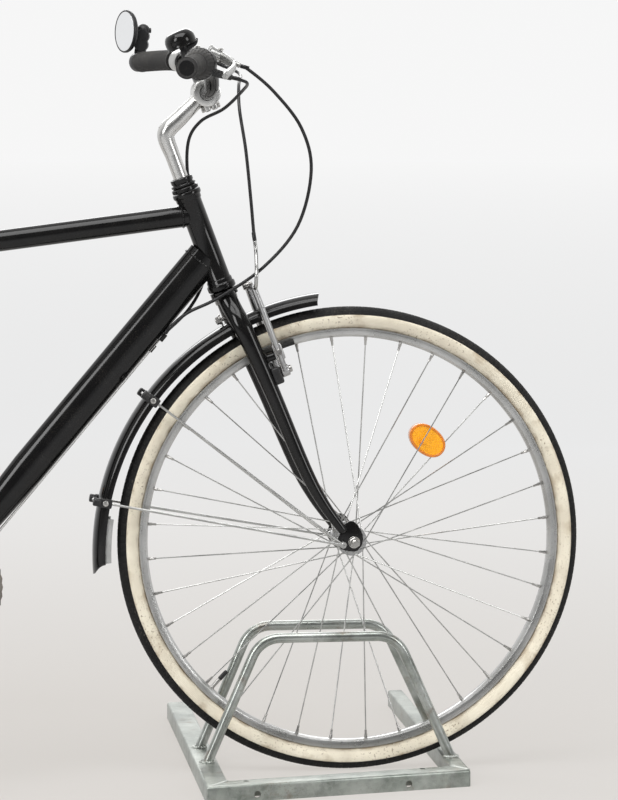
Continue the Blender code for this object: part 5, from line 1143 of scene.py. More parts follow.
def buildStem():
    elbow = onAxis(stem["elbow"])
    clamp = Vector((bike["clampX"], 0.0, bike["clampZ"]))
    reach = clamp - elbow
    bm = bmesh.new()
    rod(bm, onAxis(0.1103), elbow - steerAxis * 0.004, stem["quill"], 40)
    # forged neck: swells out of the quill, leans forward and meets the clamp
    path = smoothPath([elbow - steerAxis * 0.034, elbow - steerAxis * 0.008, elbow + reach * 0.09,
                       elbow + reach * 0.35, elbow + reach * 0.7, clamp], 6)
    sweep(bm, path, lambda t: (0.0112 + 0.0020 * math.sin(math.pi * min(t * 1.25, 1.0)),
                               0.0112 + 0.0030 * math.sin(math.pi * min(t * 1.1, 1.0))), 32, guide=yAxis)
    h, r = stem["clampHalf"], stem["clampRadius"]
    profile = [(0.0117, -h), (r - 0.0020, -h), (r - 0.0006, -h + 0.0006), (r, -h + 0.0022), (r, h - 0.0022),
               (r - 0.0006, h - 0.0006), (r - 0.0020, h), (0.0117, h)]
    revolve(bm, profile, clamp, yAxis, 64, closed=True)
    # ears of the clamp below, with their gap
    down = Vector((0.30, 0.0, -0.95)).normalized()
    across = Vector((0.95, 0.0, 0.30)).normalized()
    for way in (-1, 1):
        turn = placed(across, yAxis, down, clamp + down * 0.0200 + across * way * 0.0055)
        roundedBox(bm, (-0.0042, -0.0105, -0.0060), (0.0042, 0.0105, 0.0078), 0.0020, 3, turn)
    finishPiece("stem_dressed", bm, "polishedAlloy", "rack_and_fork", "stem", sharp=45.0)

    bm = bmesh.new()
    low = clamp + down * 0.0222
    rod(bm, low - across * 0.0125, low + across * 0.0125, 0.0028, 16)
    hexBolt(bm, low + across * 0.0097, across, 0.0095, 0.0050, 0.005)
    hexBolt(bm, low - across * 0.0097, -across, 0.0095, 0.0040)
    top = elbow + steerAxis * 0.0135
    hexBolt(bm, top - steerAxis * 0.007, steerAxis, 0.0100, 0.0050, 0.006)
    finishPiece("stem_bolts", bm, "brightSteel", "rack_and_fork")


def shifterOutlet():
    start = mirrored(barLine(0.152, 0.200, 2))[0] + Vector((0.012, -0.007, -0.011))
    way = Vector((0.034, 0.006, -0.009)).normalized()
    return start + way * 0.034, way


def leverOutlet(side):
    line = barLine(0.128, 0.148, 2)
    middle = (line[0] + line[-1]) / 2
    way = Vector((0.033, -0.004, -0.0155)).normalized()
    place = middle + Vector((0.044, -0.004, 0.003)) + way * 0.012
    if side < 0:
        place.y, way.y = -place.y, -way.y
    return place, way


cables = {"radius": 0.0025, "ferrule": 0.0031}
frontCableEnd = lowerCup + Vector((0.0442, -0.0360, 0.0717))
frontCableWay = Vector((0.10, -0.16, -0.98)).normalized()


def cableRoutes():
    def fromCup(*points):
        return [lowerCup + Vector(point) for point in points]

    routes = {}
    start, way = leverOutlet(1)
    routes["front_brake_cable"] = [
        start + way * 0.00075, start + way * 0.014,
        *fromCup((0.0402, 0.100, 0.3147), (0.0302, 0.036, 0.2987), (0.0262, -0.002, 0.2647),
                 (0.0332, -0.020, 0.2047), (0.0392, -0.029, 0.1347)),
        frontCableEnd - frontCableWay * 0.012, frontCableEnd]
    start, way = leverOutlet(-1)
    stop = stopPlace("rear_brake_cable")
    routes["rear_brake_cable"] = [
        start + way * 0.00075, start + way * 0.014,
        *fromCup((0.0622, -0.115, 0.2927), (0.1052, -0.095, 0.2397), (0.1222, -0.080, 0.1767),
                 (0.1042, -0.066, 0.0947), (0.0542, -0.048, 0.0317), (-0.0098, -0.030, -0.0133),
                 (-0.0528, -0.016, -0.0353)),
        stop - downWay * 0.012, stop]
    start, way = shifterOutlet()
    stop = stopPlace("gear_cable")
    routes["gear_cable"] = [
        start + way * 0.0006, start + way * 0.010,
        *fromCup((0.0202, -0.134, 0.3057), (0.0182, -0.095, 0.2937), (-0.0018, -0.040, 0.2667),
                 (-0.0318, 0.000, 0.2467), (-0.0478, 0.020, 0.2147), (-0.0458, 0.031, 0.1547),
                 (-0.0278, 0.034, 0.0847), (-0.0218, 0.032, 0.0197), (-0.0458, 0.018, -0.0303)),
        stop - downWay * 0.012, stop]
    return routes


def buildCables():
    for name, anchors in cableRoutes().items():
        bm = bmesh.new()
        path = smoothPath(anchors, 8)
        sweep(bm, path, cables["radius"], 16)
        for a, b in ((path[0], path[3]), (path[-1], path[-4])):
            way = (b - a).normalized()
            rod(bm, a - way * 0.0004, a + way * 0.0125, cables["ferrule"], 16, rounded=0.0006)
        held = None if name == "front_brake_cable" else ("frame", path[0], path[-1])
        finishPiece(f"{name}_dressed", bm, "cableSleeve", "rack_and_fork", name, across=held)


buildFork()
buildHeadset()
buildFrameTubes()
buildGuards()
buildStays()
buildBar()
buildStem()
buildCables()
print("fork, frame, guards, bar and cables done")


def carve(bm, cutter):
    # takes one closed shape out of another
    pair = []
    for shape in (bm, cutter):
        merge(shape)
        faceOut(shape)
        mesh = bpy.data.meshes.new("blank")
        shape.to_mesh(mesh)
        pair.append(addObject("blank", mesh))
    cutter.free()
    whole, tool = pair
    change = whole.modifiers.new("carve", "BOOLEAN")
    change.operation, change.solver, change.object = "DIFFERENCE", "EXACT", tool
    result = bpy.data.meshes.new_from_object(whole.evaluated_get(bpy.context.evaluated_depsgraph_get()))
    bm.clear()
    bm.from_mesh(result)
    for blank in pair:
        mesh = blank.data
        bpy.data.objects.remove(blank)
        bpy.data.meshes.remove(mesh)
    bpy.data.meshes.remove(result)


rack = {
    "height": 0.0250, "wall": 0.0030, "round": 0.0034,
    "outline": [(-0.2506, -0.2900), (0.1526, -0.1912), (0.1846, 0.6150), (0.1599, 0.6103), (0.1295, -0.1506),
                (-0.2131, -0.2345), (-0.1772, 0.5397), (-0.2124, 0.5330)],
    "topHoles": [(-0.187, -0.243), (0.084, -0.172)], "frontHoles": [(-0.1743, -0.2713), (0.0568, -0.2147)],
    "hoopRadius": 0.0075, "hoopTop": 0.2085, "bend": 0.045,
    "hoops": {"right": (-0.0680, -0.2224, -0.1423, 0.0625, 0.1450),
              "left": (0.0700, -0.2168, -0.1385, 0.0641, 0.1504)},
}


def weldLine(bm, a, b, width=0.0030, lumps=14):
    a, b = Vector(a), Vector(b)
    path = [a.lerp(b, k / (lumps * 2)) for k in range(lumps * 2 + 1)]
    sweep(bm, path, lambda t: (width * (1 + 0.14 * math.cos(t * 2 * math.pi * lumps)), 0.0011), 10,
          rounded=0.0010)


def buildRackBase():
    bm = bmesh.new()
    plate(bm, rack["outline"], (0, 0, 0), (1, 0, 0), (0, 1, 0), 0.0, rack["height"], 0.0)
    # folded from sheet: open below
    faceOut(bm)
    under = max((f for f in bm.faces if max(v.co.z for v in f.verts) < 0.0005), key=lambda f: f.calc_area())
    inset(bm, [under], rack["wall"], 0.0)
    inset(bm, [under], 0.0001, rack["wall"] - rack["height"])
    holes = bmesh.new()
    for x, y in rack["topHoles"]:
        rod(holes, (x, y, 0.015), (x, y, 0.030), 0.0045, 24)
    for x, y in rack["frontHoles"]:
        rod(holes, (x, y - 0.010, 0.0100), (x, y + 0.010, 0.0100), 0.0050, 24)
    carve(bm, holes)
    corners = rack["outline"]

    def outside(v):
        return min(math.hypot(v.co.x - x, v.co.y - y) for x, y in corners) < 0.0005

    edges = [e for e in bm.edges if len(e.link_faces) == 2 and e.calc_face_angle(0.0) > 0.5
             and max(v.co.z for v in e.verts) > 0.020 and outside(e.verts[0]) and outside(e.verts[1])]
    bevelled(bm, edges, rack["round"], 4)
    finishPiece("rack_base_dressed", bm, "galvanised", "rack_and_fork", "rack_base", sharp=32.0)

    bm = bmesh.new()
    for a, b in ((0, 5), (1, 4)):
        (ax, ay), (bx, by) = corners[a], corners[b]
        start, end = Vector((ax, ay, rack["height"])), Vector((bx, by, rack["height"]))
        weldLine(bm, start.lerp(end, 0.10), start.lerp(end, 0.97))
    for y, footLeft, _, _, footRight in rack["hoops"].values():
        for x in (footLeft, footRight):
            bead(bm, (x, y, rack["height"] + 0.0006), (0, 0, 1), rack["hoopRadius"] + 0.0016, 0.0024, 15)
    finishPiece("rack_welds", bm, "weldZinc", "rack_and_fork")


def hoopPath(y, footLeft, cornerLeft, cornerRight, footRight):
    top, bend = rack["hoopTop"], rack["bend"]
    path = []
    for corner, foot, way in ((cornerLeft, footLeft, -1.0), (cornerRight, footRight, 1.0)):
        bottom = Vector((foot, y, rack["height"] - 0.002))
        leg = (bottom - Vector((corner, y, top))).normalized()
        turn = math.acos(way * leg.x)
        mid = Vector((corner - way * bend * math.tan(turn / 2), y, top - bend))
        arc = [mid + Vector((way * bend * math.sin(turn * k / 9), 0.0, bend * math.cos(turn * k / 9)))
               for k in range(10)]
        down = arc + [arc[-1].lerp(bottom, k / 4) for k in range(1, 5)]
        path += down[::-1] if way < 0 else down
    return path


def buildHoops():
    for word, shape in rack["hoops"].items():
        bm = bmesh.new()
        sweep(bm, hoopPath(*shape), rack["hoopRadius"], 32, guide=yAxis)
        finishPiece(f"rack_hoop_{word}_dressed", bm, "hoopZinc", "rack_and_fork", f"rack_hoop_{word}")


axle = {"radius": 0.00475, "across": 0.0150, "washer": 0.0088, "past": 0.0150}


def buildAxle(word, centre, body, half):
    bm = bmesh.new()
    end = half + axle["past"]
    r = axle["radius"]
    thread = [(r - 0.0012, end), (r - 0.0002, end - 0.0009)]
    for k in range(7):
        h = end - 0.0010 - k * 0.0009
        thread += [(r, h), (r - 0.0004, h - 0.00045)]
    right = [(a, -b) for a, b in [(0.0, end)] + thread]
    left = thread[::-1] + [(0.0, end)]
    revolve(bm, right + left, centre, steps=32)
    for side in (-1, 1):
        way = yAxis * side
        for inner, low, high, ring in ((r + 0.0001, 0.0001, 0.0016, axle["washer"]),
                                       (r + 0.0001, -0.0145, -0.0054, axle["washer"])):
            profile = [(inner, low), (ring - 0.0003, low), (ring, low + 0.0003), (ring, high - 0.0003),
                       (ring - 0.0003, high), (inner, high)]
            revolve(bm, profile, centre + way * half, way, 40, closed=True)
        hexBolt(bm, centre + way * (half + 0.0015), way, axle["across"], 0.0072)
    finishPiece(f"{word}_axle_dressed", bm, "nutChrome", body, f"{word}_axle", sharp=30.0)


shifter = {"inner": 0.152, "joint": 0.168, "outer": 0.199, "wide": 0.0240, "narrow": 0.0170}


def buildShifter():
    line = mirrored(evenLine(shifter["inner"], shifter["joint"], 13))
    bm = bmesh.new()

    def housing(t):
        edge = max(0.0, 1 - min(t, 1 - t) / 0.10)
        return shifter["wide"] - 0.0010 * edge * edge - 0.0004 * t

    barSleeve(bm, line, 0.0116, housing, 48)
    outlet, way = shifterOutlet()
    horn = outlet - way * 0.034
    sweep(bm, [horn.lerp(outlet, k / 6) for k in range(7)], lambda t: (0.0068 - 0.0024 * t,) * 2, 24,
          rounded=0.0008)
    revolve(bm, [(0, -0.008), (0.0048, -0.008), (0.0048, -0.0015), (0.0040, -0.0002), (0.0030, 0.0),
                 (0, 0.0)],
            outlet, way, 24)
    finishPiece("gear_shifter_housing", bm, "blackPlastic", "rack_and_fork", "gear_shifter")

    # twisting barrel: ribs along it for the thumb
    line = mirrored(evenLine(shifter["joint"] + 0.0006, shifter["outer"], 25))
    bm = bmesh.new()

    def barrel(t):
        edge = max(0.0, 1 - min(t, 1 - t) / 0.06)
        return 0.0229 - (0.0229 - shifter["narrow"]) * t ** 1.5 - 0.0008 * edge * edge

    barSleeve(bm, line, 0.0116, barrel, 96)
    bmesh.ops.recalc_face_normals(bm, faces=bm.faces)
    a, b = line[0], line[-1]
    way = (b - a).normalized()
    ribs = []
    for f in bm.faces:
        from_a = f.calc_center_median() - a
        along = from_a.dot(way)
        if 0.0020 < along < (b - a).length - 0.0030 and f.normal.dot(from_a - way * along) > 0:
            turn = math.atan2((from_a - way * along).z, (from_a - way * along).x)
            if round((turn + math.pi) / (2 * math.pi) * 96 - 0.5) % 4 < 2:
                ribs.append(f)
    inset(bm, ribs, 0.0002, -0.0007)
    finishPiece("gear_shifter_barrel", bm, "gripRubber", "rack_and_fork")

    bm = bmesh.new()
    middle = line[0] + Vector((0.0075, 0.0085, 0.0205))
    roundedBox(bm, (-0.0060, -0.0052, -0.0016), (0.0060, 0.0052, 0.0016), 0.0012, 3,
               Matrix.Translation(middle) @ Matrix.Rotation(0.35, 4, "Y"))
    finishPiece("gear_window", bm, "clearGrey", "rack_and_fork")


lever = {"clamp": (0.128, 0.148), "clampRadius": 0.0165, "tipHeight": 0.030}


def buildLever(side):
    word = sideWord[side]
    inner, outer = lever["clamp"]
    line = evenLine(inner, outer, 11)
    line = line if side > 0 else mirrored(line)
    middle = (line[0] + line[-1]) / 2
    perch = middle + Vector((0.011, 0.0, 0.0185))
    nose = middle + Vector((0.044, side * -0.004, 0.003))
    bm = bmesh.new()
    barSleeve(bm, line, 0.0115, lambda t: lever["clampRadius"] - 0.0012 * abs(2 * t - 1) ** 6, 40)
    body = smoothPath([perch - (nose - perch) * 0.12, perch, perch.lerp(nose, 0.5), nose], 5)
    sweep(bm, body, lambda t: (0.0088 - 0.0032 * t, 0.0102 - 0.0046 * t), 28, rounded=0.0022)
    outlet, way = leverOutlet(side)
    profile = [(0, -0.016), (0.0029, -0.016), (0.0029, -0.0105), (0.0040, -0.0100)]
    for k in range(6):
        profile += [(0.0040, -0.0096 + k * 0.0012), (0.0036, -0.0090 + k * 0.0012)]
    profile += [(0.0040, -0.0022), (0.0038, -0.0008), (0.0028, 0.0), (0, 0.0)]
    revolve(bm, profile, outlet, way, 28)
    finishPiece(f"brake_lever_{word}_perch", bm, "leverAlloy", "rack_and_fork", f"brake_lever_{word}")

    pivot = perch.lerp(nose, 0.45)
    tip = Vector((bike["clampX"] - 0.006, side * 0.268, bike["clampZ"] + lever["tipHeight"]))
    bend = pivot.lerp(tip, 0.45) + Vector((0.016, 0.0, -0.004))
    blade = smoothPath([pivot, pivot.lerp(bend, 0.5) + Vector((0.004, 0, 0)), bend, tip], 10)
    bm = bmesh.new()

    def bladeShape(t):
        ball = max(0.0, 1 - abs(t - 0.965) / 0.035) ** 0.5
        return 0.0042 - 0.0006 * math.sin(math.pi * t) + 0.0016 * ball, 0.0078 - 0.0018 * t + 0.0008 * ball

    sweep(bm, blade, bladeShape, 24, rounded=0.0026)
    finishPiece(f"brake_lever_{word}_blade", bm, "leverAlloy", "rack_and_fork")
    bm = bmesh.new()
    up = Vector((0, 0, 1))
    rod(bm, pivot - up * 0.0098, pivot + up * 0.0098, 0.0030, 20)
    hexBolt(bm, pivot + up * 0.0094, up, 0.0080, 0.0024, 0.0040)
    below = middle + Vector((0.0015, 0.0, -0.0175))
    hexBolt(bm, below, Vector((0.30, 0.0, -0.95)), 0.0075, 0.0030, 0.0040)
    rod(bm, below + Vector((0, 0, 0.004)), below, 0.0045, 16)
    finishPiece(f"brake_lever_{word}_bolts", bm, "brightSteel", "rack_and_fork")


bell = {"clamp": (0.098, 0.112), "axis": (-0.40, 0.0, 0.92), "radius": 0.0236, "stand": 0.0215}


def buildBell():
    line = evenLine(*bell["clamp"], 9)
    middle = (line[0] + line[-1]) / 2
    axis = Vector(bell["axis"]).normalized()
    base = middle + axis * bell["stand"]
    bm = bmesh.new()
    barSleeve(bm, line, 0.0115, lambda t: 0.0150 - 0.0010 * abs(2 * t - 1) ** 6, 40)
    revolve(bm, [(0, -0.009), (0.0078, -0.009), (0.0070, 0.0030), (0.0060, 0.0050), (0.0060, 0.0110),
                 (0, 0.0110)],
            base, axis, 32)
    aside = axis.cross(yAxis).normalized()
    path = [base + axis * 0.0060, base + axis * 0.0060 - aside * 0.012, base + axis * 0.0080 - aside * 0.0195,
            base + axis * 0.0140 - aside * 0.0235]
    sweep(bm, smoothPath(path, 5), lambda t: (0.0042 - 0.0010 * t, 0.0020), 16, guide=yAxis, rounded=0.0008)
    finishPiece("bell_base", bm, "blackPlastic", "rack_and_fork", "bell")
    r = bell["radius"]
    dome = [(r - 0.0014, 0.0104), (r - 0.0003, 0.0106), (r, 0.0112), (r, 0.0126), (r - 0.0004, 0.0132),
            (r - 0.0002, 0.0190), (r - 0.0006, 0.0230), (r - 0.0018, 0.0268), (r - 0.0040, 0.0302),
            (r - 0.0072, 0.0328), (r - 0.0110, 0.0343), (0.0040, 0.0350), (0.0, 0.0351)]
    bm = bmesh.new()
    revolve(bm, [(0, 0.0128), (r - 0.0030, 0.0124), (r - 0.0022, 0.0108)] + dome, base, axis, 64)
    finishPiece("bell_dome", bm, "glossBlack", "rack_and_fork")


mirror = {"face": (-0.93, -0.36, 0.05), "radius": 0.0345}


def buildMirror():
    line = barLine(0.250, bike["barHalf"])
    end = line[-1]
    way = (line[-1] - line[-3]).normalized()
    face = Vector(mirror["face"]).normalized()
    top = end + Vector((0.004, 0.010, 0.048))
    head = top + Vector((-0.014, 0.004, -0.002))
    centre = head + face * 0.008
    bm = bmesh.new()
    revolve(bm, [(0, -0.012), (0.0116, -0.012), (0.0116, 0.0002), (0.0146, 0.0004), (0.0150, 0.0012),
                 (0.0150, 0.0150),
                 (0.0142, 0.0170), (0.0120, 0.0180), (0, 0.0182)], end, way, 40)
    foot = end + way * 0.0098
    path = smoothPath([foot, foot.lerp(top, 0.35) + way * 0.002, foot.lerp(top, 0.7), top], 5)
    sweep(bm, path, lambda t: (0.0088 - 0.0010 * math.sin(math.pi * t), 0.0090), 24, rounded=0.0020)
    for share in (0.55, 0.82):
        revolve(bm, [(0, -0.0098), (0.0098, -0.0098), (0.0106, -0.0088), (0.0106, 0.0088), (0.0098, 0.0098),
                     (0, 0.0098)],
                foot.lerp(top, share), Vector((0.2, 1, 0)), 32)
    bmesh.ops.create_uvsphere(bm, u_segments=32, v_segments=16, radius=0.0102, matrix=Matrix.Translation(top))
    rod(bm, top, centre - face * 0.003, 0.0060, 20)
    revolve(bm, [(0, -0.0040), (0.0120, -0.0038), (0.0200, -0.0030), (0.0270, -0.0012), (0.0310, 0.0012),
                 (0.0328, 0.0040), (0.0330, 0.0072), (0.0325, 0.0084), (0.0316, 0.0090), (0.0308, 0.0086),
                 (0.0306, 0.0066), (0, 0.0066)], centre, face, 64)
    hexBolt(bm, top + Vector((0.0085, 0, 0)), (1, 0, 0), 0.0080, 0.0035, 0.0040)
    finishPiece("mirror_housing", bm, "blackPlastic", "rack_and_fork", "mirror")
    bm = bmesh.new()
    revolve(bm, [(0, 0.0060), (0.0307, 0.0060), (0.0307, 0.0078), (0.0302, 0.0083), (0.0200, 0.0087),
                 (0, 0.0089)],
            centre, face, 64)
    finishPiece("mirror_glass", bm, "mirrorGlass", "rack_and_fork")


def buildReflector():
    centre = roundWheel(frontHub, 0.188, 50.8)
    out = (centre - frontHub).normalized()
    along = Vector((-out.z, 0, out.x))
    turns = [2 * math.pi * k / 56 for k in range(56)]
    outline = [(0.030 * math.copysign(abs(math.cos(t)) ** 0.92, math.cos(t)),
                0.021 * math.copysign(abs(math.sin(t)) ** 0.92, math.sin(t))) for t in turns]
    bm = bmesh.new()
    plate(bm, outline, centre, along, out, -0.0080, 0.0080, 0.0016, 3)
    broad = sorted(bm.faces, key=lambda f: -f.calc_area())[:2]
    bmesh.ops.inset_individual(bm, faces=broad, thickness=0.0020, depth=0.0, use_even_offset=True)
    bmesh.ops.inset_individual(bm, faces=broad, thickness=0.0004, depth=-0.0006, use_even_offset=True)
    for f in bm.faces:
        f.material_index = 1
    for f in broad:
        f.material_index = 0
    finishPiece("reflector_lens", bm, ["amberLens", "amberRim"], "front_wheel", "front_wheel_reflector")
    bm = bmesh.new()
    for hole, _, end in spokeLines(*hubs["front"][1]):
        place = frontHub + hole.lerp(end, 0.581)
        offset = place - centre
        if abs(offset.dot(along)) < 0.024 and abs(offset.dot(out)) < 0.012:
            side = 1 if place.y > 0 else -1
            rod(bm, (place.x, side * 0.004, place.z), place + yAxis * side * 0.0014, 0.0026, 16,
                rounded=0.0006)
    finishPiece("reflector_clips", bm, "amberRim", "front_wheel")


brake = {"padHalf": 0.030, "padDeep": 0.0048, "padReach": 0.30975, "padSide": 0.01775}


def buildBrakeArm(name, pivot, up, out, side, body, hubPlace, below=0.0, slotUp=0.030):
    y = yAxis * side
    base = pivot + out * 0.0003
    middle = base + out * 0.006
    low = base - up * below
    bm = bmesh.new()
    revolve(bm, [(0, 0), (0.0082, 0), (0.0090, 0.0010), (0.0090, 0.0105), (0.0080, 0.0120), (0, 0.0120)],
            low, out, 36)
    path = smoothPath([middle - up * (below + 0.002), middle + up * 0.030 + y * 0.004,
                       middle + up * 0.070 + y * 0.002, middle + up * 0.110 - y * 0.004], 8)
    sweep(bm, path, lambda t: (0.0094 - 0.0034 * t, 0.0052 - 0.0006 * t), 24, guide=out, rounded=0.0022)
    slot = middle + up * slotUp
    # raised slot round the shoe's bolt
    roundedBox(bm, (-0.0072, -0.0125, -0.0030), (0.0072, 0.0125, 0.0030), 0.0022, 3,
               placed(up.cross(y).normalized(), up, y, slot + y * 0.0060))
    finishPiece(f"{name}_dressed", bm, "satinAlloy", body, name)
    # black block that holds the return spring
    bm = bmesh.new()
    roundedBox(bm, (-0.0070, -0.0100, -0.0135), (0.0070, 0.0100, 0.0120), 0.0032, 4,
               placed(out, up.cross(out).normalized(), up, low - out * 0.0075 - up * 0.0020))
    finishPiece(f"{name}_spring_block", bm, "blackPlastic", body)

    aim = slot - hubPlace
    aim.y = 0
    outward = aim.normalized()
    target = hubPlace + outward * brake["padReach"]
    along = Vector((-outward.z, 0, outward.x))
    centre = Vector((target.x, side * (brake["padSide"] + 0.005), target.z))
    bm = bmesh.new()
    # shoe that follows the rim, with water grooves in its face
    half = brake["padHalf"]
    line = []
    for k in range(9):
        s = -1 + 2 * k / 8
        line.append(centre + along * (half * s) - outward * (0.0012 * s * s))
    sweep(bm, line, lambda t: (brake["padDeep"], brake["padDeep"] - 0.0006 * (2 * t - 1) ** 4), 8,
          guide=yAxis,
          rounded=0.0016)
    for s in (-0.012, 0.0, 0.012):
        ring = centre + along * s - yAxis * side * 0.0049
        roundedBox(bm, (-0.0012, -0.0003, -0.0040), (0.0012, 0.0003, 0.0040), 0.0002, 1,
                   Matrix.Translation(ring) @ Matrix.Rotation(-math.atan2(along.z, along.x), 4, "Y"))
    finishPiece(f"{name}_pad", bm, "padRubber", body)

    bm = bmesh.new()
    start = Vector((target.x, side * (brake["padSide"] + 0.006), target.z))
    stop = Vector((slot.x, slot.y + side * 0.010, slot.z))
    way = (stop - start).normalized()
    rod(bm, start, stop + way * 0.001, 0.0030, 20)
    for share, r in ((0.42, 0.0072), (0.62, 0.0078), (0.92, 0.0070)):
        place = start.lerp(stop, share)
        revolve(bm, [(0.0031, -0.0010), (r - 0.0004, -0.0010), (r, -0.0005), (r, 0.0005),
                     (r - 0.0004, 0.0010),
                     (0.0031, 0.0010)], place, way, 28, closed=True)
    hexBolt(bm, stop, yAxis * side, 0.0095, 0.0040, 0.0045)
    hexBolt(bm, low + out * 0.0118, out, 0.0105, 0.0050, 0.0050)
    # return spring beside the arm
    spring = [low + out * 0.0015 + y * 0.0105, low + out * 0.0015 + y * 0.0110 + up * 0.020,
              middle - out * 0.0050 + up * 0.050 + y * 0.0086,
              middle - out * 0.0050 + up * 0.064 + y * 0.0070]
    sweep(bm, smoothPath(spring, 5), 0.0009, 10)
    finishPiece(f"{name}_fittings", bm, "brightSteel", body)


def buildBridgeWire(word, pivot, up, out, body):
    # from one arm's head to the other, through a ribbed boot, to the pinch bolt
    head = pivot + out * 0.0066 + up * 0.104 + yAxis * 0.0035
    reach = 2 * abs(head.y) - 0.0075
    far = head + yAxis * reach
    bm = bmesh.new()
    rod(bm, head, far + yAxis * 0.010, 0.0008, 10)
    hexBolt(bm, far + out * 0.0035, out, 0.0085, 0.0040, 0.0040)
    revolve(bm, [(0, -0.0080), (0.0045, -0.0080), (0.0052, -0.0070), (0.0052, 0.0030), (0, 0.0030)], far, out,
            24)
    finishPiece(f"{word}_brake_wire", bm, "brightSteel", body)
    bm = bmesh.new()
    profile = [(0, 0.0040), (0.0024, 0.0040)]
    span = reach * 0.55
    for k in range(12):
        h = 0.0055 + (span - 0.010) * k / 11
        profile += [(0.0037, h), (0.0028, h + (span - 0.010) / 22)]
    profile += [(0.0016, span), (0, span)]
    revolve(bm, profile, head, yAxis, 20)
    finishPiece(f"{word}_brake_boot", bm, "gripRubber", body)


def buildFrontBrake():
    for side in (-1, 1):
        word = sideWord[side]
        pivot = frontBoss(side) + steerAhead * fork["bossLong"]
        buildBrakeArm(f"front_brake_arm_{word}", pivot, steerAxis, steerAhead, side, "rack_and_fork",
                      frontHub,
                      fork["springDrop"], 0.004)
    pivot = frontBoss(-1) + steerAhead * fork["bossLong"]
    buildBridgeWire("front", pivot, steerAxis, steerAhead, "rack_and_fork")
    # bent guide tube between the cable's end and the right arm's head
    head = pivot + steerAhead * 0.0066 + steerAxis * 0.104 + yAxis * 0.0035
    anchors = [frontCableEnd + frontCableWay * 0.0006, frontCableEnd + frontCableWay * 0.014,
               frontCableEnd + Vector((0.001, -0.012, -0.032)), head + Vector((0, -0.024, 0.020)),
               head + Vector((0, -0.016, 0.003)), head + Vector((0, -0.002, 0))]
    bm = bmesh.new()
    sweep(bm, smoothPath(anchors, 8), 0.0028, 20, rounded=0.0006)
    finishPiece("brake_noodle", bm, "noodleSteel", "rack_and_fork")


buildRackBase()
buildHoops()
buildAxle("front", frontHub, "rack_and_fork", 0.0553)
buildShifter()
buildLever(-1)
buildLever(1)
buildBell()
buildMirror()
buildReflector()
buildFrontBrake()
print("rack, controls and front brake done")

seat = {"angle": 72.5, "length": 0.535, "tube": 0.0143, "shell": 0.0195, "shellHalf": 0.034, "post": 0.0116}
seatTurn = math.radians(seat["angle"])
seatWay = Vector((-math.cos(seatTurn), 0.0, math.sin(seatTurn)))
seatTop = bracket + seatWay * seat["length"]
saddleClamp = seatTop + seatWay * 0.068


def buildSeatTube():
    bm = bmesh.new()
    rod(bm, bracket + seatWay * 0.008, seatTop - seatWay * 0.0003, seat["tube"], 40)
    h, r = seat["shellHalf"], seat["shell"]
    revolve(bm, [(0.0172, -h), (r - 0.0008, -h), (r, -h + 0.0008), (r, h - 0.0008), (r - 0.0008, h),
                 (0.0172, h),
                 (0.0172, h - 0.004), (0, h - 0.004), (0, -h + 0.004), (0.0172, -h + 0.004)], bracket,
            steps=56, closed=True)
    bead(bm, bracket + seatWay * 0.0195, seatWay, 0.0146, 0.0016, 20)
    finishPiece("seat_tube_dressed", bm, "glossBlack", "frame", "seat_tube")
    bm = bmesh.new()
    t = seat["tube"]
    revolve(bm, [(t + 0.0001, -0.014), (t + 0.0022, -0.014), (t + 0.0028, -0.0134), (t + 0.0028, -0.0008),
                 (t + 0.0020, 0.0), (t + 0.0001, 0.0)], seatTop, seatWay, 48, closed=True)
    back = seatTop - seatWay * 0.007 + Vector((-seatWay.z, 0, seatWay.x)) * (t + 0.0055)
    roundedBox(bm, (-0.0045, -0.0085, -0.0062), (0.0045, 0.0085, 0.0062), 0.0020, 3,
               Matrix.Translation(back) @ Matrix.Rotation(-(math.pi / 2 - seatTurn), 4, "Y"))
    finishPiece("seat_collar", bm, "satinAlloy", "frame")
    bm = bmesh.new()
    rod(bm, back - yAxis * 0.0100, back + yAxis * 0.0100, 0.0026, 16)
    hexBolt(bm, back - yAxis * 0.0084, -yAxis, 0.0085, 0.0040, 0.0045)
    hexBolt(bm, back + yAxis * 0.0084, yAxis, 0.0085, 0.0030)
    # cups of the crank bearing
    for side in (-1, 1):
        revolve(bm, [(0.0092, -0.001), (0.0166, -0.001), (0.0166, 0.0016), (0.0158, 0.0022),
                     (0.0092, 0.0022)],
                bracket + yAxis * side * seat["shellHalf"], yAxis * side, 40, closed=True)
    finishPiece("frame_fittings", bm, "brightSteel", "frame")

    bm = bmesh.new()
    rod(bm, seatTop - seatWay * 0.060, seatTop + seatWay * 0.060, seat["post"], 40)
    c = saddleClamp
    roundedBox(bm, (c.x - 0.022, -0.027, c.z - 0.010), (c.x + 0.022, 0.027, c.z + 0.012), 0.0040, 4)
    finishPiece("seatpost_dressed", bm, "polishedAlloy", "frame", "seatpost")


saddle = {
    "over": 0.0899, "sag": 0.006, "sagReach": 0.14, "lift": 0.012,
    "stations": [(0.150, 0.014, 0.012), (0.140, 0.022, 0.022), (0.120, 0.0245, 0.027), (0.095, 0.026, 0.030),
                 (0.040, 0.033, 0.034), (-0.020, 0.055, 0.038), (-0.070, 0.076, 0.044),
                 (-0.105, 0.082, 0.046),
                 (-0.122, 0.070, 0.036), (-0.128, 0.045, 0.018)],
}


def saddleCrown(x, raised):
    # raised is how much of the tail's lift is there, from 0 to 1
    sag = saddle["sag"] * (x / saddle["sagReach"]) ** 2
    return saddleClamp.z + saddle["over"] + sag + saddle["lift"] * raised


def crownAt(x):
    return saddleCrown(x, max(0.0, min(1.0, (-0.035 - x) / 0.045)))


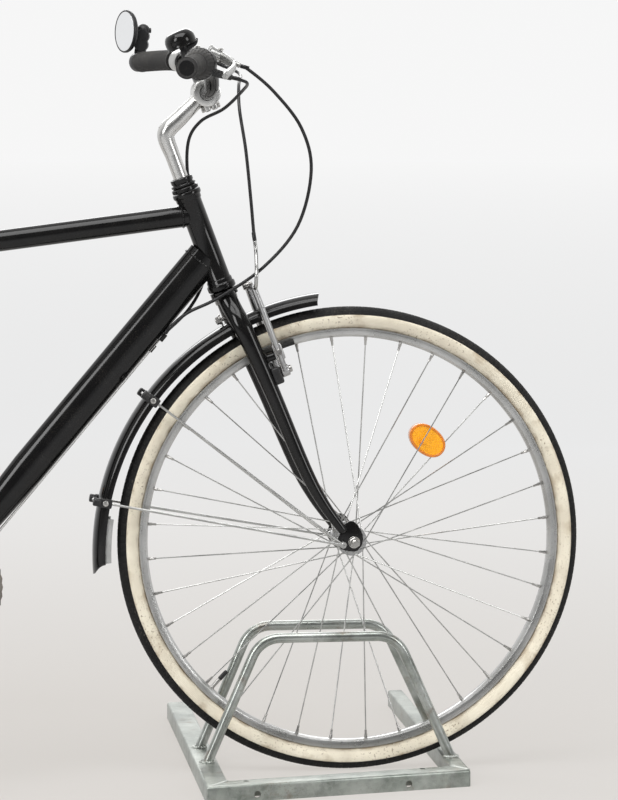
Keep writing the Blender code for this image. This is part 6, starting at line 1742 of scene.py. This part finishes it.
def saddlePoint(x, half, depth, angle, grow=0.0):
    c, s = math.cos(angle), math.sin(angle)
    crown = crownAt(x)
    y = (half + grow) * math.copysign(abs(c) ** 0.75, c)
    z = crown - depth / 2 + (depth / 2 + grow) * math.copysign(abs(s) ** 0.85, s)
    return Vector((saddleClamp.x + 0.010 + x, y, z))


def buildSaddle():
    bm = bmesh.new()
    before = None
    for x, half, depth in saddle["stations"]:
        ring = bmesh.ops.create_circle(bm, cap_ends=False, radius=1.0, segments=28)["verts"]
        for v in ring:
            angle = math.atan2(v.co.y, v.co.x)
            point = saddlePoint(x, half - 0.0012, depth - 0.0012, angle)
            # shallow channel along the middle of the top
            if point.z > crownAt(x) - depth * 0.5:
                dip = math.exp(-(point.y / 0.010) ** 2) * 0.0045
                point.z -= dip * max(0.0, 1 - abs(x + 0.01) / 0.12)
            v.co = point
        edges = list({e for v in ring for e in v.link_edges})
        if before:
            bmesh.ops.bridge_loops(bm, edges=before + edges)
        else:
            first = list(edges)
        before = edges
    for loop in (first, before):
        cap = bmesh.ops.contextual_create(bm, geom=loop)["faces"]
        inset(bm, cap, 0.004, 0.0012)
    bmesh.ops.recalc_face_normals(bm, faces=bm.faces)
    cover = finishPiece("saddle_cover", bm, "seatVinyl", "frame", "saddle", sharp=180.0)
    soft = cover.modifiers.new("soft", "SUBSURF")
    soft.levels = soft.render_levels = 2
    # sewn edge where the cover meets the shell
    left = [saddlePoint(x, half, depth, -0.12, 0.0002) for x, half, depth in saddle["stations"][1:-1]]
    tail = saddlePoint(-0.128, 0.045, 0.018, -0.12)
    nose = saddlePoint(0.150, 0.014, 0.012, -0.12)
    half = smoothPath([nose] + left + [tail], 5)
    path = half + mirrored(half)[::-1]
    bm = bmesh.new()
    sweep(bm, path, 0.0012, 10, closed=True)
    finishPiece("saddle_piping", bm, "blackPlastic", "frame")


def saddleUnderside(x):
    stations = saddle["stations"]
    for (xa, _, da), (xb, _, db) in zip(stations, stations[1:]):
        if xa >= x >= xb:
            top = saddleCrown(x, 1.0 if x < -0.06 else 0.0)
            return top - da - (db - da) * (xa - x) / (xa - xb)
    return crownAt(x)


def buildRails():
    c = saddleClamp
    nose, tail = saddleUnderside(0.098) - 0.0009, saddleUnderside(-0.092) - 0.0009
    height = c.z + 0.0163
    left = smoothPath([(c.x + 0.114, 0.010, nose - 0.004), (c.x + 0.080, 0.013, height + 0.007),
                       (c.x + 0.040, 0.022, height + 0.001), (c.x - 0.028, 0.022, height + 0.001),
                       (c.x - 0.054, 0.026, height + 0.010), (c.x - 0.082, 0.032, tail - 0.004)], 8)
    bm = bmesh.new()
    for path in (left, mirrored(left)):
        sweep(bm, path, 0.0036, 16, rounded=0.0008)
    roundedBox(bm, (c.x + 0.102, -0.014, nose - 0.008), (c.x + 0.116, 0.014, nose), 0.0016, 3)
    roundedBox(bm, (c.x - 0.090, -0.040, tail - 0.008), (c.x - 0.074, 0.040, tail), 0.0016, 3)
    roundedBox(bm, (c.x - 0.016, -0.026, height - 0.0038), (c.x + 0.016, 0.026, height + 0.007), 0.0020, 3)
    for side in (-1, 1):
        hexBolt(bm, Vector((c.x, side * 0.0258, height + 0.0005)), yAxis * side, 0.0130, 0.0060)
    finishPiece("saddle_rails_dressed", bm, "brightSteel", "frame", "saddle_rails")


stay = {"knee": 0.51, "lowY": 0.0675, "kneeY": 0.0490, "highY": 0.0210, "bridgeAt": 0.7283,
        "bossReach": 0.2776}
stayLow = rearHub + Vector((0.006, 0.0, 0.0463))
stayHigh = bracket + seatWay * 0.490 + Vector((-0.004, 0.0, 0.0))
stayWay = (stayHigh - stayLow).normalized()
stayOut = Vector((-stayWay.z, 0.0, stayWay.x))


def stayPoint(t, side):
    upper = max(t - stay["knee"], 0.0) / (1.0 - stay["knee"])
    y = stay["lowY"] + (stay["kneeY"] - stay["lowY"]) * min(t / stay["knee"], 1.0) \
        + (stay["highY"] - stay["kneeY"]) * upper
    return stayLow.lerp(stayHigh, t) + yAxis * side * y


def shareAt(radius):
    low, high = 0.0, 1.0
    for _ in range(30):
        middle = (low + high) / 2
        if (stayPoint(middle, 0) - rearHub).length > radius:
            high = middle
        else:
            low = middle
    return low


def buildRearTriangle():
    outline = [(0.050, -0.020), (0.050, -0.004), (0.022, 0.020), (0.006, 0.046), (-0.006, 0.046),
               (-0.025, 0.014),
               (-0.020, -0.008), (0.004, -0.016)]
    share = shareAt(stay["bossReach"])
    for side in (-1, 1):
        word = sideWord[side]
        anchors = [bracket + Vector((-0.006, side * 0.0250, 0.0)),
                   bracket + Vector((-0.040, side * 0.0310, 0.005)),
                   bracket + Vector((-0.098, side * 0.0315, 0.013)),
                   bracket + Vector((-0.150, side * 0.0420, 0.019)),
                   rearHub + Vector((0.120, side * 0.0600, -0.016)),
                   rearHub + Vector((0.030, side * 0.0675, -0.010))]

        def chainSize(t):
            near = max(0.0, 1 - abs(t - 0.35) / 0.25)
            return 0.0105 - 0.0020 * t, 0.0085 - 0.0025 * near

        bm = bmesh.new()
        sweep(bm, smoothPath(anchors, 6), chainSize, 24, guide=yAxis, rounded=0.0020)
        low = 0.065 if side > 0 else -0.070
        plate(bm, outline, rearHub, (1, 0, 0), (0, 0, 1), -low - 0.005, -low, 0.0008, 3)
        if side > 0:
            foot = rearHub + Vector((0.36984, 0.0, -0.040))
            rod(bm, foot + yAxis * 0.030, foot - yAxis * 0.0245, 0.0060, 24)
            middle = rearHub + Vector((0.080, 0.0672, -0.0300))
            roundedBox(bm, (-0.016, -0.0028, -0.0220), (0.016, 0.0028, 0.0220), 0.0018, 3,
                       Matrix.Translation(middle))
        else:
            strip = [(0.0075 * math.cos(a), 0.0075 * math.sin(a)) for a in
                     [math.radians(v) for v in range(0, 181, 20)]]
            strip = strip + [(x + 0.002, -0.022 - z) for x, z in strip[::-1]]
            plate(bm, strip, rearHub + Vector((0.0, 0.0, -0.010)), (1, 0, 0), (0, 0, 1), 0.065, 0.070, 0.0008,
                  3)
        finishPiece(f"chain_stay_{word}_dressed", bm, "glossBlack", "frame", f"chain_stay_{word}")

        bm = bmesh.new()
        shares = [1.0 - k / 28 for k in range(29)]
        sweep(bm, [stayPoint(t, side) for t in shares], lambda t: (0.0072, 0.0072 - 0.0012 * t), 24,
              guide=yAxis,
              rounded=0.0020)
        boss = stayPoint(share, side)
        rod(bm, boss, boss + stayOut * 0.026, 0.0065, 20, rounded=0.0010)
        bead(bm, boss + stayOut * 0.0072, stayOut, 0.0068, 0.0012, 12)
        if side > 0:
            place, spread = stayPoint(stay["bridgeAt"], 0), stayPoint(stay["bridgeAt"], 1).y
            rod(bm, place + yAxis * (spread - 0.0005), place - yAxis * (spread - 0.0080), 0.0060, 24)
        finishPiece(f"seat_stay_{word}_dressed", bm, "glossBlack", "frame", f"seat_stay_{word}")


chain = {"pitch": 0.0127, "cog": 0.0487, "ring": 0.0971, "cogLine": 0.0341, "ringLine": 0.0470,
         "wrap": 0.0215}
pulleys = (rearHub + Vector((0.004, 0.0, -0.0840)), rearHub + Vector((0.030, 0.0, -0.1420)))


def chainPath():
    def arc(centre, radius, start, end, steps, y):
        return [roundWheel(centre, radius, start + (end - start) * k / steps, y) for k in range(steps + 1)]

    upper, lower = pulleys
    c, r = chain["cogLine"], chain["ringLine"]
    return (arc(rearHub, chain["cog"], 262.0, 91.0, 40, -c) + arc(bracket, chain["ring"], 92.0, -88.0, 72, -r)
            + arc(lower, chain["wrap"], -80.0, -245.0, 28, -c) + arc(upper, chain["wrap"], -60.0, 75.0, 24, -c))


def buildChain():
    path = chainPath()
    total = sum((b - a).length for a, b in zip(path, path[1:] + path[:1]))
    count = 2 * round(total / chain["pitch"] / 2)
    pins = evenly(path + path[:1], [k / count for k in range(count)])
    r, waist = 0.0040, 0.0028

    def rounded(at, angle):
        turn = math.radians(angle)
        return at + r * math.cos(turn), r * math.sin(turn)

    bm = bmesh.new()
    for k, pin in enumerate(pins):
        after = pins[(k + 1) % count]
        way = after - pin
        level = Vector((way.x, 0, way.z)).normalized()
        over = yAxis.cross(level).normalized()
        gap = 0.0024 if k % 2 else 0.0033
        long = way.length
        link = ([rounded(0.0, a) for a in (150, 180, 210)] + [(0.0, -r), (long / 2, -waist), (long, -r)]
                + [rounded(long, a) for a in (330, 0, 30)] + [(long, r), (long / 2, waist), (0.0, r)])
        for side in (-1, 1):
            place = pin + yAxis * side * gap
            verts = [bm.verts.new(place + level * a + over * b + yAxis * (way.y * a / long)) for a, b in link]
            face = bm.faces.new(verts)
            grown = bmesh.ops.extrude_face_region(bm, geom=[face])["geom"]
            bmesh.ops.translate(bm, vec=yAxis * side * 0.0008, verts=vertsOf(grown))
        rod(bm, pin - yAxis * 0.0040, pin + yAxis * 0.0040, 0.0018, 6)
        rod(bm, pin - yAxis * 0.0021, pin + yAxis * 0.0021, 0.0037, 8)
    finishPiece("chain_links", bm, "chainSteel", "frame", "chain")


def toothedRing(bm, centre, teeth, inner, root, tip, low, high):
    # a ring of teeth: outline with four points to a tooth, its middle cut out by a hole
    outline = []
    for k in range(teeth):
        for share, r in ((0.0, root), (0.28, root), (0.42, tip), (0.60, tip), (0.74, root)):
            turn = 2 * math.pi * (k + share) / teeth
            outline.append((r * math.cos(turn), r * math.sin(turn)))
    verts = [bm.verts.new(centre + Vector((x, low, z))) for x, z in outline]
    holeVerts = [bm.verts.new(centre + Vector((inner * math.cos(2 * math.pi * k / 60), low,
                                               inner * math.sin(2 * math.pi * k / 60)))) for k in range(60)]
    edges = []
    for loop in (verts, holeVerts):
        edges += [bm.edges.new((a, b)) for a, b in zip(loop, loop[1:] + loop[:1])]
    filled = bmesh.ops.triangle_fill(bm, edges=edges, use_beauty=True, use_dissolve=False)["geom"]
    faces = [g for g in filled if isinstance(g, bmesh.types.BMFace)]
    grown = bmesh.ops.extrude_face_region(bm, geom=faces)["geom"]
    bmesh.ops.translate(bm, vec=yAxis * (high - low), verts=vertsOf(grown))


def buildFreewheel():
    bm = bmesh.new()
    for k, teeth in enumerate((14, 16, 18, 20, 22, 24, 28)):
        r = chain["pitch"] / 2 / math.sin(math.pi / teeth)
        low = -0.0600 + 0.0050 * k
        toothedRing(bm, rearHub, teeth, 0.0150, r - 0.0068, r - 0.0052, low, low + 0.0018)
    revolve(bm, [(0.0120, -0.0625), (0.0190, -0.0625), (0.0196, -0.0618), (0.0196, -0.0602),
                 (0.0190, -0.0598),
                 (0.0190, -0.0255), (0.0180, -0.0245), (0.0120, -0.0245)], rearHub, steps=48, closed=True)
    finishPiece("freewheel_dressed", bm, "cogSteel", "rear_wheel", "freewheel_cogs")


crank = {"long": 0.170, "armY": 0.066, "endY": 0.080, "ring": 0.0921, "line": 0.0470, "half": 0.0015,
         "pin": 0.0045,
         "pedalY": 0.094}


def buildCrank(side):
    word = sideWord[side]
    along = Vector((0, 0, side))
    y = yAxis * side
    start = bracket + y * crank["armY"]
    end = bracket + along * crank["long"] + y * crank["endY"]
    bm = bmesh.new()
    revolve(bm, [(0.0088, 0.0545), (0.0160, 0.0545), (0.0170, 0.0560), (0.0170, 0.0740), (0.0158, 0.0760),
                 (0.0115, 0.0760), (0.0115, 0.0735), (0, 0.0735), (0, 0.0600), (0.0088, 0.0600)], bracket, y,
            48, closed=True)
    path = [start.lerp(end, k / 12) for k in range(13)]
    sweep(bm, path, lambda t: (0.0150 - 0.0035 * t, 0.0062 - 0.0004 * math.sin(math.pi * t)), 28, guide=y,
          rounded=0.0026)
    revolve(bm, [(0, -0.007), (0.0130, -0.007), (0.0140, -0.0060), (0.0140, 0.0048), (0.0128, 0.0060),
                 (0.0074, 0.0060), (0.0074, 0.0052), (0, 0.0052)], end, y, 40)
    finishPiece(f"crank_{word}_arm", bm, "polishedAlloy", "crankset", f"crank_{word}")
    bm = bmesh.new()
    rod(bm, end - y * 0.001, bracket + along * crank["long"] + y * (crank["pedalY"] + 0.080), crank["pin"],
        20, rounded=0.0008)
    hexBolt(bm, end + y * 0.0052, y, 0.0120, 0.0040)
    rod(bm, bracket + y * 0.034, bracket + y * 0.0600, 0.0085, 24)
    finishPiece(f"crank_{word}_spindle", bm, "brightSteel", "crankset")
    bm = bmesh.new()
    revolve(bm, [(0, 0.0732), (0.0114, 0.0732), (0.0116, 0.0750), (0.0106, 0.0764), (0, 0.0768)], bracket, y,
            32)
    finishPiece(f"crank_{word}_cap", bm, "blackPlastic", "crankset")


def buildChainring():
    bm = bmesh.new()
    low = -crank["line"] - crank["half"]
    high = low + 2 * crank["half"]
    toothedRing(bm, bracket, 48, 0.0120, 0.0906, crank["ring"] + 0.0004, low, high)
    cutter = bmesh.new()
    for k in range(5):
        centre = roundWheel(bracket, 0.060, 72.0 * k + 36.0)
        rod(cutter, centre - yAxis * 0.055, centre - yAxis * 0.040, 0.0170, 40)
        small = roundWheel(bracket, 0.0800, 72.0 * k)
        rod(cutter, small - yAxis * 0.055, small - yAxis * 0.040, 0.0035, 20)
    carve(bm, cutter)
    finishPiece("chainring", bm, "chainringSteel", "crankset")
    bm = bmesh.new()
    for k in range(5):
        foot = roundWheel(bracket, 0.0150, 72.0 * k, -0.0560)
        tip = roundWheel(bracket, 0.0640, 72.0 * k, -0.0505)
        sweep(bm, [foot.lerp(tip, j / 6) for j in range(7)],
              lambda t: (0.0080 - 0.0030 * t, 0.0034 - 0.0012 * t), 16,
              guide=yAxis, rounded=0.0012)
    finishPiece("crank_spider", bm, "polishedAlloy", "crankset")
    bm = bmesh.new()
    for k in range(5):
        place = roundWheel(bracket, 0.0605, 72.0 * k, -0.0520)
        hexBolt(bm, place, -yAxis, 0.0085, 0.0020, 0.0045)
    finishPiece("chainring_bolts", bm, "brightSteel", "crankset")


def buildPedal(side):
    word = sideWord[side]
    pin = bracket + Vector((0, 0, side * crank["long"]))
    low, high = sorted((side * (crank["pedalY"] + 0.001), side * (crank["pedalY"] + 0.086)))
    bm = bmesh.new()
    roundedBox(bm, (pin.x - 0.046, low, pin.z - 0.0125), (pin.x + 0.046, high, pin.z + 0.0125), 0.0050, 4)
    cutter = bmesh.new()
    reach = side * crank["pedalY"]
    rod(cutter, pin + yAxis * (reach - side * 0.01), pin + yAxis * (reach + side * 0.0815), 0.0052, 24)
    for way in (-1, 1):
        x0, x1 = sorted((pin.x + way * 0.013, pin.x + way * 0.037))
        ya, yb = sorted((reach + side * 0.012, reach + side * 0.075))
        roundedBox(cutter, (x0, ya, pin.z - 0.02), (x1, yb, pin.z + 0.02), 0.0030, 3)
    # grooves between the tread blocks, above and below
    for k in range(5):
        y = reach + side * (0.016 + 0.0135 * k)
        for z in (-1, 1):
            for way in (-1, 1):
                x0, x1 = sorted((pin.x + way * 0.0400, pin.x + way * 0.0500))
                cutY, cutZ = sorted((y, y + side * 0.0040)), sorted((pin.z + z * 0.0105, pin.z + z * 0.0140))
                roundedBox(cutter, (x0, cutY[0], cutZ[0]), (x1, cutY[1], cutZ[1]), 0.0)
    carve(bm, cutter)
    finishPiece(f"pedal_{word}_dressed", bm, "blackPlastic", f"pedal_{word}_body", f"pedal_{word}",
                sharp=32.0)
    bm = bmesh.new()
    for way in (-1, 1):
        x = pin.x + way * 0.0458
        roundedBox(bm, (x - 0.0012, (low + high) / 2 - 0.024, pin.z - 0.0072),
                   (x + 0.0012, (low + high) / 2 + 0.024, pin.z + 0.0072),
                   0.0008, 2)
    finishPiece(f"pedal_{word}_reflectors", bm, "amberLens", f"pedal_{word}_body")


def buildDerailleur():
    upper, lower = pulleys
    y = -chain["cogLine"]
    bm = bmesh.new()
    for centre in pulleys:
        toothedRing(bm, centre, 11, 0.0040, 0.0150, 0.0168, y - 0.0012, y + 0.0012)
        revolve(bm, [(0.0034, -0.0055), (0.0075, -0.0055), (0.0075, 0.0055), (0.0034, 0.0055)],
                centre + yAxis * y,
                yAxis, 28, closed=True)
    finishPiece("derailleur_pulleys", bm, "blackPlastic", "frame")

    way = (lower - upper).normalized()
    over = way.cross(yAxis).normalized()
    span = (lower - upper).length
    halfTurn = [math.radians(a) for a in range(0, 181, 18)]
    outline = [(-0.0085 * math.sin(a), 0.0085 * math.cos(a)) for a in halfTurn]
    outline += [(span + 0.0085 * math.sin(a), -0.0085 * math.cos(a)) for a in halfTurn]
    bm = bmesh.new()
    facing = 1.0 if way.cross(over).y > 0 else -1.0
    for low in (y - 0.0085, y + 0.0068):
        a, b = sorted((facing * low, facing * (low + 0.0016)))
        plate(bm, outline, upper, way, over, a, b, 0.0004, 2)
    for centre in pulleys:
        for turn in (-1, 1):
            hexBolt(bm, centre + yAxis * (y + turn * 0.0080), yAxis * turn, 0.0080, 0.0026, 0.0040)
        rod(bm, centre + yAxis * (y - 0.008), centre + yAxis * (y + 0.008), 0.0030, 16)
    finishPiece("derailleur_cage", bm, "satinAlloy", "frame")

    hanger = rearHub + Vector((0.002, -0.0703, -0.032))
    bm = bmesh.new()
    arm = smoothPath([Vector((upper.x, y - 0.0100, upper.z)),
                      Vector((upper.x + 0.004, y - 0.028, rearHub.z - 0.072)),
                      hanger + Vector((0.0, -0.0095, -0.004))], 8)
    sweep(bm, arm, lambda t: (0.0062 + 0.0010 * math.sin(math.pi * t), 0.0058), 20, rounded=0.0016)
    revolve(bm, [(0, 0), (0.0082, 0), (0.0090, 0.0010), (0.0090, 0.0140), (0.0080, 0.0160), (0, 0.0160)],
            hanger,
            -yAxis, 36)
    knuckle = Vector((upper.x, y - 0.0095, upper.z))
    revolve(bm, [(0, -0.0020), (0.0105, -0.0020), (0.0112, -0.0010), (0.0112, 0.0070), (0.0100, 0.0082),
                 (0, 0.0082)],
            knuckle, -yAxis, 36)
    finishPiece("derailleur_body", bm, "polishedAlloy", "frame", "rear_derailleur")
    bm = bmesh.new()
    hexBolt(bm, hanger - yAxis * 0.0160, -yAxis, 0.0100, 0.0030, 0.0055)
    hexBolt(bm, arm[len(arm) // 2] + Vector((-0.0070, -0.004, 0)), (-1, 0, 0), 0.0070, 0.0030, 0.0035)
    finishPiece("derailleur_bolts", bm, "brightSteel", "frame")


carrier = {"front": 0.195, "back": -0.155, "half": 0.055, "rod": 0.0050, "deck": 0.760, "footY": 0.0795}


def carrierFoot(side):
    return rearHub + Vector((-0.004, side * carrier["footY"], 0.028))


def buildCarrier():
    front, back = rearHub.x + carrier["front"], rearHub.x + carrier["back"]
    half, deck, r = carrier["half"], carrier["deck"], carrier["rod"]
    corners = [(front, 0.0), (front, half * 0.55), (front - 0.004, half * 0.85), (front - 0.020, half),
               ((front + back) / 2, half), (back + 0.020, half), (back + 0.004, half * 0.85),
               (back, half * 0.55), (back, 0.0)]
    left = smoothPath([(x, y, deck) for x, y in corners], 5)
    bm = bmesh.new()
    sweep(bm, left + mirrored(left)[::-1][1:-1], r, 20, closed=True)
    for k in (1, 2.2, 3.4):
        x = front - 0.075 * k
        rod(bm, (x, -half, deck), (x, half, deck), r - 0.0006, 16)
    for side in (-1, 1):
        foot = carrierFoot(side)
        for shift, reach in ((0.0015, 0.060), (-0.0015, -0.080)):
            start = foot + Vector((shift, 0.0, 0.0))
            stop = Vector((rearHub.x + reach, side * half, deck + 0.0010))
            path = smoothPath([start, start.lerp(stop, 0.5), stop], 8)
            sweep(bm, path, r - 0.0004, 16, rounded=0.0008)
        revolve(bm, [(0, -0.0092), (0.0066, -0.0092), (0.0070, -0.0086), (0.0070, 0.0044), (0.0064, 0.0050),
                     (0, 0.0050)],
                foot, yAxis * side, 28)
    finishPiece("rear_carrier_dressed", bm, "carrierPaint", "frame", "rear_carrier")
    bm = bmesh.new()
    for side in (-1, 1):
        hexBolt(bm, carrierFoot(side) + yAxis * side * 0.0050, yAxis * side, 0.0085, 0.0035, 0.0045)
    finishPiece("carrier_bolts", bm, "brightSteel", "frame")


def buildRearReflector():
    place = roundWheel(rearHub, 0.3729, 180.0)
    back = Vector((-1, 0, 0))
    bm = bmesh.new()
    revolve(bm, [(0, 0.0002), (0.0205, 0.0002), (0.0232, 0.0024), (0.0240, 0.0060), (0.0240, 0.0118),
                 (0.0234, 0.0130),
                 (0.0220, 0.0132), (0.0216, 0.0116), (0, 0.0116)], place, back, 56)
    finishPiece("rear_reflector_shell", bm, "blackPlastic", "frame", "rear_reflector")
    bm = bmesh.new()
    revolve(bm, [(0, 0.0110), (0.0215, 0.0110), (0.0215, 0.0122), (0.0205, 0.0129), (0.0120, 0.0134),
                 (0, 0.0135)],
            place, back, 56)
    finishPiece("rear_reflector_lens", bm, "redLens", "frame")


def buildRearBrake():
    share = shareAt(stay["bossReach"])
    for side in (-1, 1):
        word = sideWord[side]
        pivot = stayPoint(share, side) + stayOut * 0.026
        buildBrakeArm(f"rear_brake_arm_{word}", pivot, stayWay, stayOut, side, "frame", rearHub)
    buildBridgeWire("rear", stayPoint(share, -1) + stayOut * 0.026, stayWay, stayOut, "frame")


stand = {"pivot": (0.080, 0.0820, -0.050), "long": 0.311, "radius": 0.0070, "folded": (-1.0, 0.0, 0.03),
         "down": (0.12, 0.30, -0.945)}


def buildStand():
    pivot = rearHub + Vector(stand["pivot"])
    folded, down = Vector(stand["folded"]).normalized(), Vector(stand["down"]).normalized()
    axis = folded.cross(down).normalized()
    bm = bmesh.new()
    revolve(bm, [(0, -0.0100), (0.0102, -0.0100), (0.0110, -0.0090), (0.0110, 0.0090), (0.0102, 0.0100),
                 (0, 0.0100)],
            pivot, axis, 40)
    foot = stand["long"] - 0.045
    path = [pivot + folded * (foot * k / 10) for k in range(11)]
    sweep(bm, path, lambda t: (stand["radius"] + 0.0016 * max(0.0, 1 - t / 0.15),) * 2, 24, rounded=0.0010)
    finishPiece("kickstand_leg", bm, "satinAlloy", "stand", "kickstand")
    bm = bmesh.new()
    tip = pivot + folded * stand["long"]
    start = pivot + folded * (foot - 0.004)
    ribs = [start.lerp(tip, k / 24) for k in range(25)]
    sweep(bm, ribs, lambda t: (0.0073 + (0.0007 if round(t * 24) % 3 else 0.0),) * 2, 24, rounded=0.0020)
    finishPiece("kickstand_foot", bm, "gripRubber", "stand")
    bm = bmesh.new()
    for way in (-1, 1):
        hexBolt(bm, pivot + axis * way * 0.0098, axis * way, 0.0100, 0.0030, 0.0050)
    finishPiece("kickstand_bolt", bm, "brightSteel", "stand")


buildSeatTube()
buildSaddle()
buildRails()
buildRearTriangle()
buildChain()
buildFreewheel()
for side in (-1, 1):
    buildCrank(side)
    buildPedal(side)
buildChainring()
buildDerailleur()
buildAxle("rear", rearHub, "frame", 0.0703)
buildCarrier()
buildRearReflector()
buildRearBrake()
buildStand()
print("seat, drive, carrier and stand done")


# the CAD nodes take the finish of their slot too
kept = {
    "gloss_black_paint": "glossBlack", "polished_aluminium": "polishedAlloy", "satin_aluminium": "satinAlloy",
    "bright_steel": "brightSteel", "galvanised_zinc": "galvanised", "charcoal_rubber": "gripRubber",
    "tyre_rubber": "treadRubber", "black_plastic": "blackPlastic", "black_vinyl": "seatVinyl",
    "amber_reflector": "amberLens", "red_reflector": "redLens",
}
for name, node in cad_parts.items():
    for holder in node.material_slots:
        plain = holder.material.name.split(".")[0] if holder.material else ""
        holder.material = skins[kept.get(plain, "glossBlack")]
        if plain not in kept:
            print("no finish for", name, plain)
